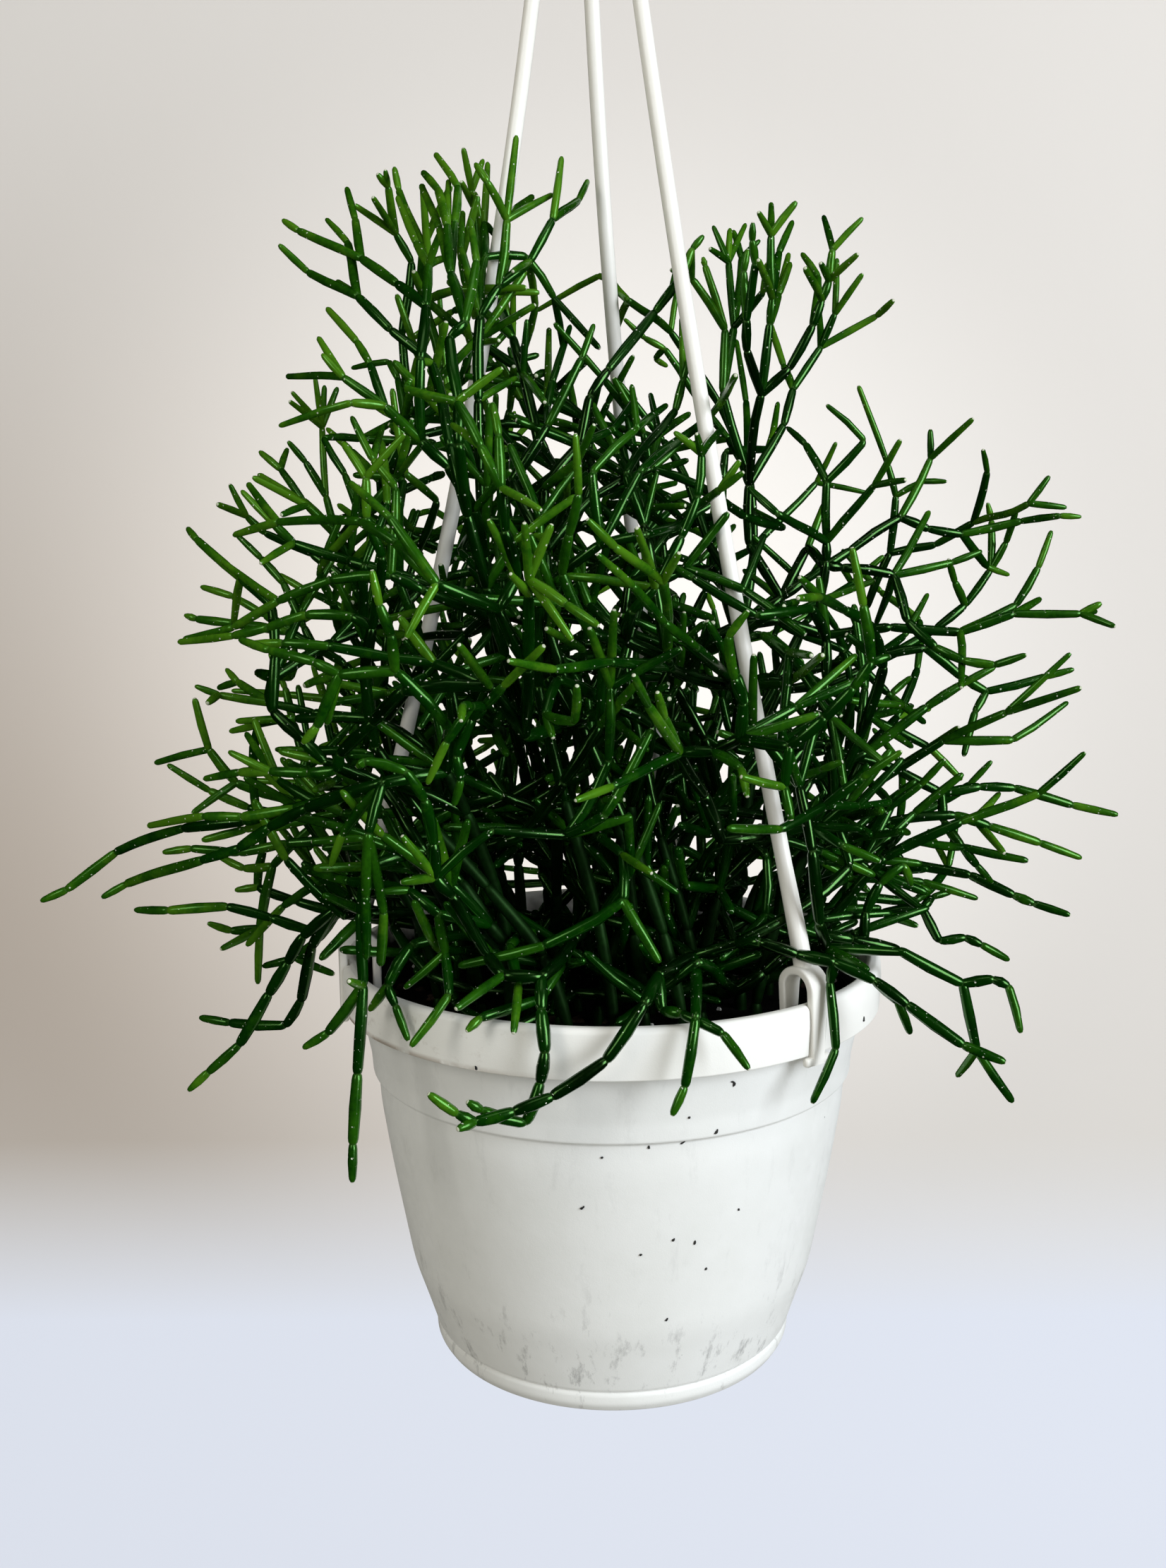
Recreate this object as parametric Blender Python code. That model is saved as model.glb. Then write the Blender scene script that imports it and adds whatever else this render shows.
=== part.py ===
"""Dancing bones cactus in a white hanging pot: the pot with its filled soil, the moulded
hanger with its hook and three clipped strands, and the plant as rooted clumps of jointed stems.

Lengths below are millimetres in the pot's frame: origin on the pot's axis at the lower edge
of the rim band, +Z up, +Y away from the viewer. The part's own origin is the inner top of
the hook, where the whole thing hangs.
"""
import math
import random

import bmesh
import bpy
import numpy as np

MM = 0.001

# Colours
WHITE = (0.83, 0.83, 0.80)
HANGER_WHITE = (0.86, 0.85, 0.81)
SOIL_BROWN = (0.03, 0.022, 0.016)
GREEN = (0.08, 0.20, 0.03)

# Pot, a nominal 15 cm hanging pot
RIM_RADIUS = 78.0
RIM_BULGE = 0.4
RIM_TOP = 13.4
BAND_WALL = 1.6
POT_WALL = 1.5
LIP_INNER_RADIUS = 74.2
FOOT_RADIUS = 51.4
FOOT_INNER_RADIUS = 49.2
POT_BOTTOM = -103.5
FLOOR_TOP = -97.5
FLOOR_THICK = 1.8
POT_SIDES = 40
DRAIN_HOLES = 4
DRAIN_RADIUS = 4.5
DRAIN_RING = 30.0

# Soil
SOIL_TOP = 0.0
SOIL_RADIUS = 71.0
SOIL_SIDES = 24
SOIL_INSET = POT_WALL + 1.0
SOIL_FLOOR_GAP = 0.4
ROOT_DEPTH = 7.0
ROOT_HOLE_CLEAR = 0.45

# Hanger: its hub and hook, and for each strand its azimuth and its bow towards the axis
HUB = np.array([-7.0, 5.0, 400.0])
HOOK_BEARING = np.array([-7.0, 5.0, 440.0])
HUB_RADIUS = 8.5
HUB_HEIGHT = 8.0
HOOK_INNER_RADIUS = 11.0
HOOK_THICK = 3.2
HOOK_WIDTH = 7.0
STRANDS = {"front_right": (42.0, 6.0), "left": (-78.0, 10.0), "back": (162.0, 18.0)}
STRAND_FOOT_RADIUS = 73.2
STRAND_FOOT_HEIGHT = 23.0
STRAND_RADIUS = 2.1
STRAND_SPREAD = 5.0
CLIP_WIDTH = 5.6
CLIP_THICK = 2.2
CLIP_OUTER = 77.9
CLIP_INNER = 68.4
CLIP_LEG_TOP = 17.0
CLIP_INNER_END = 1.5
CLIP_FOOT_WIDTH = 9.4
CLIP_FOOT_END = -3.6
NOTCH_WIDTH = 6.6
NOTCH_RADIUS = 76.1
SEAT_GAP = 0.35

# Plant
SEED = 11
EYE = np.array([-8.2, -435.7, 130.7])
ROOT_SITES = 52
ROOT_RING = 57.0
COLLAR_HEIGHT = 5.0
GOLDEN = math.pi * (3 - math.sqrt(5))
JOINT_LENGTH = 22.0
FILL_SHOOTS = 18
FILL_ARMS = 46
# stem radius by the number of joints between a joint and its furthest tip
RADII = [0.8, 1.0, 1.12, 1.2, 1.28, 1.35, 1.42, 1.46, 1.5]
STEM_SIDES = 3
# turn of a stem's three-sided outline, by the number of its first joint
STEM_TURN = 0.7
STEM_FAT = 1.27
STEM_GAP = 0.4
CLASH_GAP = 0.12
# greatest reach of the crown from the pot's axis at each height
REACH_HEIGHTS = [-45, -20, 5, 30, 60, 95, 130, 160, 190, 215, 235]
REACH = [92, 112, 128, 138, 136, 134, 124, 104, 86, 66, 40]
# how much deeper than listed the crown's stems stand, by height
DEPTH_HEIGHTS = [10, 60, 120, 180]
DEPTH_GAIN = [1.0, 1.45, 2.1, 2.8]
STRAND_SIDE = 14.0
STRAND_PASS = 4.5
# where stems may stand beside the pot: clear of its rim and of the soil
RIM_CLEAR_TOP = 14.0
RIM_CLEAR_OUT = 79.6
WALL_CLEAR_IN = 66.5

# Stems chosen by eye on the plant: the depth of a stem's first and last joint, then x and z
# of its joints on the upright plane through the pot's axis. A stem that starts on a listed
# joint grows from it.
CANES = [
    # left crown
    (-25, -15, -44, 158, -49, 180.5),
    (-15, -10, -52, 181, -60, 189.5, -69, 198.5, -82.5, 205, -90, 212),
    (-12, -20, -49, 180.5, -52, 181),
    (-20, -20, -51, 160, -52, 181),
    (-10, -14, -69, 198.5, -74.5, 202.5),
    (-10, 0, -69, 198.5, -71.5, 213, -77, 219),
    (-15, -5, -52, 181, -50.3, 195, -49.3, 206, -52.5, 212, -57.3, 224),
    (-10, 0, -50.3, 195, -58, 201, -67.5, 207.5, -84.5, 215, -88.5, 217.7),
    (0, 6, -67.5, 207.5, -69, 218, -71, 226),
    (-5, -14, -49.3, 206, -46, 214.5),
    (-5, 4, -49.3, 206, -43, 208.5),
    (8, 12, -55, 160, -57, 188, -54, 207, -58, 214.5, -60.5, 231),
    (12, 18, -58, 214.5, -69, 222),
    (12, 4, -58, 214.5, -64, 224),
    (12, 14, -59.5, 225, -62.5, 230),
    (0, 8, -49.3, 206, -57, 226, -58, 231.5),
    (2, 2, -49.3, 206, -50.5, 227),
    (22, 26, -43, 160, -46, 185, -46.5, 198),
    (-12, -4, -36, 150, -36, 170, -35, 192.5, -30, 200.5, -28, 218, -25, 239.5),
    (-4, -12, -28, 218, -33, 228, -36, 232.5),
    (-4, 8, -28, 218, -21, 224),
    (-4, -2, -28, 218, -15.5, 224.5),
    (-8, -2, -30, 200.5, -21.5, 207, -15, 218, -12.5, 234),
    (-2, 6, -15, 218, -8, 223, -5.5, 228),
    (-8, -12, -21.5, 207, -26, 204.5),
    (-8, 6, -35, 192.5, -33, 208, -33, 217, -32, 232.5),
    (4, 10, -33, 217, -30.5, 214),
    (-40, -28, -41.5, 158, -41.5, 170, -43.5, 187, -39.5, 191, -36, 207, -37.5, 218),
    (-30, -16, -39.5, 191, -43, 204, -43.5, 216.5, -46, 226, -50, 230.5),
    (-16, -10, -43.5, 216.5, -43, 228.5),
    (-14, -8, -43, 204, -46, 216, -50.7, 227),
    (6, 0, -35, 192.5, -40, 210.5, -39.5, 220),
    (-16, -4, -43, 204, -42, 217, -41, 226, -46.8, 234.5),
    (4, 10, -34.5, 200, -36, 220, -39.2, 236.5),
    (4, 0, -36, 220, -40, 228),
    (6, 14, -40, 225, -34, 233.5),
    (-8, -2, -20, 158, -24, 177, -27, 187, -31.5, 197),
    (-6, -6, -24, 177, -22.7, 191.5),
    (-4, 4, -27, 187, -26.5, 200),
    (-6, -16, -24, 177, -18, 169.5),
    (10, 14, -21, 163, -27.5, 184),
    (-14, -6, -36, 170, -25.5, 176),
    (-60, -70, -42, 169.5, -56, 173.5, -54.8, 175.5),
    (-60, -66, -42, 169.5, -29.5, 178.5),
    (-58, -60, -30, 146, -35.5, 157.5, -42, 169.5),
    (-36, -44, -35.5, 157.5, -43.5, 163.5),
    # left shoulder
    (-20, -20, -45, 152, -62, 168.5, -73.5, 176.5, -80, 187),
    (-20, -28, -73.5, 176.5, -79, 182.5),
    (-20, -10, -62, 168.5, -66, 180, -69.5, 186, -77.3, 194.8),
    (4, 10, -57, 165, -58.5, 176, -61, 180.5, -71, 179),
    (-24, -34, -62, 168.5, -71.5, 169.5, -91.5, 163.5),
    (-8, -2, -73.5, 176.5, -89, 176.8),
    (12, 24, -72, 118, -76, 130, -79.5, 144, -80, 163, -88, 172.5),
    (20, 14, -80, 163, -88.7, 170),
    (20, 24, -80, 163, -81.5, 176.3),
    (20, 32, -80, 163, -79, 174),
    (20, 26, -80, 163, -75.5, 173.5),
    (14, 20, -79.5, 144, -85, 153.5, -89.5, 159),
    (2, 8, -79, 136, -86, 143, -92, 151.5, -97.5, 156.3),
    (8, 14, -92, 151.5, -90, 157),
    (-12, -14, -76, 132, -85, 141.5, -99.5, 149.3),
    (-12, -6, -85, 141.5, -98, 150),
    (-12, -20, -85, 141.5, -92, 139),
    (-20, -14, -56, 120, -74, 125.8, -89, 131, -95, 137, -103, 145.5),
    (-16, -26, -89, 131, -98.5, 125.5),
    (14, 10, -84, 128, -97, 134, -102, 138.7, -106.3, 147.3),
    (10, 4, -102, 138.7, -110, 142),
    (-62, -46, -48.5, 119.5, -60, 131, -70, 137, -93, 137, -101, 147.5),
    (-46, -52, -93, 137, -105.5, 133.5),
    (-68, -74, -48.5, 119.5, -61.5, 138, -72.5, 147.8),
    (-68, -78, -48.5, 119.5, -57.5, 104.5),
    (-55, -66, -31, 112, -48.5, 119.5),
    (-40, -48, -64, 127, -68, 138, -68, 149, -57, 160.7),
    (-44, -50, -68, 149, -74, 158.5),
    (-24, -20, -60, 146, -66, 154, -71.5, 165.5),
    (-22, -14, -66, 154, -63, 163),
    (-10, -4, -70, 138, -74, 150, -79.5, 160),
    (0, 6, -64, 148, -72, 156.5, -78.5, 162.5),
    (-30, -24, -54, 117, -62, 121.5, -79, 120.5, -94, 114.8, -107, 107.5, -121, 104.3),
    (-26, -16, -94, 114.8, -109.3, 126),
    (-22, -10, -96, 113.5, -104.5, 121.5, -116.5, 132.5, -118.8, 135.5),
    (-14, -8, -104.5, 121.5, -107, 109),
    (2, 8, -90, 106, -98, 111, -107, 116.3, -115.5, 119),
    (-6, 0, -92, 106, -107, 108.6, -117.5, 110, -120.5, 111),
    (6, 14, -82, 97, -87, 107.5, -92.5, 120, -98.5, 127, -105, 133.5),
    (22, 30, -72, 110, -86, 117.7, -93.5, 122.3),
    (-36, -32, -70, 95, -67.5, 107, -73, 110.3, -86, 111, -97, 107.5, -107, 105.2, -122.5, 103.5),
    (-42, -48, -50, 97, -61, 98.5, -80, 102, -93, 103, -103, 102.7),
    (-62, -68, -46, 78, -61, 94.5, -77, 94, -84, 97.5, -97, 101, -105, 104),
    (-64, -76, -61, 94.5, -62, 105, -65, 113.5, -66.8, 123),
    (-68, -62, -77, 94, -85.5, 91.5),
    (-68, -74, -77, 94, -84, 79, -88, 74.5),
    (-68, -64, -77, 94, -81, 80),
    # left middle
    (4, 6, -66, 80, -85, 83, -97, 85.7, -112, 88.3, -118.5, 90.8),
    (6, 0, -112, 88.3, -115.3, 86),
    (6, 12, -97, 85.7, -106.5, 92, -109.5, 95.5),
    (10, 16, -106.5, 92, -112, 90.3),
    (22, 26, -70, 85, -92, 88.3, -108, 89.5),
    (12, 16, -88, 66, -91, 80, -93, 90, -97, 100),
    (-18, -10, -68, 81, -90, 81.3, -107, 80.7),
    (-12, -6, -92, 81.3, -101, 79.5, -109, 77.8),
    (-36, -30, -82, 69, -88, 75, -96.5, 83.5),
    (-22, -20, -70, 71, -88, 72, -96, 72.4),
    (-52, -44, -59, 89, -68, 80, -77.5, 71, -79, 66.3, -87, 65.5, -98, 66, -109.5, 71.7),
    (-44, -40, -98, 66, -107, 65.8, -117, 64),
    (10, 14, -70, 61, -85, 62, -104, 63.5),
    (-34, -24, -66, 62.5, -85, 57, -106, 51.5, -124, 49.5, -144, 42.5, -159, 31.5, -166.5, 28.2),
    (-48, -44, -64, 61, -79, 57.5, -92, 54.5, -107, 52.5, -118, 52.8, -134, 50.2),
    (0, -4, -80, 56, -92, 57.5, -108, 62.8, -115.5, 72.5, -119, 87),
    (-4, 2, -115.5, 72.5, -131, 68.8),
    (-2, -8, -108, 62.8, -121, 54),
    (12, 16, -90, 52, -105, 55.5, -116, 60.5, -127.5, 68),
    (-54, -38, -64, 63, -88, 55, -99, 49.5, -108, 43.5, -119, 40, -141.5, 33, -148.5, 29.2),
    (0, 4, -76, 46, -94, 45, -108, 42.3, -122, 43.5, -130, 42.5),
    (-26, -30, -92, 53, -106, 49, -118.3, 46),
    (10, 16, -84, 52, -98.5, 38, -103, 19.5, -104.3, 3),
    (12, 18, -98.5, 38, -107, 37.5, -114, 41),
    (14, 12, -103, 19.5, -111.5, 18.8, -118, 21),
    (14, 6, -103, 19.5, -114.5, 13.3),
    (-4, 0, -78, 36, -95, 26, -106, 14.5),
    (20, 24, -80, 24, -92, 27.5, -103, 31.8, -109.5, 31),
    (-16, -14, -70, 30, -88, 19, -99, 22.5, -112, 26, -129.5, 25, -139, 25.2),
    (-24, -22, -80, 25, -90, 17, -95, 9, -101, -0.5, -110.5, -16, -120, -24.5, -126, -30),
    (-6, -2, -80, 25, -87.5, 14, -91.5, -2.5, -96.5, -10, -113, -9.3, -121.5, -7.7),
    (14, 18, -86, 16, -93, 10.5, -102.3, 8),
    (16, 14, -93, 10.5, -82, 5.5),
    (-60, -72, -69, 38, -73, 24, -73, 2, -75.5, -25.3, -77.5, -47.3, -78, -59),
    (-66, -78, -73, 2, -77, 3.2),
    (-66, -58, -73, 2, -84, -12.5, -91, -17),
    (-56, -60, -58, 14, -65, 2, -62.5, -4, -58.3, -14.2),
    (-58, -54, -65, 2, -70.5, -5.3),
    (-64, -76, -49, 24, -48, 12, -47.5, -1, -58.8, -16.5),
    (-64, -62, -48, 12, -60, 1.5),
    (-70, -76, -47, 36, -51, 44.5, -53, 57.5, -58.5, 66, -70, 69, -72.3, 67.5),
    (-66, -72, -38, 82, -47, 74, -53, 62),
    (-66, -64, -47, 36, -34, 48),
    (-70, -76, -50, 36.5, -60.5, 33),
    (-56, -60, -58, 31, -67, 30.5),
    (-46, -50, -53, 42.5, -65, 44, -72, 46.3, -86, 45.5),
    (-58, -62, -66, 62, -78, 47, -81.5, 38),
    (-30, -26, -31, 58.5, -42, 56, -55, 54),
    (-56, -62, -40, 80, -44, 70, -43, 63, -45, 56),
    # front of the soil
    (-70, -76, -19.5, 3, -31, 4, -36, 10.5, -46, 28.5, -60, 46.5),
    (-76, -84, -31, 4, -45, -6),
    (-30, -70, 0, 21, -10, 14.5, -19.5, 3),
    (-74, -88, -19.5, 3, -19, -8, -18, -20, -20, -29, -25, -41, -38, -37, -42, -34.5),
    (-62, -83, -30, 14, -27.5, 2, -29, -12.5),
    (-62, -74, -20, -4, -37, -10.5, -41, -14),
    (-30, -20, 0, 21, -9, 33, -13, 43.5),
    (-32, -36, 0, 21, 3, 29, 0.5, 36),
    (-30, -52, 0, 21, 13, 16, 24, 9.5),
    (-56, -74, 24, 9.5, 37, 13.5, 44, 14, 55, 10.5, 66, 8, 78, 2.5, 88, -5, 105, -17.5, 117.3, -22.8),
    (-66, -62, 78, 2.5, 85, -4, 89, -13.5),
    (-52, -81, 24, 9.5, 25, -10),
    (-81, -86, 25, -10, 22, -30.5, 18.5, -39),
    (-52, -80, 24, 9.5, 14, 3, 10, -5),
    (-80, -93, 10, -5, -1.5, -22, -17.5, -33, -29, -37.5, -40.5, -40.5, -46, -38, -54, -32),
    (-91, -94, -40.5, -40.5, -45.5, -42.8),
    (-58, -66, 66, 12, 65, 2, 67, -18.5, 60.5, -35),
    (-72, -84, 15, -9, 20, -12.5, 32, -18, 40, -28.5),
    (10, 4, -3, 20, -3.5, 6, -11, 3),
    (6, 2, -3.5, 6, 2, 4),
    # right top
    (-16, -6, -8, 158, -5, 171, 0, 178, 13, 193.5, 20, 203, 23, 210, 25.8, 213.3),
    (-12, -4, 13, 193.5, 18, 200, 20, 206.5, 18.3, 215.2),
    (14, 6, -5, 158, 0, 169, 7, 181.5),
    (26, 22, 31, 168, 22.5, 180.5, 17, 188, 5, 196.5, -3, 203),
    (22, 28, 5, 196.5, 1, 187),
    (22, 30, 17, 188, 19, 201),
    (36, 30, 26, 168, 15.5, 183.5, 10, 186.5, 4.5, 191.5),
    (34, 40, 15.5, 183.5, 13, 181, 16, 179),
    (-20, -12, 5, 150, 18, 167.5, 22, 181),
    (-14, -4, 18.3, 176, 20, 192),
    (-26, -16, -4, 150, 8.5, 162, 7, 173.5),
    (-18, -14, 8.5, 162, 17, 168),
    (-10, 0, 11.5, 158, 11.7, 171.3),
    (6, 10, 5, 152, 2.3, 163, -1, 167),
    (-14, -6, 14, 160, 22.5, 166),
    (-24, -28, 10, 150, 29.8, 165.5, 36.8, 176.5),
    (-38, -30, 15.5, 119.5, 20, 132, 24, 143, 24, 154.5, 17, 160.5),
    (-32, -26, 24, 154.5, 28, 161),
    (-32, -40, 24, 154.5, 23, 160),
    (-10, -14, 12, 150, 22, 153.3),
    (4, 6, 46, 117.5, 39.5, 130, 39, 147, 31, 171.5, 32, 188.5, 26.5, 205.5, 26, 207.5),
    (6, 2, 32, 188.5, 23, 202, 17.3, 204.5),
    (4, 0, 23, 202, 23, 210),
    (6, 12, 31, 171.5, 34.5, 189, 33, 206.5, 28.8, 215.8),
    (12, 14, 33, 206.5, 33.3, 215),
    (12, 18, 33, 206.5, 37.5, 216.3),
    (12, 6, 33, 206.5, 28, 210),
    (12, 20, 34.5, 189, 36.5, 207.5, 41.3, 212),
    (18, 24, 36.5, 207.5, 34.3, 214.5),
    (12, 0, 34.5, 189, 42.5, 198.5, 43.7, 206),
    (-8, -14, 39, 147, 42.5, 171, 38.5, 183, 38.5, 191, 41, 206, 40, 212, 40, 216.5),
    (-14, -8, 38.5, 191, 37.5, 204, 38.5, 209.5),
    (-10, -4, 42.5, 171, 44.5, 190, 45, 197, 44.7, 213.5, 51.2, 222),
    (-4, -8, 44.7, 213.5, 41.2, 219.5),
    (-4, 2, 44.7, 213.5, 44.5, 221.7),
    (-8, -14, 45, 197, 41, 207),
    (-8, 2, 44.5, 190, 47, 198, 50, 206),
    (0, 6, 47, 198, 49.5, 208.5),
    (-6, 4, 45, 197, 46.8, 209, 50.3, 217),
    (-10, -2, 42.5, 171, 50, 178, 56.5, 189.5, 60.8, 201.5, 61.7, 209.5, 69.5, 217.7),
    (-2, 4, 61.7, 209.5, 59, 218.3),
    (-2, -8, 60.8, 201.5, 68.5, 208.3),
    (-2, -6, 60.8, 201.5, 58.5, 206),
    (-4, 6, 56.5, 189.5, 57.7, 202.5, 53.3, 208.5),
    (-2, -10, 57.3, 197, 54.3, 204.7),
    (8, 14, 39, 147, 48.7, 163, 51.3, 172.5, 58.7, 183.7, 74, 192, 78.5, 196),
    (14, 10, 58.7, 183.7, 62.5, 192.5, 69.8, 203),
    (12, 18, 62.5, 192.5, 62.8, 207),
    (14, 22, 58.7, 183.7, 58, 195),
    (14, 18, 51.3, 172.5, 48.5, 179, 44.7, 190),
    (20, 26, 39, 147, 38.5, 170, 35.5, 186),
    (10, 16, 44, 155, 47, 168),
    # right shoulder
    (-6, -6, 60, 114, 61.5, 125, 61.3, 147, 71.3, 158.3, 61, 168),
    (-6, 0, 61.3, 147, 55, 157.5, 50, 162),
    (-6, -14, 61.5, 130.5, 74.5, 146, 81.5, 158.3),
    (-12, -18, 74.5, 146, 83.2, 147.5),
    (-8, -20, 61.5, 130.5, 47.5, 138.5, 39.5, 145.5),
    (0, 6, 46, 117.5, 56, 128.7, 60.5, 141),
    (2, -4, 56, 128.7, 61, 124),
    (34, 26, 66, 98, 73, 112, 79.3, 127, 80.5, 143, 78, 152, 69.5, 173),
    (28, 30, 80.5, 143, 88, 147, 94.5, 147),
    (2, 12, 43, 111, 55, 119.5, 68, 128, 82, 137, 90, 153.3, 101.5, 164),
    (12, 10, 90, 153.3, 89.8, 161),
    (10, 12, 82, 137, 90, 134, 99.5, 132.5, 116, 136, 127, 137.5, 132.7, 137.2),
    (12, 18, 99.5, 132.5, 107, 123.3, 113, 121),
    (30, 22, 79.3, 127, 92, 129.5, 102.5, 135.5, 118, 140.7, 123.4, 148),
    (24, 26, 118, 140.7, 128.4, 139.5),
    (24, 20, 102.5, 135.5, 106, 149.5, 104.7, 155.5),
    (16, 24, 76, 96, 93, 106, 101, 112.5, 108, 122.5, 112, 130, 114.5, 138.5),
    (24, 30, 108, 122.5, 107.7, 136, 106.5, 140.8),
    (18, 12, 101, 112.5, 98, 119, 96, 125.2),
    (-4, 0, 60, 120, 66, 123.3, 80.5, 121, 97, 124.5, 105, 127.5),
    (-4, -14, 80.5, 121, 85, 108, 93, 100.5, 101, 96.5, 110, 95.3, 118.7, 98),
    (-2, 4, 80.5, 121, 90, 138.5),
    (-2, 8, 80.5, 121, 76, 107.5),
    (8, 12, 84, 104, 90.3, 115.5),
    (0, -2, 44, 105, 62, 104.5, 80, 106.5, 100, 105.2, 115, 110, 134, 110, 139.5, 112.7),
    (-2, -8, 134, 110, 143.8, 106.3),
    (-2, 4, 134, 110, 138.3, 110.5),
    (-2, 6, 115, 110, 122.3, 114.2),
    (-2, 2, 100, 105.2, 115.5, 112.5, 121.5, 123, 124.8, 133),
    (-2, -16, 100, 105.2, 101, 89.5),
    (2, 6, 48, 91.5, 62, 95.5, 76, 98, 90, 100.3, 101, 92, 108, 88, 125, 92, 132.5, 94),
    (6, 0, 108, 88, 105, 82, 102.2, 69.5),
    (-14, -8, 58, 62, 74, 70.5, 91, 83.5, 101, 90, 110, 94.8),
    (14, 20, 62, 90, 76, 80, 92, 71.8, 101.5, 62.5),
    (16, 22, 76, 80, 81, 87.5, 86, 92),
    (18, 10, 92, 71.8, 100.3, 77.5),
    (-12, -16, 62, 42, 75, 47, 80, 53.5, 90, 61, 96.5, 68),
    (-66, -70, 52, 72.5, 62, 80.5, 70, 89, 75, 96.5, 80, 98),
    (-70, -74, 75, 96.5, 72.5, 112.5, 69, 128.5),
    (-50, -66, 37.5, 74.5, 52, 72.5),
    (-66, -76, 52, 72.5, 50.8, 60.5, 38.5, 63.5),
    (-76, -78, 50.8, 60.5, 52.8, 51.2),
    (4, 10, 62, 71, 83, 65.3, 96, 58.5, 107, 60, 117, 59.5, 134, 54.5, 147, 51.6),
    (6, 2, 96, 58.5, 97, 50, 102.5, 42.5, 121.5, 38.3),
    (2, -6, 102.5, 42.5, 89.5, 44),
    (2, 8, 102.5, 42.5, 107, 37, 111.5, 32),
    (-2, 0, 66, 43, 81, 50.3, 100, 52, 110, 48.5, 125, 43.5, 137, 39),
    (0, 8, 100, 52, 106, 51, 113, 58.5),
    (0, -8, 106, 51, 115, 41),
    (46, 52, 84, 50, 97, 56, 104, 61, 110, 67.5),
    (20, 8, 66, 48, 78, 46.5, 85, 38.5, 105, 34, 118, 28, 124, 25.5, 134.5, 22),
    (24, 28, 74, 33, 92, 32, 107.8, 27),
    (30, 34, 66, 20, 78, 20.8, 90.5, 23, 96.5, 14, 104, 15, 109, 13, 117, 8.5),
    (32, 36, 90.5, 23, 94, 27, 99, 28.5),
    (32, 28, 78, 20.8, 88.5, 17),
    (36, 42, 70, 26, 88.5, 25.5),
    (-36, -28, 36, -1, 45, 5, 54, 13, 62, 16, 71, 15, 85, 11.5, 104, 1.5, 109, -19, 120, -35),
    (-30, -36, 104, 1.5, 113, 2.5, 117.5, 0.5, 121.8, -13.5),
    (-30, -20, 109, -19, 103.5, -27),
    (-28, -20, 74, 10, 75, 22, 79, 31, 85.5, 36.5, 88, 31),
    (-20, -14, 48, 46, 62, 38, 75, 30.5),
    (12, 8, 50, 27, 57, 33, 66, 35.5, 76, 29.5),
    (-6, -2, 55, 20, 68, 24, 79, 24.5),
    # right middle, near side
    (-30, -48, 21.5, 26, 26, 36, 32.5, 44.5, 27.5, 58, 20.5, 70.5),
    (-48, -58, 20.5, 70.5, 30, 71, 37.5, 74.5, 38.5, 85, 36, 92, 34.3, 104, 39.5, 111),
    (-58, -84, 20.5, 70.5, 1, 61, -9.5, 57),
    (-56, -70, 20.5, 70.5, 11.3, 84.5, 7.3, 93),
    (-50, -58, 20.5, 70.5, 16, 81, 14, 88),
    (-36, -46, 32.5, 44.5, 45, 46.5, 57.5, 49, 62.5, 55, 73, 63, 84, 70.5),
    (-42, -48, 57.5, 49, 68, 43, 78.5, 38.5),
    (-44, -36, 62.5, 55, 72, 54.8),
    (-30, -36, 47, 60, 61, 65.5, 67, 67.7),
    (-30, -76, 48, 91.5, 36, 89.8, 17, 95.5, 0.5, 97.2, -15.5, 95.5, -28.5, 98),
    (-55, -60, 17, 95.5, 15.5, 119.5, 20, 127.5),
    (-58, -74, 15.5, 119.5, 2, 129.5, -5.5, 137),
    (-40, -50, 34, 92.5, 25, 101, 16, 108),
    (0, 4, 38, 94, 35.5, 107, 32.5, 120, 32, 138, 33.5, 155),
    (4, 8, 32, 138, 22, 135, 12, 135.7),
    (18, 24, 35.5, 107, 29.5, 123, 28, 137),
    (-28, -34, -2, 130, 10, 132.5, 20, 137, 31, 145, 36.5, 152.8),
    (-32, -36, 31, 145, 37.5, 149.7),
    (-10, -6, 17, 134, 32, 143),
    (-26, -20, 13, 122, 10.5, 136, 14, 151),
    (30, 36, 25, 98, 23.3, 108, 27, 116.7),
    (34, 28, 23.3, 108, 20.3, 111.8),
    (20, 24, 19, 100, 19, 115.5),
    (-2, 0, 36, 107, 48, 108.5, 60, 114, 75, 119.5),
    (-30, -46, 74, 107.5, 60, 115.3, 54.3, 120.5),
    (-34, -74, 66, 113.3, 60, 115, 54, 114.8),
    (-40, -44, 50, 90.5, 61, 98.5),
    (4, 8, 48, 91.5, 56, 108),
    (8, 12, 48, 91.5, 47, 104),
    (-20, -16, 61, 80, 62, 92, 62, 103),
    (6, 0, 44, 105, 55, 104.3, 67, 99.7, 69, 91),
    # middle, near side
    (-46, -60, -24, 76, -23, 95, -22.5, 120.5),
    (-62, -78, -22.5, 120.5, -12, 113.5, -3, 107.5),
    (-60, -66, -22.5, 120.5, -10.5, 103.5),
    (-62, -76, -22.5, 120.5, -23.5, 136),
    (-60, -62, -22.5, 120.5, -16, 135.5),
    (-60, -70, -22.5, 115, -27.5, 122),
    (-50, -56, -31, 119, -33.5, 137),
    (-40, -50, -13, 122, -11, 133, -8.3, 144, -9, 160.5),
    (-50, -62, -26, 121, -29, 134, -30, 146, -30.5, 160.5, -32, 169),
    (-58, -66, -30, 146, -19, 140),
    (-52, -70, 16, 111, 7, 118.5, -2.8, 127.3),
    (-30, -40, 17, 101.5, 5, 103.3, -5, 105.3),
    (-34, -40, 5, 103.3, 6.7, 111.5),
    (-50, -64, -34, 90, -42.5, 102),
    (-50, -70, -47, 75, -36, 84, -30, 90, -18.5, 101),
    (-62, -78, -36, 84, -42, 84.5, -42.5, 80.5),
    (-10, -4, -10, 135, -4, 150, 3, 160),
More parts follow.
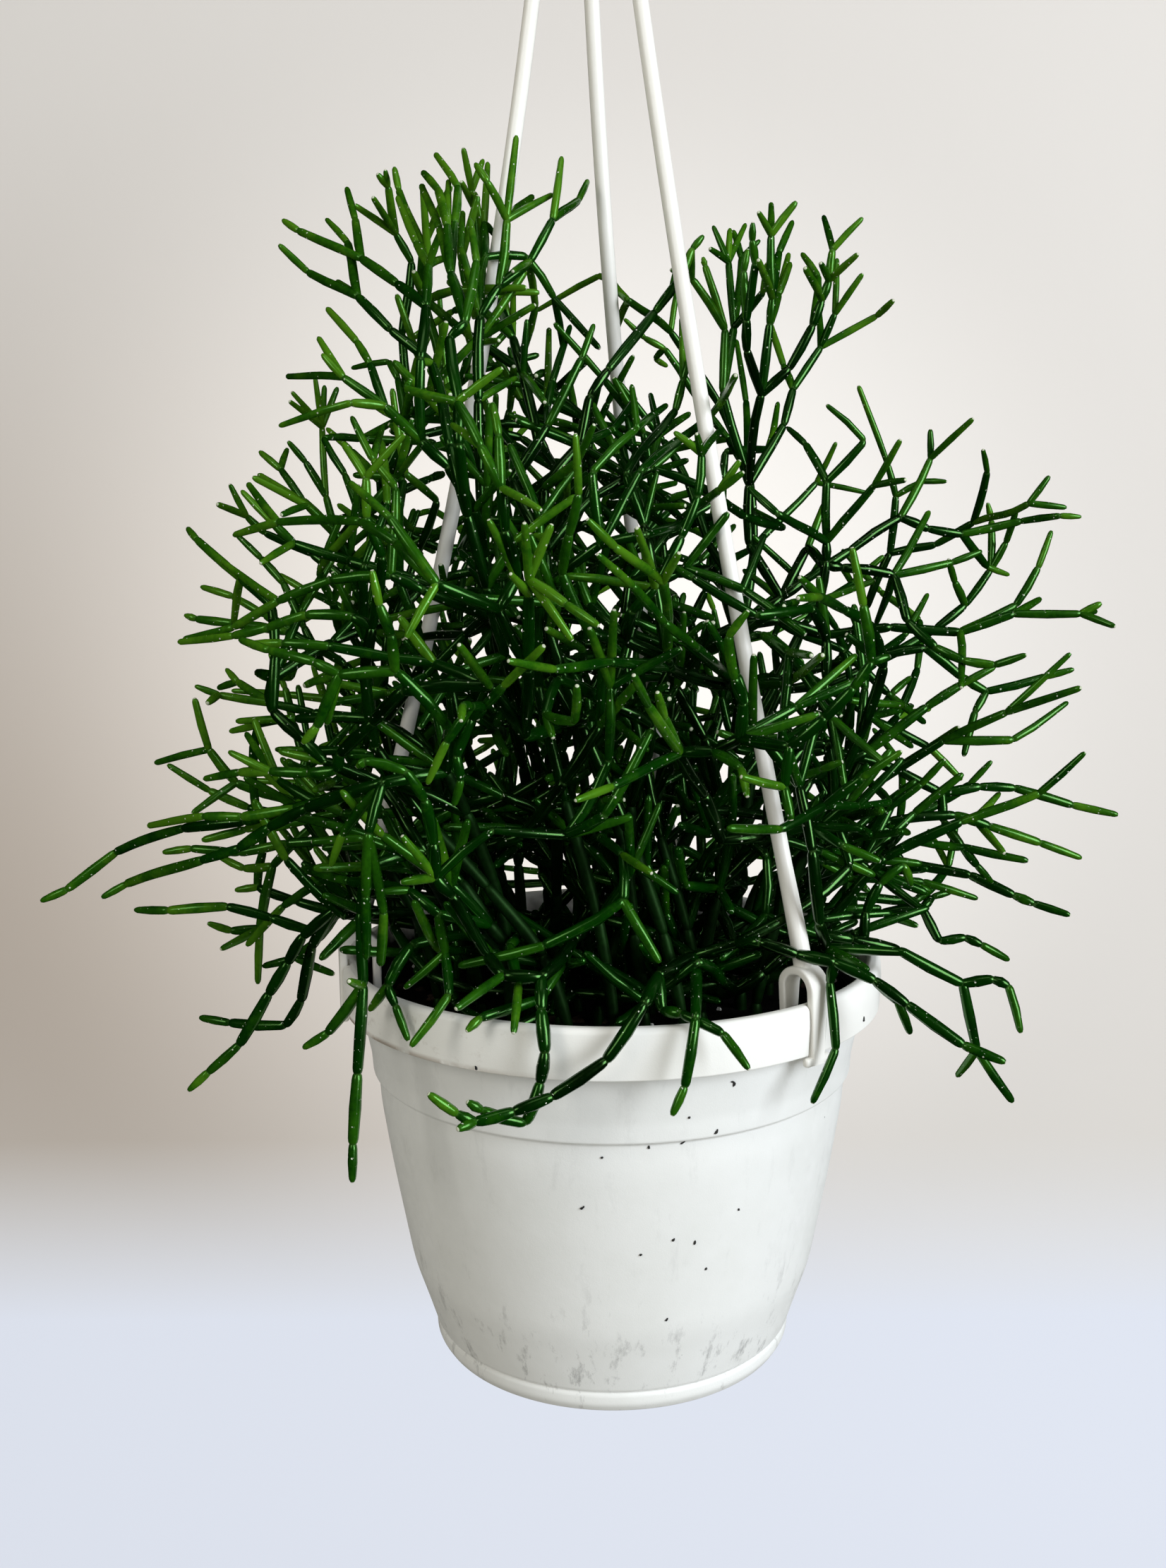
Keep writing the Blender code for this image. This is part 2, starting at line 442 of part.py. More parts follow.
    (-14, -8, -27, 148, -17, 163, -7.5, 181, -4, 190),
    (-8, 0, -17, 168, -15.5, 175, -10.5, 189.8),
    (0, 4, -17, 168, -16.4, 189),
    (-16, -10, -5, 143, 12, 151, 20, 157.5),
    (-40, -56, 13, 118, 8, 134.5),
    (-20, -30, -18, 146, -9, 153, -4, 163),
    (-52, -64, -17, 76, -10, 80, -9, 90),
    (-30, -34, 3, 84, -6, 81, -14, 79),
    (-40, -56, -14, 92, -18, 82, -16, 75.5),
    (-30, -40, 0, 45, -2.5, 52, -0.5, 57.5, 5, 57.5),
    (-40, -62, -2, 46, 4, 41, 12.5, 35.5),
    (-60, -70, 38, 66, 40, 58),
    (-20, -24, -13, 47, -6, 57),
    (-24, -30, 12, 43, 18, 55),
]


def unit(v):
    n = np.linalg.norm(v)
    return v / n if n > 1e-9 else np.array([0.0, 0.0, 1.0])


def lift(x, z, y):
    """Point at depth y on the line of sight through (x, z) of the upright plane."""
    t = (y - EYE[1]) / -EYE[1]
    return EYE + (np.array([x, 0.0, z]) - EYE) * t


def flatten(p):
    """Where the line of sight to a point crosses the upright plane: x and z."""
    t = (p[1] - EYE[1]) / -EYE[1]
    q = EYE + (p - EYE) / t
    return q[0], q[2]


def strand_point(azimuth, bow, s):
    """Point on a strand's centre line, from its clip at 0 to the hub at 1."""
    a = math.radians(azimuth)
    foot = np.array([STRAND_FOOT_RADIUS * math.sin(a), -STRAND_FOOT_RADIUS * math.cos(a), STRAND_FOOT_HEIGHT])
    run = HUB - foot
    inward = unit(np.array([run[0], run[1], 0.0]))
    spread = STRAND_SPREAD * max(0.0, (s - 0.7) / 0.3)
    return foot + run * s + inward * (bow * 4 * s * (1 - s) - spread)


def reach_at(z):
    return float(np.interp(z, REACH_HEIGHTS, REACH, left=0, right=0))


def wild(rng):
    return unit(np.array([rng.gauss(0, 1) for _ in range(3)]))


class Skeleton:
    """Joints of the plant: where each is, the joint below it, and where it came from."""

    def __init__(self):
        self.spot = []
        self.below = []
        self.kind = []

    def add(self, point, below, kind):
        self.spot.append(np.asarray(point, float))
        self.below.append(below)
        self.kind.append(kind)
        return len(self.spot) - 1

    def kids(self):
        out = [[] for _ in self.spot]
        for i, b in enumerate(self.below):
            if b >= 0:
                out[b].append(i)
        return out

    def root(self, i):
        while self.below[i] >= 0:
            i = self.below[i]
        return i

    def depth(self, i):
        n = 0
        while self.below[i] >= 0:
            i = self.below[i]
            n += 1
        return n

    def above(self, i, kids):
        """A joint and every joint that grows from it."""
        out, stack = [], [i]
        while stack:
            j = stack.pop()
            out.append(j)
            stack += kids[j]
        return out

    def way(self, i):
        """Direction in which the stem arrives at a joint."""
        b = self.below[i]
        return unit(self.spot[i] - self.spot[b]) if b >= 0 else np.array([0.0, 0.0, 1.0])

    def keep(self, kept):
        """Leave only these joints."""
        new = {old: n for n, old in enumerate(kept)}
        self.below = [new.get(self.below[i], -1) for i in kept]
        self.spot = [self.spot[i] for i in kept]
        self.kind = [self.kind[i] for i in kept]


def trace(sk):
    """Lay every listed stem out in depth."""
    at = {}
    for row in CANES:
        y0, y1 = row[:2]
        pts = list(zip(row[2::2], row[3::2]))
        run = [0.0]
        for a, b in zip(pts, pts[1:]):
            run.append(run[-1] + math.dist(a, b))
        if pts[0] in at:
            here = at[pts[0]]
            y0 = sk.spot[here][1]
        else:
            here = sk.add(lift(*pts[0], y0), -1, "traced")
            at[pts[0]] = here
        for p, r in list(zip(pts, run))[1:]:
            here = sk.add(lift(*p, y0 + (y1 - y0) * r / run[-1]), here, "traced")
            at[p] = here


def deepen(sk):
    """Round the crown: each joint moves along its line of sight, on its own side of a strand."""
    lines = []
    for azimuth, bow in STRANDS.values():
        pts = [strand_point(azimuth, bow, s) for s in np.linspace(0, 1, 21)]
        flat = [flatten(q) for q in pts]
        lines.append(([z for _, z in flat], [x for x, _ in flat], [q[1] for q in pts]))
    for i, p in enumerate(sk.spot):
        x, z = flatten(p)
        wide = math.sqrt(max(reach_at(z) ** 2 - x * x, 12.0 ** 2))
        gain = float(np.interp(z, DEPTH_HEIGHTS, DEPTH_GAIN))
        y = wide * math.tanh(gain * p[1] / wide) if gain > 1 else p[1]
        for line_z, line_x, line_y in lines:
            if abs(x - np.interp(z, line_z, line_x)) < STRAND_SIDE and line_z[0] < z:
                there = float(np.interp(z, line_z, line_y))
                y = min(y, there - STRAND_PASS) if p[1] < there else max(y, there + STRAND_PASS)
        sk.spot[i] = lift(x, z, y)


def splice(sk, reach=4.5):
    """A loose stem that starts beside another one grows from it, at a joint made there."""
    for base in [i for i, b in enumerate(sk.below) if b < 0]:
        p = sk.spot[base]
        near, host, share = reach, None, None
        for i, b in enumerate(sk.below):
            if b < 0 or sk.root(i) == base:
                continue
            a, c = sk.spot[b], sk.spot[i]
            t = float(np.clip(np.dot(p - a, c - a) / max(np.dot(c - a, c - a), 1e-9), 0, 1))
            d = np.linalg.norm(a + (c - a) * t - p)
            if d < near:
                near, host, share = d, i, t
        if host is None:
            continue
        b = sk.below[host]
        span = np.linalg.norm(sk.spot[host] - sk.spot[b])
        if share * span < 4:
            host = b
        elif (1 - share) * span > 4:
            new = sk.add(sk.spot[b] + (sk.spot[host] - sk.spot[b]) * share, b, "traced")
            sk.below[host] = new
            host = new
        for j, b in enumerate(sk.below):
            if b == base:
                sk.below[j] = host
        sk.kind[base] = "merged"
    sk.keep([i for i, k in enumerate(sk.kind) if k != "merged"])


def root_sites():
    """Places for stems in the soil, spread as seeds in a flower head."""
    out = []
    for i in range(ROOT_SITES):
        r = ROOT_RING * math.sqrt((i + 0.5) / ROOT_SITES)
        out.append(np.array([r * math.cos(i * GOLDEN), r * math.sin(i * GOLDEN), SOIL_TOP]))
    return out


def plant_root(sk, site):
    foot = sk.add(site - [0, 0, ROOT_DEPTH], -1, "root")
    return sk.add(site + [0, 0, COLLAR_HEIGHT], foot, "root")


def curve(p, leave, q, arrive, n):
    """n points along the cubic from p, which it leaves along one way, to q; p left out."""
    k = np.linalg.norm(q - p) / 3
    a, b = p + leave * k, q - arrive * k
    out = []
    for i in range(1, n + 1):
        s = i / n
        out.append(p * (1 - s)**3 + 3 * a * s * (1 - s)**2 + 3 * b * s * s * (1 - s) + q * s**3)
    return out


def best_host(sk, p, way, middle, rooted, kids):
    """The rooted joint further in that a loose stem at p would most likely have grown from."""
    reach = np.linalg.norm(p - middle)
    least, host = 46.0, None
    for i in sorted(rooted):
        q = sk.spot[i]
        d = np.linalg.norm(p - q)
        if not 5 < d < 34 or np.linalg.norm(q - middle) > reach - 2 or len(kids[i]) > 2:
            continue
        v = (p - q) / d
        ahead = float(np.dot(way, v))
        behind = float(np.dot(v, sk.way(i)))
        if ahead < 0.3 or behind < 0.1:
            continue
        cost = d * (1 + 1.2 * (1 - ahead) + 0.8 * (1 - behind)) + 3 * len(kids[i])
        if cost < least:
            least, host = cost, i
    return host


def join(sk):
    """Every loose stem gets its way down: to a joint further in, or to a root of its own."""
    free = root_sites()
    middle = np.array([-4.0, 0.0, 8.0])
    rooted = set()
    loose = [i for i, b in enumerate(sk.below) if b < 0]
    loose.sort(key=lambda i: np.linalg.norm(sk.spot[i] - middle))
    for base in loose:
        kids = sk.kids()
        p = sk.spot[base]
        way = unit(sk.spot[kids[base][0]] - p)
        here = best_host(sk, p, way, middle, rooted, kids)
        if here is not None:
            d = np.linalg.norm(p - sk.spot[here])
            leave = unit(sk.way(here) + (p - sk.spot[here]) / d)
            steps = 1 if d < 24 else 2
        else:
            want = np.array([p[0] * 0.42, p[1] * 0.42, SOIL_TOP])
            site = min(free, key=lambda s: np.linalg.norm(s - want))
            free = [s for s in free if s is not site]
            here = plant_root(sk, site)
            rooted |= {here, sk.below[here]}
            leave = unit(np.array([0, 0, 1.0]) + 0.25 * unit(p - site))
            steps = max(1, round(np.linalg.norm(p - sk.spot[here]) / (JOINT_LENGTH + 1)))
        for q in curve(sk.spot[here], leave, p, way, steps)[:-1]:
            here = sk.add(q, here, "link")
            rooted.add(here)
        sk.below[base] = here
        rooted |= set(sk.above(base, sk.kids()))
    return free


def allowed(p):
    """Whether a joint may stand here: inside the crown's reach, clear of the pot's rim."""
    r = math.hypot(p[0], p[1])
    if r > reach_at(p[2]) - 4:
        return False
    if p[2] < 8 and r < 88:
        return False
    return p[2] >= 24 or not 58 < r < 88


class Filler:
    """Grows stems into the free places of the crown that no listed stem shows."""

    def __init__(self, sk):
        self.sk = sk
        self.rng = random.Random(SEED)
        self.cloud = np.array(sk.spot + [(sk.spot[i] + sk.spot[b]) / 2
                                         for i, b in enumerate(sk.below) if b >= 0])

    def put(self, q, below):
        i = self.sk.add(q, below, "filled")
        self.cloud = np.vstack([self.cloud, q, (q + self.sk.spot[below]) / 2])
        return i

    def next_joint(self, p, forward, step, spread):
        """Of several tries in a cone round forward, the joint with the most free room."""
        best = (-1e9, None)
        for _ in range(14):
            d = unit(forward + wild(self.rng) * spread + np.array([0, 0, 0.12]))
            q = p + d * step
            if not allowed(q):
                continue
            room = float(np.min(np.linalg.norm(self.cloud - q, axis=1)))
            score = min(room, 14) + 4 * float(np.dot(d, unit(forward)))
            if score > best[0]:
                best = (score, q)
        return best[1]

    def branch(self, here, forward, steps, step, spread, order):
        """A run of joints with side stems; order 2 has none."""
        rng = self.rng
        for k in range(steps):
            q = self.next_joint(self.sk.spot[here], forward, step * rng.uniform(0.8, 1.15), spread)
            if q is None:
                return
            new = self.put(q, here)
            forward = unit(q - self.sk.spot[here])
            forward = unit(forward + 0.25 * unit(np.array([q[0], q[1], 0.0])))
            if order < 2 and k > 0 and rng.random() < 0.75:
                side_steps = rng.choice([1, 2, 2]) if order else rng.choice([2, 3])
                self.branch(new, unit(forward + 0.7 * wild(rng)), side_steps, step * 0.85, 0.55, order + 1)
            here = new

    def shoot(self, site):
        """A stem from a root site that no listed stem took."""
        rng, sk = self.rng, self.sk
        collar = plant_root(sk, site)
        self.cloud = np.vstack([self.cloud, site, sk.spot[collar]])
        out = unit(np.array([site[0], site[1] + 8, 0.0]))
        steep = rng.uniform(0.6, 2.2)
        here = self.put(sk.spot[collar] + unit(out * 0.45 + np.array([0, 0, 1.0])) * JOINT_LENGTH, collar)
        q = sk.spot[here] + unit(out + np.array([0, 0, steep])) * (JOINT_LENGTH + 2)
        if not allowed(q):
            q = sk.spot[here] + unit(out * 0.6 + np.array([0, 0, steep])) * JOINT_LENGTH
        here = self.put(q, here)
        self.branch(here, unit(out + np.array([0, 0, steep * 0.6])), rng.choice([3, 4, 5]), 23, 0.42, 0)

    def places(self, count):
        """Places spread over the far half of the crown."""
        out = []
        while len(out) < count:
            az = self.rng.uniform(0, 2 * math.pi)
            z = self.rng.uniform(12, 212)
            r = reach_at(z) * self.rng.uniform(0.62, 0.96)
            p = np.array([r * math.cos(az), r * math.sin(az), z])
            if p[1] > 8 and allowed(p):
                out.append(p)
        return np.array(out)

    def host_for(self, goal):
        """The joint from which an arm reaches the goal most directly."""
        sk, kids = self.sk, self.sk.kids()
        least, host = 1e9, None
        for i, p in enumerate(sk.spot):
            if sk.kind[i] == "root" or sk.below[i] < 0 or len(kids[i]) > 2:
                continue
            d = float(np.linalg.norm(goal - p))
            if d < 18 or p[2] > goal[2] + 12 or np.hypot(*p[:2]) > np.hypot(*goal[:2]) - 8:
                continue
            cost = d * (1 + 0.7 * (1 - float(np.dot(sk.way(i), (goal - p) / d))))
            if cost < least:
                least, host = cost, i
        return host

    def arm(self, goal):
        """A stem with side twigs and a forked end, out to the goal."""
        rng, sk = self.rng, self.sk
        here = self.host_for(goal)
        start = sk.spot[here]
        d = float(np.linalg.norm(goal - start))
        leave = unit(sk.way(here) + 1.4 * (goal - start) / d)
        arrive = unit(goal - start + np.array([goal[0], goal[1], 30.0]) * 0.4)
        steps = max(1, round(d / (JOINT_LENGTH - 1)))
        for k, q in enumerate(curve(start, leave, goal, arrive, steps)):
            new = self.put(q, here)
            forward = unit(q - sk.spot[here])
            here = new
            if 0 < k < steps - 1 and rng.random() < 0.8:
                self.branch(new, unit(forward + 0.8 * wild(rng)), rng.choice([1, 1, 2]), 17, 0.5, 1)
        for _ in range(2):
            self.branch(here, unit(forward + 0.6 * wild(rng)), 1, 16, 0.5, 2)


def fill(sk, free):
    """Shoots from the sites left over, then arms into the crown's emptiest places."""
    filler = Filler(sk)
    for site in sorted(free, key=lambda s: -s[1])[:FILL_SHOOTS]:
        filler.shoot(site)
    places = filler.places(500)
    for _ in range(FILL_ARMS):
        room = np.min(np.linalg.norm(places[:, None] - filler.cloud[None], axis=2), axis=1)
        filler.arm(places[int(np.argmax(room))])


def heights(sk):
    """Joints between each joint and the furthest tip above it."""
    kids = sk.kids()
    high = [0] * len(sk.spot)
    for i in sorted(range(len(sk.spot)), key=sk.depth, reverse=True):
        if kids[i]:
            high[i] = 1 + max(high[k] for k in kids[i])
    return high


def stem_radii(high):
    return [RADII[min(h, len(RADII) - 1)] for h in high]


def nearest(p1, d1, p2, d2):
    """Nearest points of pairs of lines: the share along each, and the way from 2 to 1."""
    r = p1 - p2
    a = np.einsum("ij,ij->i", d1, d1)
    e = np.einsum("ij,ij->i", d2, d2)
    f = np.einsum("ij,ij->i", d2, r)
    c = np.einsum("ij,ij->i", d1, r)
    b = np.einsum("ij,ij->i", d1, d2)
    den = a * e - b * b
    s = np.where(den > 1e-9, np.clip((b * f - c * e) / np.maximum(den, 1e-9), 0, 1), 0.0)
    t = (b * s + f) / e
    t_end = np.clip(t, 0, 1)
    s = np.where(t != t_end, np.clip((t_end * b - c) / a, 0, 1), s)
    return s, t_end, (p1 + d1 * s[:, None]) - (p2 + d2 * t_end[:, None])


def strand_pieces(count=12):
    """Start and end of short straight pieces of all three strands."""
    starts, ends = [], []
    for azimuth, bow in STRANDS.values():
        pts = [strand_point(azimuth, bow, s) for s in np.linspace(0, 1, count + 1)]
        starts += pts[:-1]
        ends += pts[1:]
    return starts, ends


def pot_push(spots, radii):
    """How far each point has to move to stand clear of the soil and the pot's rim."""
    push = np.zeros_like(spots)
    rho = np.hypot(spots[:, 0], spots[:, 1])
    z = spots[:, 2]
    out = np.zeros_like(spots)
    out[:, :2] = spots[:, :2] / np.maximum(rho, 1e-6)[:, None]
    r = radii + 0.6
    low = (rho < WALL_CLEAR_IN + 4) & (z < SOIL_TOP + r + 0.8)
    push[low, 2] += (SOIL_TOP + r + 0.8 - z)[low]
    band = (rho > WALL_CLEAR_IN - r) & (rho < RIM_CLEAR_OUT + r) & (z < RIM_CLEAR_TOP + r)
    up = RIM_CLEAR_TOP + r - z
    outward = RIM_CLEAR_OUT + r - rho
    inward = rho - (WALL_CLEAR_IN - r)
    go_up = band & (up <= outward) & (up <= inward + 6)
    go_out = band & ~go_up & (outward <= inward + 4)
    go_in = band & ~go_up & ~go_out
    push[go_up, 2] += up[go_up]
    push[go_out] += out[go_out] * outward[go_out, None]
    push[go_in] -= out[go_in] * inward[go_in, None]
    return push


class Relaxer:
    """Moves joints the least way that leaves clumps, strands, pot and soil clear of each other.

    A listed stem moves mostly along its line of sight, so the plant keeps its look.
    """

    ROUNDS = 150
    EASY_ROUNDS = 60
    LOOSE_FROM = 50
    LONGEST_STEP = 3.0

    def __init__(self, sk):
        self.sk = sk
        self.first = np.array(sk.spot)
        self.spots = self.first.copy()
        below = np.array(sk.below)
        self.b = np.nonzero(below >= 0)[0]
        self.a = below[self.b]
        self.radius = np.array(stem_radii(heights(sk)))[self.b]
        clump = np.array([sk.root(i) for i in self.b])
        self.fixed = np.array([k == "root" for k in sk.kind])
        traced = np.array([k == "traced" for k in sk.kind])
        sight = self.first - EYE
        self.sight = sight / np.linalg.norm(sight, axis=1)[:, None]
        self.across = np.where(traced, 0.22, 1.0)[:, None]
        i, j = np.triu_indices(len(self.b), 1)
        a, b = self.a, self.b
        kin = (a[i] == a[j]) | (a[i] == b[j]) | (b[i] == a[j])
        kin |= (below[a[i]] == a[j]) | (below[a[j]] == a[i])
        i, j = i[~kin], j[~kin]
        both = self.radius[i] + self.radius[j]
        self.pairs = i, j
        self.need = np.where(clump[i] == clump[j], both + 0.15, both * STEM_FAT + STEM_GAP)

    def close_pairs(self, margin):
        i, j = self.pairs
        mid = (self.spots[self.a] + self.spots[self.b]) / 2
        half = np.linalg.norm(self.spots[self.b] - self.spots[self.a], axis=1) / 2
        d = mid[i] - mid[j]
        close = np.einsum("ij,ij->i", d, d) < (half[i] + half[j] + self.need + margin) ** 2
        return i[close], j[close], self.need[close]

    def part_stems(self, i, j, need):
        """Half of each overlap for each of the two stems, shared between their ends."""
        spots, a, b = self.spots, self.a, self.b
        s, t, gap = nearest(spots[a[i]], spots[b[i]] - spots[a[i]], spots[a[j]], spots[b[j]] - spots[a[j]])
        d = np.linalg.norm(gap, axis=1)
        hit = d < need
        i, j, s, t, gap, d, need = (v[hit] for v in (i, j, s, t, gap, d, need))
        cross = np.cross(spots[b[i]] - spots[a[i]], spots[b[j]] - spots[a[j]])
        size = np.linalg.norm(cross, axis=1)[:, None]
        sight = self.sight[b[i]]
        cross = np.where(size > 1e-6, cross / np.maximum(size, 1e-6), sight)
        turn = np.sign(np.einsum("ij,ij->i", cross, sight) + 1e-12) * np.where((i + j) % 2, 1, -1)
        apart = np.where(d[:, None] > 0.05, gap / np.maximum(d, 0.05)[:, None], cross * turn[:, None])
        amount = (need - d) * 0.625
        move = np.zeros_like(spots)
        hits = np.zeros(len(spots))
        for joint, share, sign in ((a[i], 1 - s, 1), (b[i], s, 1), (a[j], 1 - t, -1), (b[j], t, -1)):
            np.add.at(move, joint, apart * (amount * share * sign)[:, None])
            np.add.at(hits, joint, share)
        return move / np.maximum(hits, 1.0)[:, None]

    def part_strands(self, move):
        spots, a, b = self.spots, self.a, self.b
        mid = (spots[a] + spots[b]) / 2
        half = np.linalg.norm(spots[b] - spots[a], axis=1) / 2
        for start, end in zip(*strand_pieces()):
            near = np.nonzero(np.linalg.norm(mid - (start + end) / 2, axis=1) < half + 20)[0]
            if not len(near):
                continue
            s, t, gap = nearest(spots[a[near]], spots[b[near]] - spots[a[near]],
                                np.tile(start, (len(near), 1)), np.tile(end - start, (len(near), 1)))
            d = np.linalg.norm(gap, axis=1)
            lack = self.radius[near] * STEM_FAT + STRAND_RADIUS + 0.5 - d
            for k in np.nonzero(lack > 0)[0]:
                push = gap[k] / max(d[k], 1e-3) * lack[k] * 1.1
                move[a[near[k]]] += push * (1 - s[k])
                move[b[near[k]]] += push * s[k]

    def leave_pot(self, move):
        spots, a, b = self.spots, self.a, self.b
        rooted = self.fixed[a]
        for share in (0.0, 0.25, 0.5, 0.75, 1.0):
            push = pot_push(spots[a] * (1 - share) + spots[b] * share, self.radius * STEM_FAT)
            push[rooted & self.fixed[b]] = 0
            push[rooted] *= share
            np.add.at(move, a, push * (1 - share) * 0.5)
            np.add.at(move, b, push * share * 0.5)

    def smooth(self):
        """Spread each joint's shift a little over its neighbours, and ease it back."""
        shift = self.spots - self.first
        mean = np.zeros_like(shift)
        count = np.zeros(len(shift))
        np.add.at(mean, self.a, shift[self.b])
        np.add.at(mean, self.b, shift[self.a])
        np.add.at(count, self.a, 1)
        np.add.at(count, self.b, 1)
        mean /= np.maximum(count, 1)[:, None]
        eased = (0.88 * shift + 0.12 * mean) * 0.995
        self.spots = self.first + np.where(self.fixed[:, None], shift, eased)

    def run(self):
        for count in range(self.ROUNDS):
            if count % 8 == 0:
                close = self.close_pairs(10.0)
            move = self.part_stems(*close)
            self.part_strands(move)
            along = np.einsum("ij,ij->i", move, self.sight)[:, None] * self.sight
            loose = np.clip((count - self.LOOSE_FROM) / 60, 0, 1)
            across = self.across + np.maximum(0.8 - self.across, 0) * loose
            move = along + (move - along) * across
            self.leave_pot(move)
            step = np.linalg.norm(move, axis=1)
            move *= np.minimum(1, self.LONGEST_STEP / np.maximum(step, 1e-9))[:, None]
            move[self.fixed] = 0
            self.spots += move
            if count < self.EASY_ROUNDS:
                self.smooth()
            self.spots = np.round(self.spots, 4)
        self.sk.spot = list(self.spots)


def clashes(sk):
    """Joints whose stems stand too close to another clump's, or to a strand, pot or soil (-1)."""
    spots = np.array(sk.spot)
    below = np.array(sk.below)
    b = np.nonzero(below >= 0)[0]
    a = below[b]
    radius = np.array(stem_radii(heights(sk)))[b]
    clump = np.array([sk.root(i) for i in b])
    i, j = np.triu_indices(len(b), 1)
    apart = clump[i] != clump[j]
    i, j = i[apart], j[apart]
    mid = (spots[a] + spots[b]) / 2
    half = np.linalg.norm(spots[b] - spots[a], axis=1) / 2
    need = (radius[i] + radius[j]) * STEM_FAT + CLASH_GAP
    d = mid[i] - mid[j]
    close = np.einsum("ij,ij->i", d, d) < (half[i] + half[j] + need) ** 2
    i, j, need = i[close], j[close], need[close]
    _, _, gap = nearest(spots[a[i]], spots[b[i]] - spots[a[i]], spots[a[j]], spots[b[j]] - spots[a[j]])
    hit = np.linalg.norm(gap, axis=1) < need
    out = [(int(p), int(q)) for p, q in zip(b[i[hit]], b[j[hit]])]
    for start, end in zip(*strand_pieces()):
        _, _, gap = nearest(spots[a], spots[b] - spots[a], np.tile(start, (len(b), 1)),
                            np.tile(end - start, (len(b), 1)))
        hit = np.linalg.norm(gap, axis=1) < radius * STEM_FAT + STRAND_RADIUS + CLASH_GAP
        out += [(int(p), -1) for p in b[hit]]
    for share in np.linspace(0, 1, 9):
        push = pot_push(spots[a] * (1 - share) + spots[b] * share, radius * STEM_FAT - 0.5)
        hit = (np.linalg.norm(push, axis=1) > 0.05) & (spots[a][:, 2] > 0)
        out += [(int(p), -1) for p in b[hit]]
    return out


def thin_out(sk):
    """Leave out the least branches that still stand in the way of another clump."""
    for _ in range(12):
        pairs = clashes(sk)
        if not pairs:
            return
        kids = sk.kids()

        def worth(i):
            return sum(3 if sk.kind[j] == "traced" else 1 for j in sk.above(i, kids)) if i >= 0 else 1e9

        gone = set()
        for a, b in sorted(pairs, key=lambda pair: min(map(worth, pair))):
            if a not in gone and b not in gone:
                gone |= set(sk.above(a if worth(a) <= worth(b) else b, kids))
        sk.keep([i for i in range(len(sk.spot)) if i not in gone])


def grow_plant():
    sk = Skeleton()
    trace(sk)
    deepen(sk)
    splice(sk)
    free = join(sk)
    fill(sk, free)
    Relaxer(sk).run()
    thin_out(sk)
    return sk


def material(name, colour, roughness):
    mat = bpy.data.materials.new(name)
    mat.use_nodes = True
    shader = mat.node_tree.nodes["Principled BSDF"]
    shader.inputs["Base Color"].default_value = (*colour, 1.0)
    shader.inputs["Roughness"].default_value = roughness
    shader.inputs["Metallic"].default_value = 0.0
    return mat


def add_object(name, mesh):
    obj = bpy.data.objects.new(name, mesh)
    bpy.context.scene.collection.objects.link(obj)
    return obj


def finish(obj, mat, place):
    """Give a finished piece its material and hang it in its place."""
    obj.data.materials.clear()
    obj.data.materials.append(mat)
    obj.parent = place
    return obj


def mesh_of(name, points, faces):
    """Mesh in metres from millimetre points, with its faces turned outward."""
    mesh = bpy.data.meshes.new(name)
    mesh.from_pydata([tuple(float(c) * MM for c in p) for p in points], [], faces)
    bm = bmesh.new()
    bm.from_mesh(mesh)
    bmesh.ops.recalc_face_normals(bm, faces=bm.faces)
    bm.to_mesh(mesh)
    bm.free()
    return mesh


def combine(base, others, operation, solver="EXACT"):
    """Join the other objects to the base, or cut them from it, and remove them."""
    helpers = bpy.data.collections.new(base.name + "_helpers")
    bpy.context.scene.collection.children.link(helpers)
    for other in others:
        bpy.context.scene.collection.objects.unlink(other)
        helpers.objects.link(other)
    modifier = base.modifiers.new("combine", "BOOLEAN")
    modifier.operation = operation
    modifier.operand_type = "COLLECTION"
    modifier.collection = helpers
    modifier.solver = solver
    graph = bpy.context.evaluated_depsgraph_get()
    mesh = bpy.data.meshes.new_from_object(base.evaluated_get(graph))
    base.modifiers.clear()
    base.data = mesh
    for other in others:
        bpy.data.objects.remove(other)
    bpy.data.collections.remove(helpers)


def turned(name, profile, sides):
    """Solid of revolution round Z from a closed profile of radius and height."""
    points, faces, rings = [], [], []
    for radius, height in profile:
        count = sides if radius > 1e-6 else 1
        rings.append(list(range(len(points), len(points) + count)))
        for k in range(count):
            a = 2 * math.pi * k / sides
            points.append((radius * math.cos(a), radius * math.sin(a), height))
    for lower, upper in zip(rings, rings[1:] + rings[:1]):
        for k in range(sides):
            n = (k + 1) % sides
            if len(lower) > 1 and len(upper) > 1:
                faces.append((lower[k], lower[n], upper[n], upper[k]))
            elif len(upper) > 1:
                faces.append((lower[0], upper[k], upper[n]))
            elif len(lower) > 1:
                faces.append((lower[k], lower[n], upper[0]))
    return mesh_of(name, points, faces)


def swept(name, path, outline, across=None):
    """Tube along a path; outline gives each point's section. Given across, it stays flat that way."""
    path = [np.asarray(p, float) for p in path]
    flat = across is not None
    if not flat:
        across = np.cross(path[1] - path[0], [0.31, 0.17, 0.93])
    points, rings = [], []
    for i, p in enumerate(path):
        back = unit(p - path[max(i - 1, 0)]) if i else unit(path[1] - p)
        ahead = unit(path[i + 1] - p) if i + 1 < len(path) else back
        way = unit(back + ahead)
        mitre = 1 / max(float(np.dot(way, ahead)), 0.75) if flat else 1.0
        across = unit(across - way * np.dot(across, way))
        up = np.cross(way, across)
        section = outline(i)
        rings.append(list(range(len(points), len(points) + len(section))))
        points += [p + across * a + up * u * mitre for a, u in section]
    faces = [tuple(reversed(rings[0])), tuple(rings[-1])]
    for lower, upper in zip(rings, rings[1:]):
        for k in range(len(lower)):
            n = (k + 1) % len(lower)
            faces.append((lower[k], lower[n], upper[n], upper[k]))
    return mesh_of(name, points, faces)


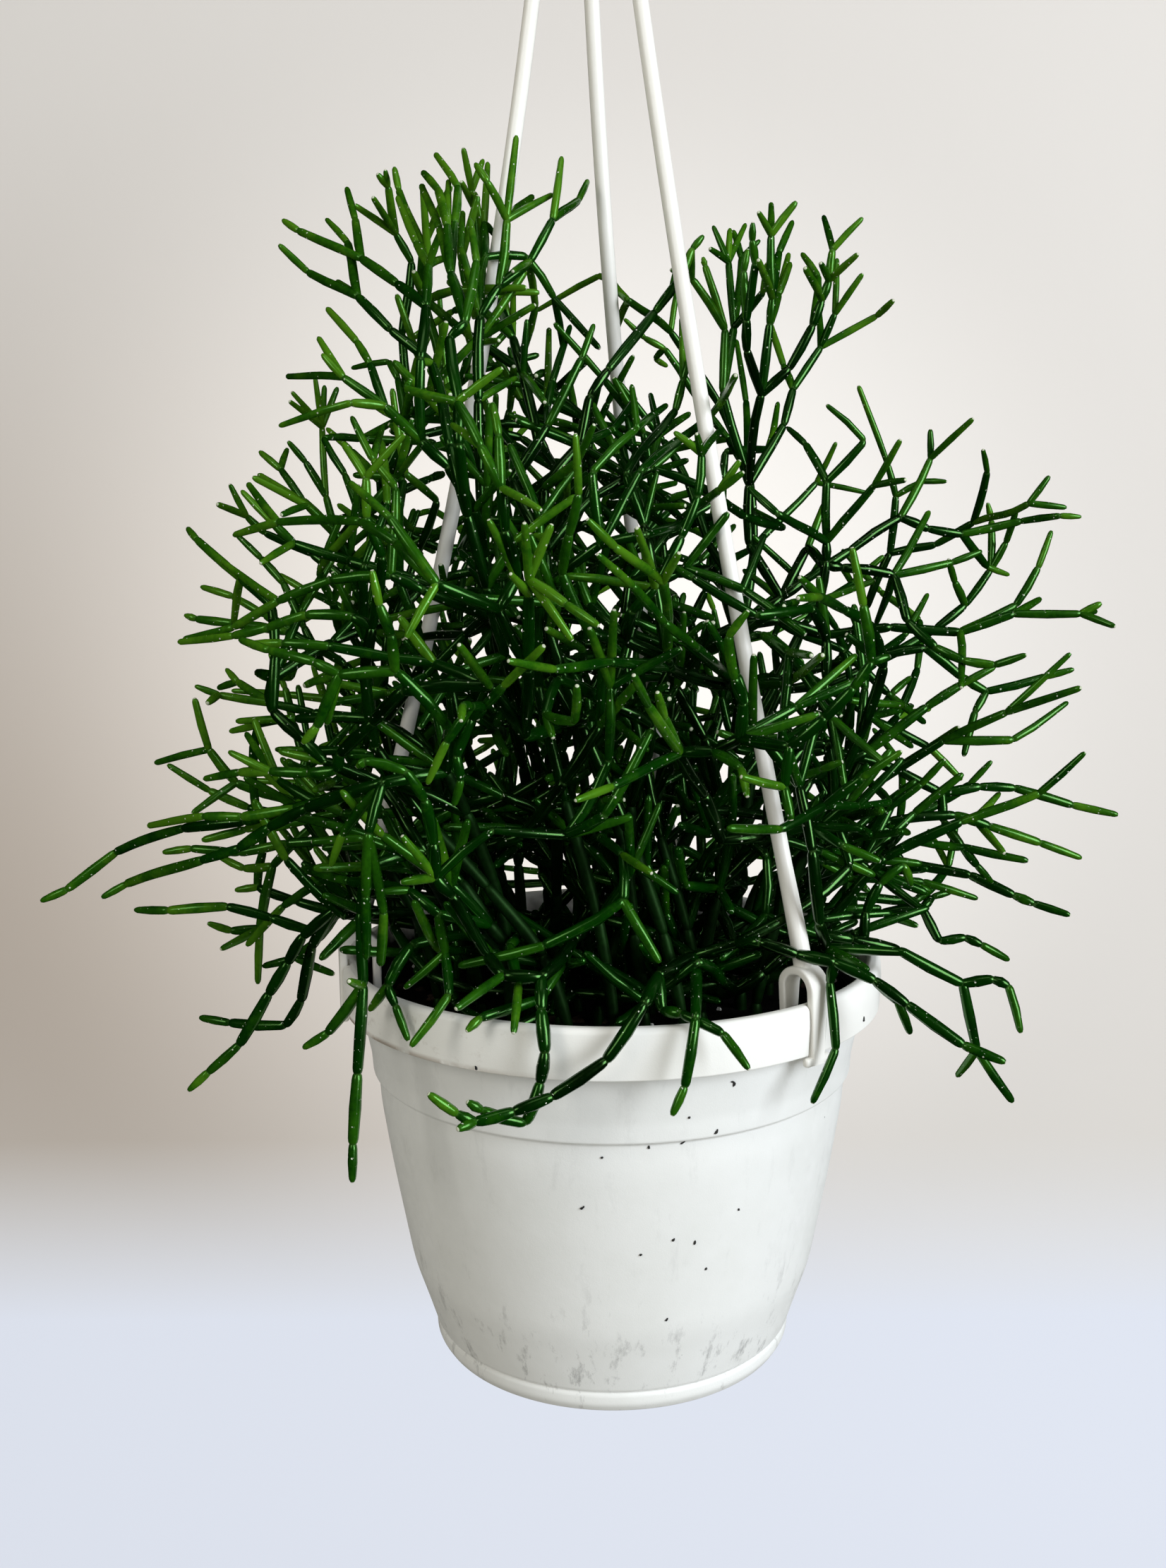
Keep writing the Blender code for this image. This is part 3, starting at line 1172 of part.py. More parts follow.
def round_outline(radius, sides, turn=0.0):
    angles = [turn + 2 * math.pi * k / sides for k in range(sides)]
    return [(radius * math.cos(a), radius * math.sin(a)) for a in angles]


def strip_outline(width, thick):
    w, t = width / 2, thick / 2
    return [(-w, -t), (w, -t), (w, t), (-w, t)]


def block(name, low, high):
    points = [(x, y, z) for x in (low[0], high[0]) for y in (low[1], high[1]) for z in (low[2], high[2])]
    faces = [(0, 1, 3, 2), (4, 6, 7, 5), (0, 4, 5, 1), (2, 3, 7, 6), (0, 2, 6, 4), (1, 5, 7, 3)]
    return mesh_of(name, points, faces)


# Outer wall of the pot below its band, from the top down: radius and height
OUTER_WALL = [(75.4, 10.6), (70.4, -14.0), (70.0, -19.4), (68.4, -20.2), (68.0, -28.5), (65.0, -48.0),
              (59.6, -77.5), (56.7, -86.0), (52.9, -98.0), (52.9, -100.5), (FOOT_RADIUS, POT_BOTTOM)]


def make_pot(mat, place):
    """Pot with its hollow rim band, a notch in it for each clip, and holes in its floor."""
    rim = [(RIM_RADIUS - BAND_WALL, 11.6), (RIM_RADIUS - BAND_WALL, 0.0), (RIM_RADIUS, 0.0),
           (RIM_RADIUS + RIM_BULGE, 8.5), (RIM_RADIUS + 0.1, 12.4), (RIM_RADIUS - 0.9, RIM_TOP),
           (LIP_INNER_RADIUS + 0.9, RIM_TOP), (LIP_INNER_RADIUS, 12.4)]
    inner = [(radius - POT_WALL, height) for radius, height in OUTER_WALL[1:7]]
    floor = [(FOOT_RADIUS, FLOOR_TOP), (0.0, FLOOR_TOP), (0.0, FLOOR_TOP - FLOOR_THICK),
             (FOOT_INNER_RADIUS - 0.8, FLOOR_TOP - FLOOR_THICK), (FOOT_INNER_RADIUS, POT_BOTTOM)]
    pot = add_object("pot", turned("pot", rim + inner + floor + OUTER_WALL[::-1], POT_SIDES))
    cutters = []
    for azimuth, _ in STRANDS.values():
        low = (NOTCH_RADIUS, -NOTCH_WIDTH / 2, -3)
        high = (RIM_RADIUS + 6, NOTCH_WIDTH / 2, RIM_TOP + 5)
        notch = add_object("notch", block("notch", low, high))
        notch.rotation_euler[2] = math.radians(azimuth - 90)
        cutters.append(notch)
    for k in range(DRAIN_HOLES):
        low, high = POT_BOTTOM - 5, FLOOR_TOP + 5
        profile = [(0, low), (DRAIN_RADIUS, low), (DRAIN_RADIUS, high), (0, high)]
        drain = add_object("drain", turned("drain", profile, 6))
        a = 2 * math.pi * (k + 0.25) / DRAIN_HOLES
        drain.location = (DRAIN_RING * math.cos(a) * MM, DRAIN_RING * math.sin(a) * MM, 0)
        cutters.append(drain)
    combine(pot, cutters, "DIFFERENCE")
    pot.data.shade_smooth()
    pot.data.set_sharp_from_angle(angle=math.radians(35))
    return finish(pot, mat, place)


def make_soil(mat, place, roots):
    """Fill of the pot with a gently uneven top and a plain blind hole for each rooted stem."""
    rng = random.Random(SEED + 1)
    walls = [(SOIL_RADIUS, SOIL_TOP)]
    walls += [(radius - SOIL_INSET, height) for radius, height in (OUTER_WALL[1], (68.4, -19.4))]
    walls += [(radius - SOIL_INSET, height) for radius, height in OUTER_WALL[4:7]]
    walls.append((FOOT_RADIUS - 0.8, FLOOR_TOP + SOIL_FLOOR_GAP))
    points, faces, rings = [], [], []
    for ring, (radius, height) in enumerate([(26.0, 0.35), (50.0, 0.2)] + walls):
        count = SOIL_SIDES // 2 if ring == 0 else SOIL_SIDES
        rings.append(list(range(len(points), len(points) + count)))
        for k in range(count):
            a = 2 * math.pi * k / count
            lumpy = rng.uniform(-0.6, 0.3) if ring < 2 else 0.0
            points.append((radius * math.cos(a), radius * math.sin(a), height + lumpy))
    top = len(points)
    points.append((0, 0, 0.2))
    inner, second = rings[:2]
    for k in range(len(inner)):
        n = (k + 1) % len(inner)
        a, b, c = second[2 * k], second[2 * k + 1], second[(2 * k + 2) % SOIL_SIDES]
        faces += [(top, inner[k], inner[n]), (inner[k], a, b), (inner[k], b, inner[n]), (inner[n], b, c)]
    for upper, lower in zip(rings[1:], rings[2:]):
        for k in range(SOIL_SIDES):
            n = (k + 1) % SOIL_SIDES
            faces += [(upper[k], lower[k], lower[n]), (upper[k], lower[n], upper[n])]
    faces.append(tuple(rings[-1]))
    soil = add_object("soil", mesh_of("soil", points, faces))
    holes = []
    for x, y, radius in roots:
        wide = (radius + ROOT_HOLE_CLEAR) / math.cos(math.pi / 5)
        low, high = -ROOT_DEPTH - 0.5, SOIL_TOP + 4
        hole = add_object("hole", turned("hole", [(0, low), (wide, low), (wide, high), (0, high)], 5))
        hole.location = (x * MM, y * MM, 0)
        holes.append(hole)
    combine(soil, holes, "DIFFERENCE")
    return finish(soil, mat, place)


def make_hook(mat, place):
    """Hub that the strands meet under, with a flat strip bent into an open hook over it."""
    middle = HOOK_INNER_RADIUS + HOOK_THICK / 2
    centre = HOOK_BEARING - np.array([0, 0, HOOK_INNER_RADIUS])
    shank = [(0.0, 1.0), (0.0, 9.0), (3.4, 14.5), (9.0, 19.5)]
    path = [HUB + np.array([x, 0, z]) for x, z in shank]
    for k in range(13):
        a = math.radians(-18 + 222 * k / 12)
        path.append(centre + middle * np.array([math.cos(a), 0, math.sin(a)]))

    def strip(i):
        return strip_outline(HOOK_WIDTH, HOOK_THICK * (0.75 if i == len(path) - 1 else 1.0))

    hook = add_object("hanger_hook", swept("hook", path, strip, np.array([0, 1.0, 0])))
    low, high = HUB[2] - HUB_HEIGHT / 2, HUB[2] + HUB_HEIGHT / 2
    bevel = 2.5
    profile = [(0, low), (HUB_RADIUS, low), (HUB_RADIUS, high - bevel), (HUB_RADIUS - bevel, high), (0, high)]
    hub = add_object("hub", turned("hub", profile, 16))
    hub.location = (HUB[0] * MM, HUB[1] * MM, 0)
    combine(hook, [hub], "UNION")
    hook.data.shade_smooth()
    hook.data.set_sharp_from_angle(angle=math.radians(35))
    return finish(hook, mat, place)


def make_strand(name, azimuth, bow, mat, place):
    """One moulded strand with the clip at its foot that straddles the pot's rim."""
    a = math.radians(azimuth)
    out = np.array([math.sin(a), -math.cos(a), 0.0])
    side = np.array([math.cos(a), math.sin(a), 0.0])
    path = [strand_point(azimuth, bow, s) for s in np.linspace(0, 1, 15)]
    path[0][2] -= 1.4
    path[-1][2] = HUB[2] - HUB_HEIGHT / 2 - SEAT_GAP
    strand = add_object(name, swept(name, path, lambda i: round_outline(STRAND_RADIUS, 6)))
    middle = (CLIP_OUTER + CLIP_INNER) / 2
    bend = (CLIP_OUTER - CLIP_INNER) / 2
    route = [(CLIP_OUTER, CLIP_FOOT_END + 0.2), (CLIP_OUTER, CLIP_LEG_TOP)]
    for k in range(1, 7):
        turn = math.pi * k / 6
        route.append((middle + bend * math.cos(turn), CLIP_LEG_TOP + bend * math.sin(turn)))
    route.append((CLIP_INNER, CLIP_INNER_END))
    clip_path = [out * radius + np.array([0, 0, z]) for radius, z in route]
    strip = strip_outline(CLIP_WIDTH, CLIP_THICK)
    clip = add_object("clip", swept("clip", clip_path, lambda i: strip, side))
    half = CLIP_THICK / 2
    foot = add_object("foot", block("foot", (CLIP_OUTER - half, -CLIP_FOOT_WIDTH / 2, CLIP_FOOT_END),
                                    (CLIP_OUTER + half, CLIP_FOOT_WIDTH / 2, -SEAT_GAP)))
    foot.rotation_euler[2] = math.radians(azimuth - 90)
    combine(strand, [clip, foot], "UNION")
    strand.data.shade_smooth()
    strand.data.set_sharp_from_angle(angle=math.radians(35))
    return finish(strand, mat, place)


def stems_of(sk, foot, high, kids):
    """Every stem of a clump as a run of joints; a side stem starts on the joint it grows from."""
    runs, starts = [], [(foot, None)]
    while starts:
        first, host = starts.pop()
        run = [first] if host is None else [host, first]
        while kids[run[-1]]:
            i = run[-1]
            way = sk.way(i)
            ahead = max(kids[i], key=lambda k: high[k] * 0.6 + float(np.dot(way, sk.way(k))))
            starts += [(k, i) for k in kids[i] if k != ahead]
            run.append(ahead)
        runs.append(run)
    return runs


def make_clump(name, sk, foot, high, kids, radius, mat, place):
    """One rooted clump: its stems as slim tubes, a side stem sunk in the joint it grows from."""
    pieces = []
    for run in stems_of(sk, foot, high, kids):
        sizes = [radius[i] * STEM_FAT for i in run]
        if run[0] != foot:
            sizes[0] = sizes[1] * 0.5
        sizes[-1] *= 0.8
        mesh = swept(name, [sk.spot[i] for i in run],
                     lambda i: round_outline(sizes[i], STEM_SIDES, STEM_TURN * run[0]))
        pieces.append(add_object(name if not pieces else "stem_part", mesh))
    clump = pieces[0]
    if len(pieces) > 1:
        # many stems meet in one joint, where the exact solver leaves open edges
        combine(clump, pieces[1:], "UNION", "MANIFOLD")
    clump.data.shade_smooth()
    clump.data.set_sharp_from_angle(angle=math.radians(60))
    return finish(clump, mat, place)


def main():
    for obj in list(bpy.data.objects):
        bpy.data.objects.remove(obj)
    place = bpy.data.objects.new("pot_place", None)
    bpy.context.scene.collection.objects.link(place)
    place.location = [float(-c) * MM for c in HOOK_BEARING]

    sk = grow_plant()
    high, kids = heights(sk), sk.kids()
    radius = stem_radii(high)
    feet = [i for i, b in enumerate(sk.below) if b < 0]
    make_pot(material("pot_plastic", WHITE, 0.45), place)
    roots = [(*sk.spot[i][:2], radius[i] * STEM_FAT) for i in feet]
    make_soil(material("potting_soil", SOIL_BROWN, 0.95), place, roots)
    make_hook(material("hook_plastic", HANGER_WHITE, 0.4), place)
    for side, (azimuth, bow) in STRANDS.items():
        name = "hanger_strand_" + side
        make_strand(name, azimuth, bow, material(name + "_plastic", HANGER_WHITE, 0.4), place)
    for number, foot in enumerate(feet, 1):
        name = f"stem_{number:02d}"
        make_clump(name, sk, foot, high, kids, radius, material(name + "_green", GREEN, 0.45), place)


main()
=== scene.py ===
"""Looks of the dancing bones cactus in its white hanging pot.

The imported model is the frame. Every piece is modelled in the pot's frame in millimetres,
with its origin on the pot's axis at the lower edge of the rim band, and is then moved to
the frame's origin at the top of the hook.
"""
import math
import random

import bmesh
import bpy
import numpy as np
from mathutils import Matrix, Vector


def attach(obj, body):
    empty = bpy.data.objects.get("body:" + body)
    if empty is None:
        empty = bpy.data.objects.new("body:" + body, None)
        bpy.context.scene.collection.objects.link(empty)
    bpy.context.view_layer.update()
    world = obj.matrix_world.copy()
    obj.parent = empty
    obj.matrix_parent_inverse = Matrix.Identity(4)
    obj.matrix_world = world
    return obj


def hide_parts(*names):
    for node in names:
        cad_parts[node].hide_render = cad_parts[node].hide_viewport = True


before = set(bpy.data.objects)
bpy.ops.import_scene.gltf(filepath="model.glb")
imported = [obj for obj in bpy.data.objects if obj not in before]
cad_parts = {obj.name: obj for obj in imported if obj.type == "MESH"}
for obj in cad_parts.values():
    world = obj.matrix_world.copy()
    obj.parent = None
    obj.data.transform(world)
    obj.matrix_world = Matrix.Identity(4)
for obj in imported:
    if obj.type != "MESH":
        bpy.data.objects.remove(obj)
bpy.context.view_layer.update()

BODY = "root"
MM = 0.001
# a distance or a cost that nothing reaches
FAR = 1e9

# Pot, a nominal 15 cm hanging pot
RIM_RADIUS = 78.0
RIM_BULGE = 0.4
RIM_TOP = 13.4
BAND_WALL = 1.6
POT_WALL = 1.5
LIP_INNER_RADIUS = 74.2
FOOT_RADIUS = 51.4
FOOT_INNER_RADIUS = 49.2
POT_BOTTOM = -103.5
FLOOR_TOP = -97.5
FLOOR_THICK = 1.8
DRAIN_HOLES = 4
DRAIN_RADIUS = 4.5
DRAIN_RING = 30.0

# Soil
SOIL_TOP = 0.0
SOIL_RADIUS = 71.0
SOIL_INSET = POT_WALL + 1.0
SOIL_FOOT_INSET = 0.8
SOIL_FLOOR_GAP = 0.4
ROOT_DEPTH = 7.0

# Hanger: its hub and hook, and for each strand its azimuth in degrees and its bow towards the axis
HUB = np.array([-7.0, 5.0, 400.0])
HOOK_BEARING = np.array([-7.0, 5.0, 440.0])
HUB_RADIUS = 8.5
HUB_HEIGHT = 8.0
HOOK_INNER_RADIUS = 11.0
HOOK_THICK = 3.2
HOOK_WIDTH = 7.0
STRANDS = {"front_right": (42.0, 6.0), "left": (-78.0, 10.0), "back": (162.0, 18.0)}
STRAND_FOOT_RADIUS = 73.2
STRAND_FOOT_HEIGHT = 23.0
STRAND_RADIUS = 2.1
STRAND_SPREAD = 5.0
# share of a strand's length from which it spreads to meet the hub's edge, and over which
STRAND_SPREAD_FROM = 0.7
STRAND_SPREAD_OVER = 0.3
CLIP_WIDTH = 5.6
CLIP_THICK = 2.2
CLIP_OUTER = 77.9
CLIP_INNER = 68.4
CLIP_LEG_TOP = 17.0
CLIP_INNER_END = 1.5
CLIP_FOOT_WIDTH = 9.4
CLIP_FOOT_END = -3.6
NOTCH_WIDTH = 6.6
NOTCH_RADIUS = 76.1
SEAT_GAP = 0.35

# Plant
SEED = 11
EYE = np.array([-8.2, -435.7, 130.7])
ROOT_SITES = 52
ROOT_RING = 57.0
COLLAR_HEIGHT = 5.0
GOLDEN = math.pi * (3 - math.sqrt(5))
JOINT_LENGTH = 22.0
FILL_SHOOTS = 18
FILL_ARMS = 46
# stem radius by the number of joints between a joint and its furthest tip
RADII = [0.8, 1.0, 1.12, 1.2, 1.28, 1.35, 1.42, 1.46, 1.5]
# how far the corners of a solid's three-sided stem reach, in its radii
STEM_FAT = 1.27
STEM_GAP = 0.4
CLASH_GAP = 0.12
# how many points of a stem are tested against the pot, and what a clash there lets pass
POT_CLASH_TESTS = 9
POT_CLASH_EASE = 0.5
POT_CLASH_LEAST = 0.05
# how much more a listed joint counts than another when one of two branches has to go
LISTED_WORTH = 3
# inner stems: how many arms, from how many places, how far out by height, and how close
# beside a listed stem as seen
INNER_ARMS = 450
INNER_PLACES = 1200
INNER_JOINT = 23
# how many arms grow before the new joints may bear arms too
ARMS_AT_ONCE = 10
# how much the room of a place low on the near side counts
NEAR_WORTH = 1.15
INNER_HEIGHTS = [0, 30, 60, 95, 130, 160, 190, 215]
INNER_WIDE = [66, 98, 104, 94, 68, 44, 26, 12]
INNER_MIDDLE = [0, 0, -2, -6, -14, -26, -36, -40]
INNER_BESIDE = 8.0
# greatest reach of the crown from the pot's axis at each height
REACH_HEIGHTS = [-45, -20, 5, 30, 60, 95, 130, 160, 190, 215, 235]
REACH = [92, 112, 128, 138, 136, 134, 124, 104, 86, 66, 40]
# how much deeper than listed the crown's stems stand, by height
DEPTH_HEIGHTS = [10, 60, 120, 180]
DEPTH_GAIN = [1.0, 1.45, 2.1, 2.8]
# least depth that the crown has on either side
LEAST_DEPTH = 12.0
# how near beside a strand a stem keeps to its own side of it, and how far before or behind it
STRAND_SIDE = 14.0
STRAND_PASS = 4.5
# where stems may stand beside the pot: clear of its rim and of the soil
RIM_CLEAR_TOP = 14.0
RIM_CLEAR_OUT = 79.6
WALL_CLEAR_IN = 66.5
# where no grown joint goes: over the soil, and in a belt round the rim
SOIL_ZONE_TOP = 8
BELT_TOP = 24
BELT_INNER = 58
BELT_OUTER = 88
REACH_MARGIN = 4

# Joining the loose stems
SPLICE_REACH = 4.5
SHORTEST_JOINT = 4
CROWN_MIDDLE = np.array([-4.0, 0.0, 8.0])
# a host's nearest and furthest distance, and how much nearer the crown's middle it stands
HOST_NEAREST = 5
HOST_FURTHEST = 34
HOST_FURTHER_IN = 2
# least cosine between the way to the joint and the stem, ahead at the joint and behind at the host
HOST_AHEAD = 0.3
HOST_BEHIND = 0.1
# what turns and forks add to the distance, and the most that a host may cost
AHEAD_COST = 1.2
BEHIND_COST = 0.8
FORK_COST = 3
HOST_COST = 46.0
MOST_FORKS = 2
# where a stem with no host has its root, as a share of its distance from the axis
ROOT_SHARE = 0.42
# how much a new stem leans from upright towards the one it joins
ROOT_LEAN = 0.25
LONGEST_LINK = 24
MOST_PASSES = 12

# Stems listed one by one on the plant: the depth of a stem's first and last joint, then x and z
# of its joints on the upright plane through the pot's axis. A stem that starts on a listed
# joint grows from it.
CANES = [
    # left crown
    (-25, -15, -44, 158, -49, 180.5),
    (-15, -10, -52, 181, -60, 189.5, -69, 198.5, -82.5, 205, -90, 212),
    (-12, -20, -49, 180.5, -52, 181),
    (-20, -20, -51, 160, -52, 181),
    (-10, -14, -69, 198.5, -74.5, 202.5),
    (-10, 0, -69, 198.5, -71.5, 213, -77, 219),
    (-15, -5, -52, 181, -50.3, 195, -49.3, 206, -52.5, 212, -57.3, 224),
    (-10, 0, -50.3, 195, -58, 201, -67.5, 207.5, -84.5, 215, -88.5, 217.7),
    (0, 6, -67.5, 207.5, -69, 218, -71, 226),
    (-5, -14, -49.3, 206, -46, 214.5),
    (-5, 4, -49.3, 206, -43, 208.5),
    (8, 12, -55, 160, -57, 188, -54, 207, -58, 214.5, -60.5, 231),
    (12, 18, -58, 214.5, -69, 222),
    (12, 4, -58, 214.5, -64, 224),
    (12, 14, -59.5, 225, -62.5, 230),
    (0, 8, -49.3, 206, -57, 226, -58, 231.5),
    (2, 2, -49.3, 206, -50.5, 227),
    (22, 26, -43, 160, -46, 185, -46.5, 198),
    (-12, -4, -36, 150, -36, 170, -35, 192.5, -30, 200.5, -28, 218, -25, 239.5),
    (-4, -12, -28, 218, -33, 228, -36, 232.5),
    (-4, 8, -28, 218, -21, 224),
    (-4, -2, -28, 218, -15.5, 224.5),
    (-8, -2, -30, 200.5, -21.5, 207, -15, 218, -12.5, 234),
    (-2, 6, -15, 218, -8, 223, -5.5, 228),
    (-8, -12, -21.5, 207, -26, 204.5),
    (-8, 6, -35, 192.5, -33, 208, -33, 217, -32, 232.5),
    (4, 10, -33, 217, -30.5, 214),
    (-40, -28, -41.5, 158, -41.5, 170, -43.5, 187, -39.5, 191, -36, 207, -37.5, 218),
    (-30, -16, -39.5, 191, -43, 204, -43.5, 216.5, -46, 226, -50, 230.5),
    (-16, -10, -43.5, 216.5, -43, 228.5),
    (-14, -8, -43, 204, -46, 216, -50.7, 227),
    (6, 0, -35, 192.5, -40, 210.5, -39.5, 220),
    (-16, -4, -43, 204, -42, 217, -41, 226, -46.8, 234.5),
    (4, 10, -34.5, 200, -36, 220, -39.2, 236.5),
    (4, 0, -36, 220, -40, 228),
    (6, 14, -40, 225, -34, 233.5),
    (-8, -2, -20, 158, -24, 177, -27, 187, -31.5, 197),
    (-6, -6, -24, 177, -22.7, 191.5),
    (-4, 4, -27, 187, -26.5, 200),
    (-6, -16, -24, 177, -18, 169.5),
    (10, 14, -21, 163, -27.5, 184),
    (-14, -6, -36, 170, -25.5, 176),
    (-60, -70, -42, 169.5, -56, 173.5, -54.8, 175.5),
    (-60, -66, -42, 169.5, -29.5, 178.5),
    (-58, -60, -30, 146, -35.5, 157.5, -42, 169.5),
    (-36, -44, -35.5, 157.5, -43.5, 163.5),
    # left shoulder
    (-20, -20, -45, 152, -62, 168.5, -73.5, 176.5, -80, 187),
    (-20, -28, -73.5, 176.5, -79, 182.5),
    (-20, -10, -62, 168.5, -66, 180, -69.5, 186, -77.3, 194.8),
    (4, 10, -57, 165, -58.5, 176, -61, 180.5, -71, 179),
    (-24, -34, -62, 168.5, -71.5, 169.5, -91.5, 163.5),
    (-8, -2, -73.5, 176.5, -89, 176.8),
    (12, 24, -72, 118, -76, 130, -79.5, 144, -80, 163, -88, 172.5),
    (20, 14, -80, 163, -88.7, 170),
    (20, 24, -80, 163, -81.5, 176.3),
    (20, 32, -80, 163, -79, 174),
    (20, 26, -80, 163, -75.5, 173.5),
    (14, 20, -79.5, 144, -85, 153.5, -89.5, 159),
    (2, 8, -79, 136, -86, 143, -92, 151.5, -97.5, 156.3),
    (8, 14, -92, 151.5, -90, 157),
    (-12, -14, -76, 132, -85, 141.5, -99.5, 149.3),
    (-12, -6, -85, 141.5, -98, 150),
    (-12, -20, -85, 141.5, -92, 139),
    (-20, -14, -56, 120, -74, 125.8, -89, 131, -95, 137, -103, 145.5),
    (-16, -26, -89, 131, -98.5, 125.5),
    (14, 10, -84, 128, -97, 134, -102, 138.7, -106.3, 147.3),
    (10, 4, -102, 138.7, -110, 142),
    (-62, -46, -48.5, 119.5, -60, 131, -70, 137, -93, 137, -101, 147.5),
    (-46, -52, -93, 137, -105.5, 133.5),
    (-68, -74, -48.5, 119.5, -61.5, 138, -72.5, 147.8),
    (-68, -78, -48.5, 119.5, -57.5, 104.5),
    (-55, -66, -31, 112, -48.5, 119.5),
    (-40, -48, -64, 127, -68, 138, -68, 149, -57, 160.7),
    (-44, -50, -68, 149, -74, 158.5),
    (-24, -20, -60, 146, -66, 154, -71.5, 165.5),
    (-22, -14, -66, 154, -63, 163),
    (-10, -4, -70, 138, -74, 150, -79.5, 160),
    (0, 6, -64, 148, -72, 156.5, -78.5, 162.5),
    (-30, -24, -54, 117, -62, 121.5, -79, 120.5, -94, 114.8, -107, 107.5, -121, 104.3),
    (-26, -16, -94, 114.8, -109.3, 126),
    (-22, -10, -96, 113.5, -104.5, 121.5, -116.5, 132.5, -118.8, 135.5),
    (-14, -8, -104.5, 121.5, -107, 109),
    (2, 8, -90, 106, -98, 111, -107, 116.3, -115.5, 119),
    (-6, 0, -92, 106, -107, 108.6, -117.5, 110, -120.5, 111),
    (6, 14, -82, 97, -87, 107.5, -92.5, 120, -98.5, 127, -105, 133.5),
    (22, 30, -72, 110, -86, 117.7, -93.5, 122.3),
    (-36, -32, -70, 95, -67.5, 107, -73, 110.3, -86, 111, -97, 107.5, -107, 105.2, -122.5, 103.5),
    (-42, -48, -50, 97, -61, 98.5, -80, 102, -93, 103, -103, 102.7),
    (-62, -68, -46, 78, -61, 94.5, -77, 94, -84, 97.5, -97, 101, -105, 104),
    (-64, -76, -61, 94.5, -62, 105, -65, 113.5, -66.8, 123),
    (-68, -62, -77, 94, -85.5, 91.5),
    (-68, -74, -77, 94, -84, 79, -88, 74.5),
    (-68, -64, -77, 94, -81, 80),
    # left middle
    (4, 6, -66, 80, -85, 83, -97, 85.7, -112, 88.3, -118.5, 90.8),
    (6, 0, -112, 88.3, -115.3, 86),
    (6, 12, -97, 85.7, -106.5, 92, -109.5, 95.5),
    (10, 16, -106.5, 92, -112, 90.3),
    (22, 26, -70, 85, -92, 88.3, -108, 89.5),
    (12, 16, -88, 66, -91, 80, -93, 90, -97, 100),
    (-18, -10, -68, 81, -90, 81.3, -107, 80.7),
    (-12, -6, -92, 81.3, -101, 79.5, -109, 77.8),
    (-36, -30, -82, 69, -88, 75, -96.5, 83.5),
    (-22, -20, -70, 71, -88, 72, -96, 72.4),
    (-52, -44, -59, 89, -68, 80, -77.5, 71, -79, 66.3, -87, 65.5, -98, 66, -109.5, 71.7),
    (-44, -40, -98, 66, -107, 65.8, -117, 64),
    (10, 14, -70, 61, -85, 62, -104, 63.5),
    (-34, -24, -66, 62.5, -85, 57, -106, 51.5, -124, 49.5, -144, 42.5, -159, 31.5, -166.5, 28.2),
    (-48, -44, -64, 61, -79, 57.5, -92, 54.5, -107, 52.5, -118, 52.8, -134, 50.2),
    (0, -4, -80, 56, -92, 57.5, -108, 62.8, -115.5, 72.5, -119, 87),
    (-4, 2, -115.5, 72.5, -131, 68.8),
    (-2, -8, -108, 62.8, -121, 54),
    (12, 16, -90, 52, -105, 55.5, -116, 60.5, -127.5, 68),
    (-54, -38, -64, 63, -88, 55, -99, 49.5, -108, 43.5, -119, 40, -141.5, 33, -148.5, 29.2),
    (0, 4, -76, 46, -94, 45, -108, 42.3, -122, 43.5, -130, 42.5),
    (-26, -30, -92, 53, -106, 49, -118.3, 46),
    (10, 16, -84, 52, -98.5, 38, -103, 19.5, -104.3, 3),
    (12, 18, -98.5, 38, -107, 37.5, -114, 41),
    (14, 12, -103, 19.5, -111.5, 18.8, -118, 21),
    (14, 6, -103, 19.5, -114.5, 13.3),
    (-4, 0, -78, 36, -95, 26, -106, 14.5),
    (20, 24, -80, 24, -92, 27.5, -103, 31.8, -109.5, 31),
    (-16, -14, -70, 30, -88, 19, -99, 22.5, -112, 26, -129.5, 25, -139, 25.2),
    (-24, -22, -80, 25, -90, 17, -95, 9, -101, -0.5, -110.5, -16, -120, -24.5, -126, -30),
    (-6, -2, -80, 25, -87.5, 14, -91.5, -2.5, -96.5, -10, -113, -9.3, -121.5, -7.7),
    (14, 18, -86, 16, -93, 10.5, -102.3, 8),
    (16, 14, -93, 10.5, -82, 5.5),
    (-60, -72, -69, 38, -73, 24, -73, 2, -75.5, -25.3, -77.5, -47.3, -78, -59),
    (-66, -78, -73, 2, -77, 3.2),
    (-66, -58, -73, 2, -84, -12.5, -91, -17),
    (-56, -60, -58, 14, -65, 2, -62.5, -4, -58.3, -14.2),
    (-58, -54, -65, 2, -70.5, -5.3),
    (-64, -76, -49, 24, -48, 12, -47.5, -1, -58.8, -16.5),
    (-64, -62, -48, 12, -60, 1.5),
    (-70, -76, -47, 36, -51, 44.5, -53, 57.5, -58.5, 66, -70, 69, -72.3, 67.5),
    (-66, -72, -38, 82, -47, 74, -53, 62),
    (-66, -64, -47, 36, -34, 48),
    (-70, -76, -50, 36.5, -60.5, 33),
    (-56, -60, -58, 31, -67, 30.5),
    (-46, -50, -53, 42.5, -65, 44, -72, 46.3, -86, 45.5),
    (-58, -62, -66, 62, -78, 47, -81.5, 38),
    (-30, -26, -31, 58.5, -42, 56, -55, 54),
    (-56, -62, -40, 80, -44, 70, -43, 63, -45, 56),
    # front of the soil
    (-70, -76, -19.5, 3, -31, 4, -36, 10.5, -46, 28.5, -60, 46.5),
    (-76, -84, -31, 4, -45, -6),
    (-30, -70, 0, 21, -10, 14.5, -19.5, 3),
    (-74, -88, -19.5, 3, -19, -8, -18, -20, -20, -29, -25, -41, -38, -37, -42, -34.5),
    (-62, -83, -30, 14, -27.5, 2, -29, -12.5),
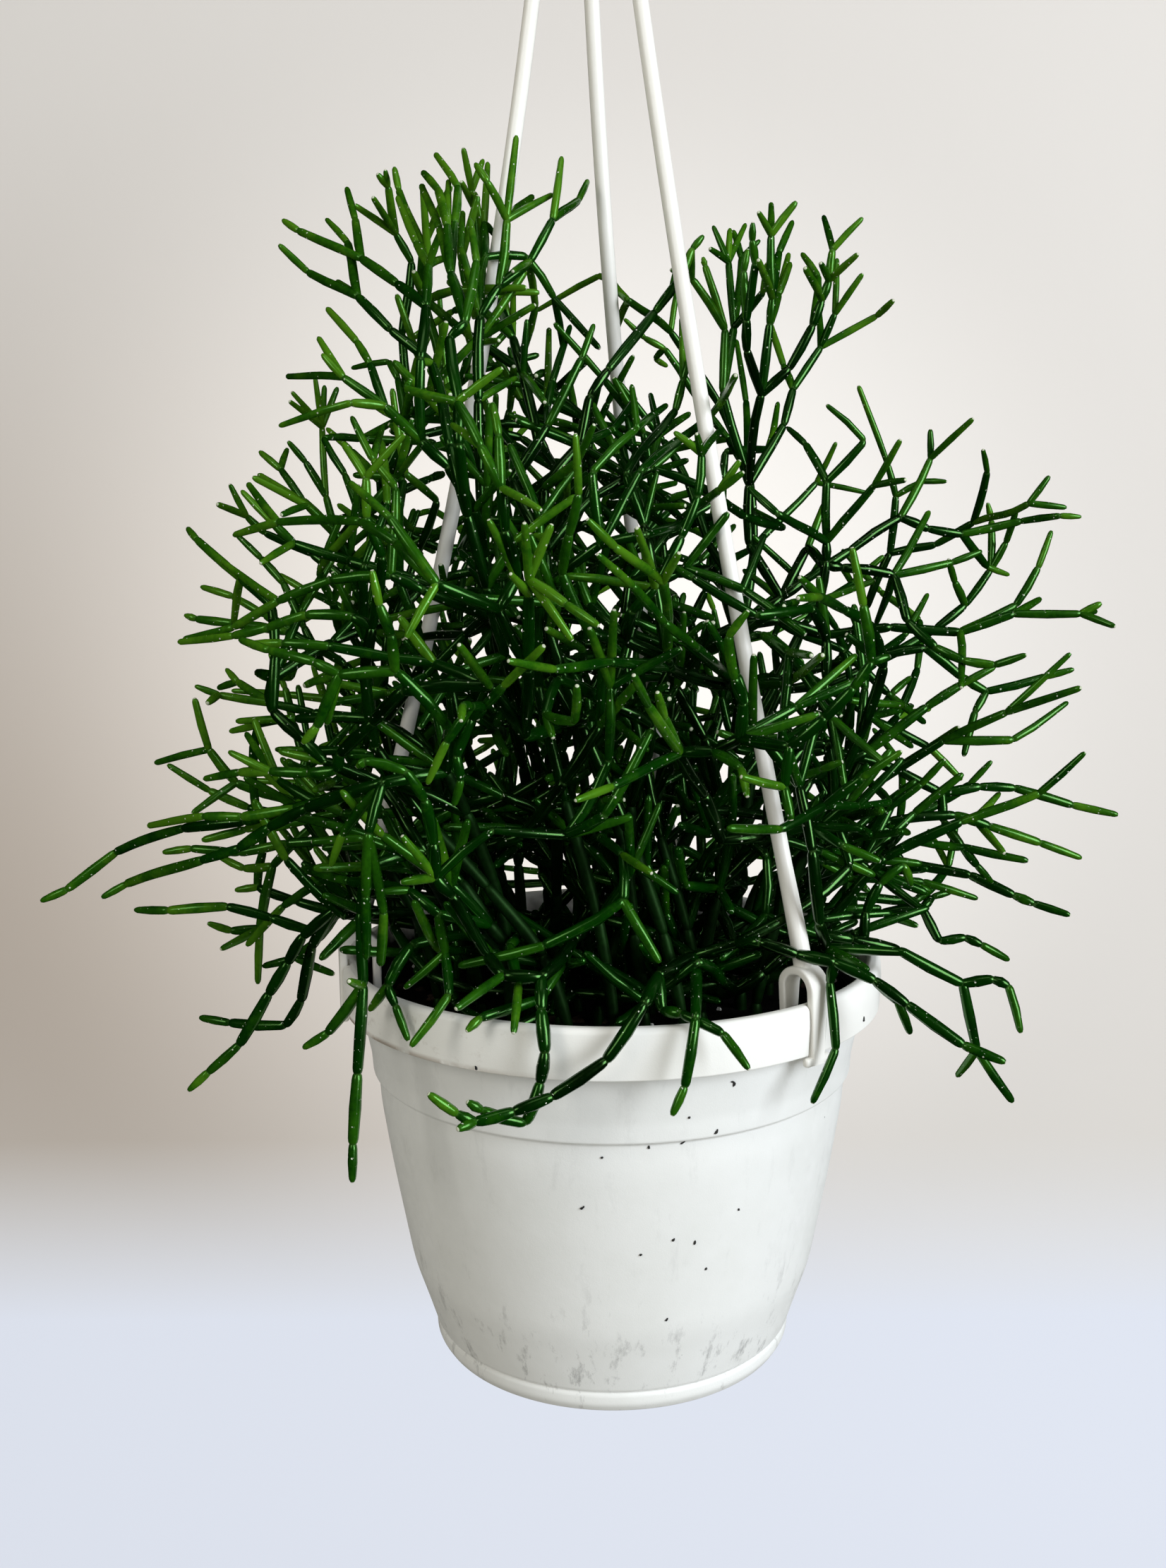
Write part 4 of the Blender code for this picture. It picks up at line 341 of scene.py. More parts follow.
    (-62, -74, -20, -4, -37, -10.5, -41, -14),
    (-30, -20, 0, 21, -9, 33, -13, 43.5),
    (-32, -36, 0, 21, 3, 29, 0.5, 36),
    (-30, -52, 0, 21, 13, 16, 24, 9.5),
    (-56, -74, 24, 9.5, 37, 13.5, 44, 14, 55, 10.5, 66, 8, 78, 2.5, 88, -5, 105, -17.5, 117.3, -22.8),
    (-66, -62, 78, 2.5, 85, -4, 89, -13.5),
    (-52, -81, 24, 9.5, 25, -10),
    (-81, -86, 25, -10, 22, -30.5, 18.5, -39),
    (-52, -80, 24, 9.5, 14, 3, 10, -5),
    (-80, -93, 10, -5, -1.5, -22, -17.5, -33, -29, -37.5, -40.5, -40.5, -46, -38, -54, -32),
    (-91, -94, -40.5, -40.5, -45.5, -42.8),
    (-58, -66, 66, 12, 65, 2, 67, -18.5, 60.5, -35),
    (-72, -84, 15, -9, 20, -12.5, 32, -18, 40, -28.5),
    (10, 4, -3, 20, -3.5, 6, -11, 3),
    (6, 2, -3.5, 6, 2, 4),
    # right top
    (-16, -6, -8, 158, -5, 171, 0, 178, 13, 193.5, 20, 203, 23, 210, 25.8, 213.3),
    (-12, -4, 13, 193.5, 18, 200, 20, 206.5, 18.3, 215.2),
    (14, 6, -5, 158, 0, 169, 7, 181.5),
    (26, 22, 31, 168, 22.5, 180.5, 17, 188, 5, 196.5, -3, 203),
    (22, 28, 5, 196.5, 1, 187),
    (22, 30, 17, 188, 19, 201),
    (36, 30, 26, 168, 15.5, 183.5, 10, 186.5, 4.5, 191.5),
    (34, 40, 15.5, 183.5, 13, 181, 16, 179),
    (-20, -12, 5, 150, 18, 167.5, 22, 181),
    (-14, -4, 18.3, 176, 20, 192),
    (-26, -16, -4, 150, 8.5, 162, 7, 173.5),
    (-18, -14, 8.5, 162, 17, 168),
    (-10, 0, 11.5, 158, 11.7, 171.3),
    (6, 10, 5, 152, 2.3, 163, -1, 167),
    (-14, -6, 14, 160, 22.5, 166),
    (-24, -28, 10, 150, 29.8, 165.5, 36.8, 176.5),
    (-38, -30, 15.5, 119.5, 20, 132, 24, 143, 24, 154.5, 17, 160.5),
    (-32, -26, 24, 154.5, 28, 161),
    (-32, -40, 24, 154.5, 23, 160),
    (-10, -14, 12, 150, 22, 153.3),
    (4, 6, 46, 117.5, 39.5, 130, 39, 147, 31, 171.5, 32, 188.5, 26.5, 205.5, 26, 207.5),
    (6, 2, 32, 188.5, 23, 202, 17.3, 204.5),
    (4, 0, 23, 202, 23, 210),
    (6, 12, 31, 171.5, 34.5, 189, 33, 206.5, 28.8, 215.8),
    (12, 14, 33, 206.5, 33.3, 215),
    (12, 18, 33, 206.5, 37.5, 216.3),
    (12, 6, 33, 206.5, 28, 210),
    (12, 20, 34.5, 189, 36.5, 207.5, 41.3, 212),
    (18, 24, 36.5, 207.5, 34.3, 214.5),
    (12, 0, 34.5, 189, 42.5, 198.5, 43.7, 206),
    (-8, -14, 39, 147, 42.5, 171, 38.5, 183, 38.5, 191, 41, 206, 40, 212, 40, 216.5),
    (-14, -8, 38.5, 191, 37.5, 204, 38.5, 209.5),
    (-10, -4, 42.5, 171, 44.5, 190, 45, 197, 44.7, 213.5, 51.2, 222),
    (-4, -8, 44.7, 213.5, 41.2, 219.5),
    (-4, 2, 44.7, 213.5, 44.5, 221.7),
    (-8, -14, 45, 197, 41, 207),
    (-8, 2, 44.5, 190, 47, 198, 50, 206),
    (0, 6, 47, 198, 49.5, 208.5),
    (-6, 4, 45, 197, 46.8, 209, 50.3, 217),
    (-10, -2, 42.5, 171, 50, 178, 56.5, 189.5, 60.8, 201.5, 61.7, 209.5, 69.5, 217.7),
    (-2, 4, 61.7, 209.5, 59, 218.3),
    (-2, -8, 60.8, 201.5, 68.5, 208.3),
    (-2, -6, 60.8, 201.5, 58.5, 206),
    (-4, 6, 56.5, 189.5, 57.7, 202.5, 53.3, 208.5),
    (-2, -10, 57.3, 197, 54.3, 204.7),
    (8, 14, 39, 147, 48.7, 163, 51.3, 172.5, 58.7, 183.7, 74, 192, 78.5, 196),
    (14, 10, 58.7, 183.7, 62.5, 192.5, 69.8, 203),
    (12, 18, 62.5, 192.5, 62.8, 207),
    (14, 22, 58.7, 183.7, 58, 195),
    (14, 18, 51.3, 172.5, 48.5, 179, 44.7, 190),
    (20, 26, 39, 147, 38.5, 170, 35.5, 186),
    (10, 16, 44, 155, 47, 168),
    # right shoulder
    (-6, -6, 60, 114, 61.5, 125, 61.3, 147, 71.3, 158.3, 61, 168),
    (-6, 0, 61.3, 147, 55, 157.5, 50, 162),
    (-6, -14, 61.5, 130.5, 74.5, 146, 81.5, 158.3),
    (-12, -18, 74.5, 146, 83.2, 147.5),
    (-8, -20, 61.5, 130.5, 47.5, 138.5, 39.5, 145.5),
    (0, 6, 46, 117.5, 56, 128.7, 60.5, 141),
    (2, -4, 56, 128.7, 61, 124),
    (34, 26, 66, 98, 73, 112, 79.3, 127, 80.5, 143, 78, 152, 69.5, 173),
    (28, 30, 80.5, 143, 88, 147, 94.5, 147),
    (2, 12, 43, 111, 55, 119.5, 68, 128, 82, 137, 90, 153.3, 101.5, 164),
    (12, 10, 90, 153.3, 89.8, 161),
    (10, 12, 82, 137, 90, 134, 99.5, 132.5, 116, 136, 127, 137.5, 132.7, 137.2),
    (12, 18, 99.5, 132.5, 107, 123.3, 113, 121),
    (30, 22, 79.3, 127, 92, 129.5, 102.5, 135.5, 118, 140.7, 123.4, 148),
    (24, 26, 118, 140.7, 128.4, 139.5),
    (24, 20, 102.5, 135.5, 106, 149.5, 104.7, 155.5),
    (16, 24, 76, 96, 93, 106, 101, 112.5, 108, 122.5, 112, 130, 114.5, 138.5),
    (24, 30, 108, 122.5, 107.7, 136, 106.5, 140.8),
    (18, 12, 101, 112.5, 98, 119, 96, 125.2),
    (-4, 0, 60, 120, 66, 123.3, 80.5, 121, 97, 124.5, 105, 127.5),
    (-4, -14, 80.5, 121, 85, 108, 93, 100.5, 101, 96.5, 110, 95.3, 118.7, 98),
    (-2, 4, 80.5, 121, 90, 138.5),
    (-2, 8, 80.5, 121, 76, 107.5),
    (8, 12, 84, 104, 90.3, 115.5),
    (0, -2, 44, 105, 62, 104.5, 80, 106.5, 100, 105.2, 115, 110, 134, 110, 139.5, 112.7),
    (-2, -8, 134, 110, 143.8, 106.3),
    (-2, 4, 134, 110, 138.3, 110.5),
    (-2, 6, 115, 110, 122.3, 114.2),
    (-2, 2, 100, 105.2, 115.5, 112.5, 121.5, 123, 124.8, 133),
    (-2, -16, 100, 105.2, 101, 89.5),
    (2, 6, 48, 91.5, 62, 95.5, 76, 98, 90, 100.3, 101, 92, 108, 88, 125, 92, 132.5, 94),
    (6, 0, 108, 88, 105, 82, 102.2, 69.5),
    (-14, -8, 58, 62, 74, 70.5, 91, 83.5, 101, 90, 110, 94.8),
    (14, 20, 62, 90, 76, 80, 92, 71.8, 101.5, 62.5),
    (16, 22, 76, 80, 81, 87.5, 86, 92),
    (18, 10, 92, 71.8, 100.3, 77.5),
    (-12, -16, 62, 42, 75, 47, 80, 53.5, 90, 61, 96.5, 68),
    (-66, -70, 52, 72.5, 62, 80.5, 70, 89, 75, 96.5, 80, 98),
    (-70, -74, 75, 96.5, 72.5, 112.5, 69, 128.5),
    (-50, -66, 37.5, 74.5, 52, 72.5),
    (-66, -76, 52, 72.5, 50.8, 60.5, 38.5, 63.5),
    (-76, -78, 50.8, 60.5, 52.8, 51.2),
    (4, 10, 62, 71, 83, 65.3, 96, 58.5, 107, 60, 117, 59.5, 134, 54.5, 147, 51.6),
    (6, 2, 96, 58.5, 97, 50, 102.5, 42.5, 121.5, 38.3),
    (2, -6, 102.5, 42.5, 89.5, 44),
    (2, 8, 102.5, 42.5, 107, 37, 111.5, 32),
    (-2, 0, 66, 43, 81, 50.3, 100, 52, 110, 48.5, 125, 43.5, 137, 39),
    (0, 8, 100, 52, 106, 51, 113, 58.5),
    (0, -8, 106, 51, 115, 41),
    (46, 52, 84, 50, 97, 56, 104, 61, 110, 67.5),
    (20, 8, 66, 48, 78, 46.5, 85, 38.5, 105, 34, 118, 28, 124, 25.5, 134.5, 22),
    (24, 28, 74, 33, 92, 32, 107.8, 27),
    (30, 34, 66, 20, 78, 20.8, 90.5, 23, 96.5, 14, 104, 15, 109, 13, 117, 8.5),
    (32, 36, 90.5, 23, 94, 27, 99, 28.5),
    (32, 28, 78, 20.8, 88.5, 17),
    (36, 42, 70, 26, 88.5, 25.5),
    (-36, -28, 36, -1, 45, 5, 54, 13, 62, 16, 71, 15, 85, 11.5, 104, 1.5, 109, -19, 120, -35),
    (-30, -36, 104, 1.5, 113, 2.5, 117.5, 0.5, 121.8, -13.5),
    (-30, -20, 109, -19, 103.5, -27),
    (-28, -20, 74, 10, 75, 22, 79, 31, 85.5, 36.5, 88, 31),
    (-20, -14, 48, 46, 62, 38, 75, 30.5),
    (12, 8, 50, 27, 57, 33, 66, 35.5, 76, 29.5),
    (-6, -2, 55, 20, 68, 24, 79, 24.5),
    # right middle, near side
    (-30, -48, 21.5, 26, 26, 36, 32.5, 44.5, 27.5, 58, 20.5, 70.5),
    (-48, -58, 20.5, 70.5, 30, 71, 37.5, 74.5, 38.5, 85, 36, 92, 34.3, 104, 39.5, 111),
    (-58, -84, 20.5, 70.5, 1, 61, -9.5, 57),
    (-56, -70, 20.5, 70.5, 11.3, 84.5, 7.3, 93),
    (-50, -58, 20.5, 70.5, 16, 81, 14, 88),
    (-36, -46, 32.5, 44.5, 45, 46.5, 57.5, 49, 62.5, 55, 73, 63, 84, 70.5),
    (-42, -48, 57.5, 49, 68, 43, 78.5, 38.5),
    (-44, -36, 62.5, 55, 72, 54.8),
    (-30, -36, 47, 60, 61, 65.5, 67, 67.7),
    (-30, -76, 48, 91.5, 36, 89.8, 17, 95.5, 0.5, 97.2, -15.5, 95.5, -28.5, 98),
    (-55, -60, 17, 95.5, 15.5, 119.5, 20, 127.5),
    (-58, -74, 15.5, 119.5, 2, 129.5, -5.5, 137),
    (-40, -50, 34, 92.5, 25, 101, 16, 108),
    (0, 4, 38, 94, 35.5, 107, 32.5, 120, 32, 138, 33.5, 155),
    (4, 8, 32, 138, 22, 135, 12, 135.7),
    (18, 24, 35.5, 107, 29.5, 123, 28, 137),
    (-28, -34, -2, 130, 10, 132.5, 20, 137, 31, 145, 36.5, 152.8),
    (-32, -36, 31, 145, 37.5, 149.7),
    (-10, -6, 17, 134, 32, 143),
    (-26, -20, 13, 122, 10.5, 136, 14, 151),
    (30, 36, 25, 98, 23.3, 108, 27, 116.7),
    (34, 28, 23.3, 108, 20.3, 111.8),
    (20, 24, 19, 100, 19, 115.5),
    (-2, 0, 36, 107, 48, 108.5, 60, 114, 75, 119.5),
    (-30, -46, 74, 107.5, 60, 115.3, 54.3, 120.5),
    (-34, -74, 66, 113.3, 60, 115, 54, 114.8),
    (-40, -44, 50, 90.5, 61, 98.5),
    (4, 8, 48, 91.5, 56, 108),
    (8, 12, 48, 91.5, 47, 104),
    (-20, -16, 61, 80, 62, 92, 62, 103),
    (6, 0, 44, 105, 55, 104.3, 67, 99.7, 69, 91),
    # middle, near side
    (-46, -60, -24, 76, -23, 95, -22.5, 120.5),
    (-62, -78, -22.5, 120.5, -12, 113.5, -3, 107.5),
    (-60, -66, -22.5, 120.5, -10.5, 103.5),
    (-62, -76, -22.5, 120.5, -23.5, 136),
    (-60, -62, -22.5, 120.5, -16, 135.5),
    (-60, -70, -22.5, 115, -27.5, 122),
    (-50, -56, -31, 119, -33.5, 137),
    (-40, -50, -13, 122, -11, 133, -8.3, 144, -9, 160.5),
    (-50, -62, -26, 121, -29, 134, -30, 146, -30.5, 160.5, -32, 169),
    (-58, -66, -30, 146, -19, 140),
    (-52, -70, 16, 111, 7, 118.5, -2.8, 127.3),
    (-30, -40, 17, 101.5, 5, 103.3, -5, 105.3),
    (-34, -40, 5, 103.3, 6.7, 111.5),
    (-50, -64, -34, 90, -42.5, 102),
    (-50, -70, -47, 75, -36, 84, -30, 90, -18.5, 101),
    (-62, -78, -36, 84, -42, 84.5, -42.5, 80.5),
    (-10, -4, -10, 135, -4, 150, 3, 160),
    (-14, -8, -27, 148, -17, 163, -7.5, 181, -4, 190),
    (-8, 0, -17, 168, -15.5, 175, -10.5, 189.8),
    (0, 4, -17, 168, -16.4, 189),
    (-16, -10, -5, 143, 12, 151, 20, 157.5),
    (-40, -56, 13, 118, 8, 134.5),
    (-20, -30, -18, 146, -9, 153, -4, 163),
    (-52, -64, -17, 76, -10, 80, -9, 90),
    (-30, -34, 3, 84, -6, 81, -14, 79),
    (-40, -56, -14, 92, -18, 82, -16, 75.5),
    (-30, -40, 0, 45, -2.5, 52, -0.5, 57.5, 5, 57.5),
    (-40, -62, -2, 46, 4, 41, 12.5, 35.5),
    (-60, -70, 38, 66, 40, 58),
    (-20, -24, -13, 47, -6, 57),
    (-24, -30, 12, 43, 18, 55),
]

# Outer wall of the pot below its band, from the top down: radius and height
OUTER_WALL = [(75.4, 10.6), (70.4, -14.0), (70.0, -19.4), (68.4, -20.2), (68.0, -28.5), (65.0, -48.0),
              (59.6, -77.5), (56.7, -86.0), (52.9, -98.0), (52.9, -100.5), (FOOT_RADIUS, POT_BOTTOM)]

UP = np.array([0.0, 0.0, 1.0])


def unit(v):
    n = np.linalg.norm(v)
    return v / n if n > 1e-9 else UP.copy()


def held(share):
    """A share held between 0 and 1."""
    return min(1.0, max(0.0, share))


def lift(x, z, y):
    """Point at depth y on the line of sight through (x, z) of the upright plane."""
    t = (y - EYE[1]) / -EYE[1]
    return EYE + (np.array([x, 0.0, z]) - EYE) * t


def flatten(p):
    """Where the line of sight to a point crosses the upright plane: x and z."""
    t = (p[1] - EYE[1]) / -EYE[1]
    q = EYE + (p - EYE) / t
    return q[0], q[2]


def strand_point(azimuth, bow, s):
    """Point on a strand's centre line, from its clip at 0 to the hub at 1."""
    a = math.radians(azimuth)
    foot = np.array([STRAND_FOOT_RADIUS * math.sin(a), -STRAND_FOOT_RADIUS * math.cos(a), STRAND_FOOT_HEIGHT])
    run = HUB - foot
    inward = unit(np.array([run[0], run[1], 0.0]))
    spread = STRAND_SPREAD * max(0.0, (s - STRAND_SPREAD_FROM) / STRAND_SPREAD_OVER)
    return foot + run * s + inward * (bow * 4 * s * (1 - s) - spread)


def reach_at(z):
    return float(np.interp(z, REACH_HEIGHTS, REACH, left=0, right=0))


def wild(rng):
    return unit(np.array([rng.gauss(0, 1) for _ in range(3)]))


class Skeleton:
    """Joints of the plant: where each is, the joint below it, and where it came from."""

    def __init__(self):
        self.spot = []
        self.below = []
        self.kind = []

    def add(self, point, below, kind):
        self.spot.append(np.asarray(point, float))
        self.below.append(below)
        self.kind.append(kind)
        return len(self.spot) - 1

    def kids(self):
        out = [[] for _ in self.spot]
        for i, b in enumerate(self.below):
            if b >= 0:
                out[b].append(i)
        return out

    def root(self, i):
        while self.below[i] >= 0:
            i = self.below[i]
        return i

    def depth(self, i):
        n = 0
        while self.below[i] >= 0:
            i = self.below[i]
            n += 1
        return n

    def above(self, i, kids):
        """A joint and every joint that grows from it."""
        out, stack = [], [i]
        while stack:
            j = stack.pop()
            out.append(j)
            stack += kids[j]
        return out

    def way(self, i):
        """Direction in which the stem arrives at a joint."""
        b = self.below[i]
        return unit(self.spot[i] - self.spot[b]) if b >= 0 else UP.copy()

    def keep(self, kept):
        """Leave only these joints."""
        new = {old: n for n, old in enumerate(kept)}
        self.below = [new.get(self.below[i], -1) for i in kept]
        self.spot = [self.spot[i] for i in kept]
        self.kind = [self.kind[i] for i in kept]


def trace(sk):
    """Lay every listed stem out in depth, along the line of sight through each of its joints."""
    at = {}
    for row in CANES:
        y0, y1 = row[:2]
        pts = list(zip(row[2::2], row[3::2]))
        run = [0.0]
        for a, b in zip(pts, pts[1:]):
            run.append(run[-1] + math.dist(a, b))
        if pts[0] in at:
            here = at[pts[0]]
            y0 = sk.spot[here][1]
        else:
            here = sk.add(lift(*pts[0], y0), -1, "traced")
            at[pts[0]] = here
        for p, r in list(zip(pts, run))[1:]:
            here = sk.add(lift(*p, y0 + (y1 - y0) * r / run[-1]), here, "traced")
            at[p] = here


def deepen(sk):
    """Round the crown: each joint moves along its line of sight, on its own side of a strand."""
    lines = []
    for azimuth, bow in STRANDS.values():
        pts = [strand_point(azimuth, bow, s) for s in np.linspace(0, 1, 21)]
        flat = [flatten(q) for q in pts]
        lines.append(([z for _, z in flat], [x for x, _ in flat], [q[1] for q in pts]))
    for i, p in enumerate(sk.spot):
        x, z = flatten(p)
        wide = math.sqrt(max(reach_at(z) ** 2 - x * x, LEAST_DEPTH ** 2))
        gain = float(np.interp(z, DEPTH_HEIGHTS, DEPTH_GAIN))
        y = wide * math.tanh(gain * p[1] / wide) if gain > 1 else p[1]
        for line_z, line_x, line_y in lines:
            if abs(x - np.interp(z, line_z, line_x)) < STRAND_SIDE and line_z[0] < z:
                there = float(np.interp(z, line_z, line_y))
                y = min(y, there - STRAND_PASS) if p[1] < there else max(y, there + STRAND_PASS)
        sk.spot[i] = lift(x, z, y)


def splice(sk):
    """A loose stem that starts beside another one grows from it, at a joint made there."""
    for base in [i for i, b in enumerate(sk.below) if b < 0]:
        p = sk.spot[base]
        near, host, share = SPLICE_REACH, None, None
        for i, b in enumerate(sk.below):
            if b < 0 or sk.root(i) == base:
                continue
            a, c = sk.spot[b], sk.spot[i]
            t = float(np.clip(np.dot(p - a, c - a) / max(np.dot(c - a, c - a), 1e-9), 0, 1))
            d = np.linalg.norm(a + (c - a) * t - p)
            if d < near:
                near, host, share = d, i, t
        if host is None:
            continue
        b = sk.below[host]
        span = np.linalg.norm(sk.spot[host] - sk.spot[b])
        if share * span < SHORTEST_JOINT:
            host = b
        elif (1 - share) * span > SHORTEST_JOINT:
            new = sk.add(sk.spot[b] + (sk.spot[host] - sk.spot[b]) * share, b, "traced")
            sk.below[host] = new
            host = new
        for j, b in enumerate(sk.below):
            if b == base:
                sk.below[j] = host
        sk.kind[base] = "merged"
    sk.keep([i for i, k in enumerate(sk.kind) if k != "merged"])


def root_sites():
    """Places for stems in the soil, spread as seeds in a flower head."""
    out = []
    for i in range(ROOT_SITES):
        r = ROOT_RING * math.sqrt((i + 0.5) / ROOT_SITES)
        out.append(np.array([r * math.cos(i * GOLDEN), r * math.sin(i * GOLDEN), SOIL_TOP]))
    return out


def plant_root(sk, site):
    foot = sk.add(site - [0, 0, ROOT_DEPTH], -1, "root")
    return sk.add(site + [0, 0, COLLAR_HEIGHT], foot, "root")


def curve(p, leave, q, arrive, n):
    """n points along the cubic from p, which it leaves along one way, to q; p left out."""
    k = np.linalg.norm(q - p) / 3
    a, b = p + leave * k, q - arrive * k
    out = []
    for i in range(1, n + 1):
        s = i / n
        out.append(p * (1 - s)**3 + 3 * a * s * (1 - s)**2 + 3 * b * s * s * (1 - s) + q * s**3)
    return out


def best_host(sk, p, way, rooted, kids):
    """The rooted joint further in that a loose stem at p would most likely have grown from."""
    reach = np.linalg.norm(p - CROWN_MIDDLE)
    least, host = HOST_COST, None
    for i in sorted(rooted):
        q = sk.spot[i]
        d = np.linalg.norm(p - q)
        if not HOST_NEAREST < d < HOST_FURTHEST or len(kids[i]) > MOST_FORKS:
            continue
        if np.linalg.norm(q - CROWN_MIDDLE) > reach - HOST_FURTHER_IN:
            continue
        v = (p - q) / d
        ahead = float(np.dot(way, v))
        behind = float(np.dot(v, sk.way(i)))
        if ahead < HOST_AHEAD or behind < HOST_BEHIND:
            continue
        cost = d * (1 + AHEAD_COST * (1 - ahead) + BEHIND_COST * (1 - behind)) + FORK_COST * len(kids[i])
        if cost < least:
            least, host = cost, i
    return host


def join(sk):
    """Every loose stem gets its way down: to a joint further in, or to a root of its own."""
    free = root_sites()
    rooted = set()
    loose = [i for i, b in enumerate(sk.below) if b < 0]
    loose.sort(key=lambda i: np.linalg.norm(sk.spot[i] - CROWN_MIDDLE))
    for base in loose:
        kids = sk.kids()
        p = sk.spot[base]
        way = unit(sk.spot[kids[base][0]] - p)
        here = best_host(sk, p, way, rooted, kids)
        if here is not None:
            d = np.linalg.norm(p - sk.spot[here])
            leave = unit(sk.way(here) + (p - sk.spot[here]) / d)
            steps = 1 if d < LONGEST_LINK else 2
        else:
            want = np.array([p[0] * ROOT_SHARE, p[1] * ROOT_SHARE, SOIL_TOP])
            site = min(free, key=lambda s: np.linalg.norm(s - want))
            free = [s for s in free if s is not site]
            here = plant_root(sk, site)
            rooted |= {here, sk.below[here]}
            leave = unit(UP + ROOT_LEAN * unit(p - site))
            steps = max(1, round(np.linalg.norm(p - sk.spot[here]) / (JOINT_LENGTH + 1)))
        for q in curve(sk.spot[here], leave, p, way, steps)[:-1]:
            here = sk.add(q, here, "link")
            rooted.add(here)
        sk.below[base] = here
        rooted |= set(sk.above(base, sk.kids()))
    return free


def allowed(p):
    """Whether a joint may stand here: inside the crown's reach, clear of the soil and the rim."""
    r = math.hypot(p[0], p[1])
    if r > reach_at(p[2]) - REACH_MARGIN:
        return False
    if p[2] < SOIL_ZONE_TOP and r < BELT_OUTER:
        return False
    return p[2] >= BELT_TOP or not BELT_INNER < r < BELT_OUTER


class Filler:
    """Grows stems into the free places of the crown that no listed stem shows."""

    TRIES = 14
    ROOM_ENOUGH = 14
    AHEAD_WORTH = 4
    RISE = np.array([0, 0, 0.12])
    STEP_RANGE = (0.8, 1.15)
    OUTWARD = 0.25
    SIDE_CHANCE = 0.75
    SIDE_TURN = 0.7
    SIDE_STEP = 0.85
    SIDE_SPREAD = 0.55
    TWIG_CHANCE = 0.8
    TWIG_STEP = 17
    FORK_STEP = 16
    PLACES = 500
    PLACE_HEIGHTS = (12, 212)
    PLACE_REACH = (0.62, 0.96)
    FAR_SIDE = 8
    # a shoot: how far it leans out at first, how steep it goes on, how much less it does where
    # it turns, and its joints after that
    SHOOT_LEAN = 0.45
    SHOOT_STEEP = (0.6, 2.2)
    SHOOT_TURN = 0.6
    SHOOT_STEP = 23
    SHOOT_SPREAD = 0.42
    # an arm: how long at least, how much lower and further in its host, and how it bends out
    ARM_SHORTEST = 18
    ARM_DROP = 12
    ARM_INWARD = 8
    ARM_TURN_COST = 0.7
    ARM_AHEAD = 1.4
    ARM_RISE = 30.0
    ARM_OUT = 0.4
    TWIG_TURN = 0.8
    FORK_TURN = 0.6
    END_SPREAD = 0.5

    def __init__(self, sk):
        self.sk = sk
        self.rng = random.Random(SEED)
        self.cloud = np.array(sk.spot + [(sk.spot[i] + sk.spot[b]) / 2
                                         for i, b in enumerate(sk.below) if b >= 0])

    def put(self, q, below):
        i = self.sk.add(q, below, "filled")
        self.cloud = np.vstack([self.cloud, q, (q + self.sk.spot[below]) / 2])
        return i

    def fits(self, q):
        return allowed(q)

    def next_joint(self, p, forward, step, spread):
        """Of several tries in a cone round forward, the joint with the most free room."""
        best = (-FAR, None)
        for _ in range(self.TRIES):
            d = unit(forward + wild(self.rng) * spread + self.RISE)
            q = p + d * step
            if not self.fits(q):
                continue
            room = float(np.min(np.linalg.norm(self.cloud - q, axis=1)))
            score = min(room, self.ROOM_ENOUGH) + self.AHEAD_WORTH * float(np.dot(d, unit(forward)))
            if score > best[0]:
                best = (score, q)
        return best[1]

    def branch(self, here, forward, steps, step, spread, order):
        """A run of joints with side stems; order 2 has none."""
        rng = self.rng
        for k in range(steps):
            q = self.next_joint(self.sk.spot[here], forward, step * rng.uniform(*self.STEP_RANGE), spread)
            if q is None:
                return
            new = self.put(q, here)
            forward = unit(q - self.sk.spot[here])
            forward = unit(forward + self.OUTWARD * unit(np.array([q[0], q[1], 0.0])))
            if order < 2 and k > 0 and rng.random() < self.SIDE_CHANCE:
                side_steps = rng.choice([1, 2, 2]) if order else rng.choice([2, 3])
                aside = unit(forward + self.SIDE_TURN * wild(rng))
                self.branch(new, aside, side_steps, step * self.SIDE_STEP, self.SIDE_SPREAD, order + 1)
            here = new

    def shoot(self, site):
        """A stem from a root site that no listed stem took."""
        rng, sk = self.rng, self.sk
        collar = plant_root(sk, site)
        self.cloud = np.vstack([self.cloud, site, sk.spot[collar]])
        out = unit(np.array([site[0], site[1] + 8, 0.0]))
        steep = rng.uniform(*self.SHOOT_STEEP)
        here = self.put(sk.spot[collar] + unit(out * self.SHOOT_LEAN + UP) * JOINT_LENGTH, collar)
        q = sk.spot[here] + unit(out + np.array([0, 0, steep])) * (JOINT_LENGTH + 2)
        if not allowed(q):
            q = sk.spot[here] + unit(out * self.SHOOT_TURN + np.array([0, 0, steep])) * JOINT_LENGTH
        here = self.put(q, here)
        forward = unit(out + np.array([0, 0, steep * self.SHOOT_TURN]))
        self.branch(here, forward, rng.choice([3, 4, 5]), self.SHOOT_STEP, self.SHOOT_SPREAD, 0)

    def places(self, count):
        """Places spread over the far half of the crown."""
        out = []
        while len(out) < count:
            az = self.rng.uniform(0, 2 * math.pi)
            z = self.rng.uniform(*self.PLACE_HEIGHTS)
            r = reach_at(z) * self.rng.uniform(*self.PLACE_REACH)
            p = np.array([r * math.cos(az), r * math.sin(az), z])
            if p[1] > self.FAR_SIDE and allowed(p):
                out.append(p)
        return np.array(out)

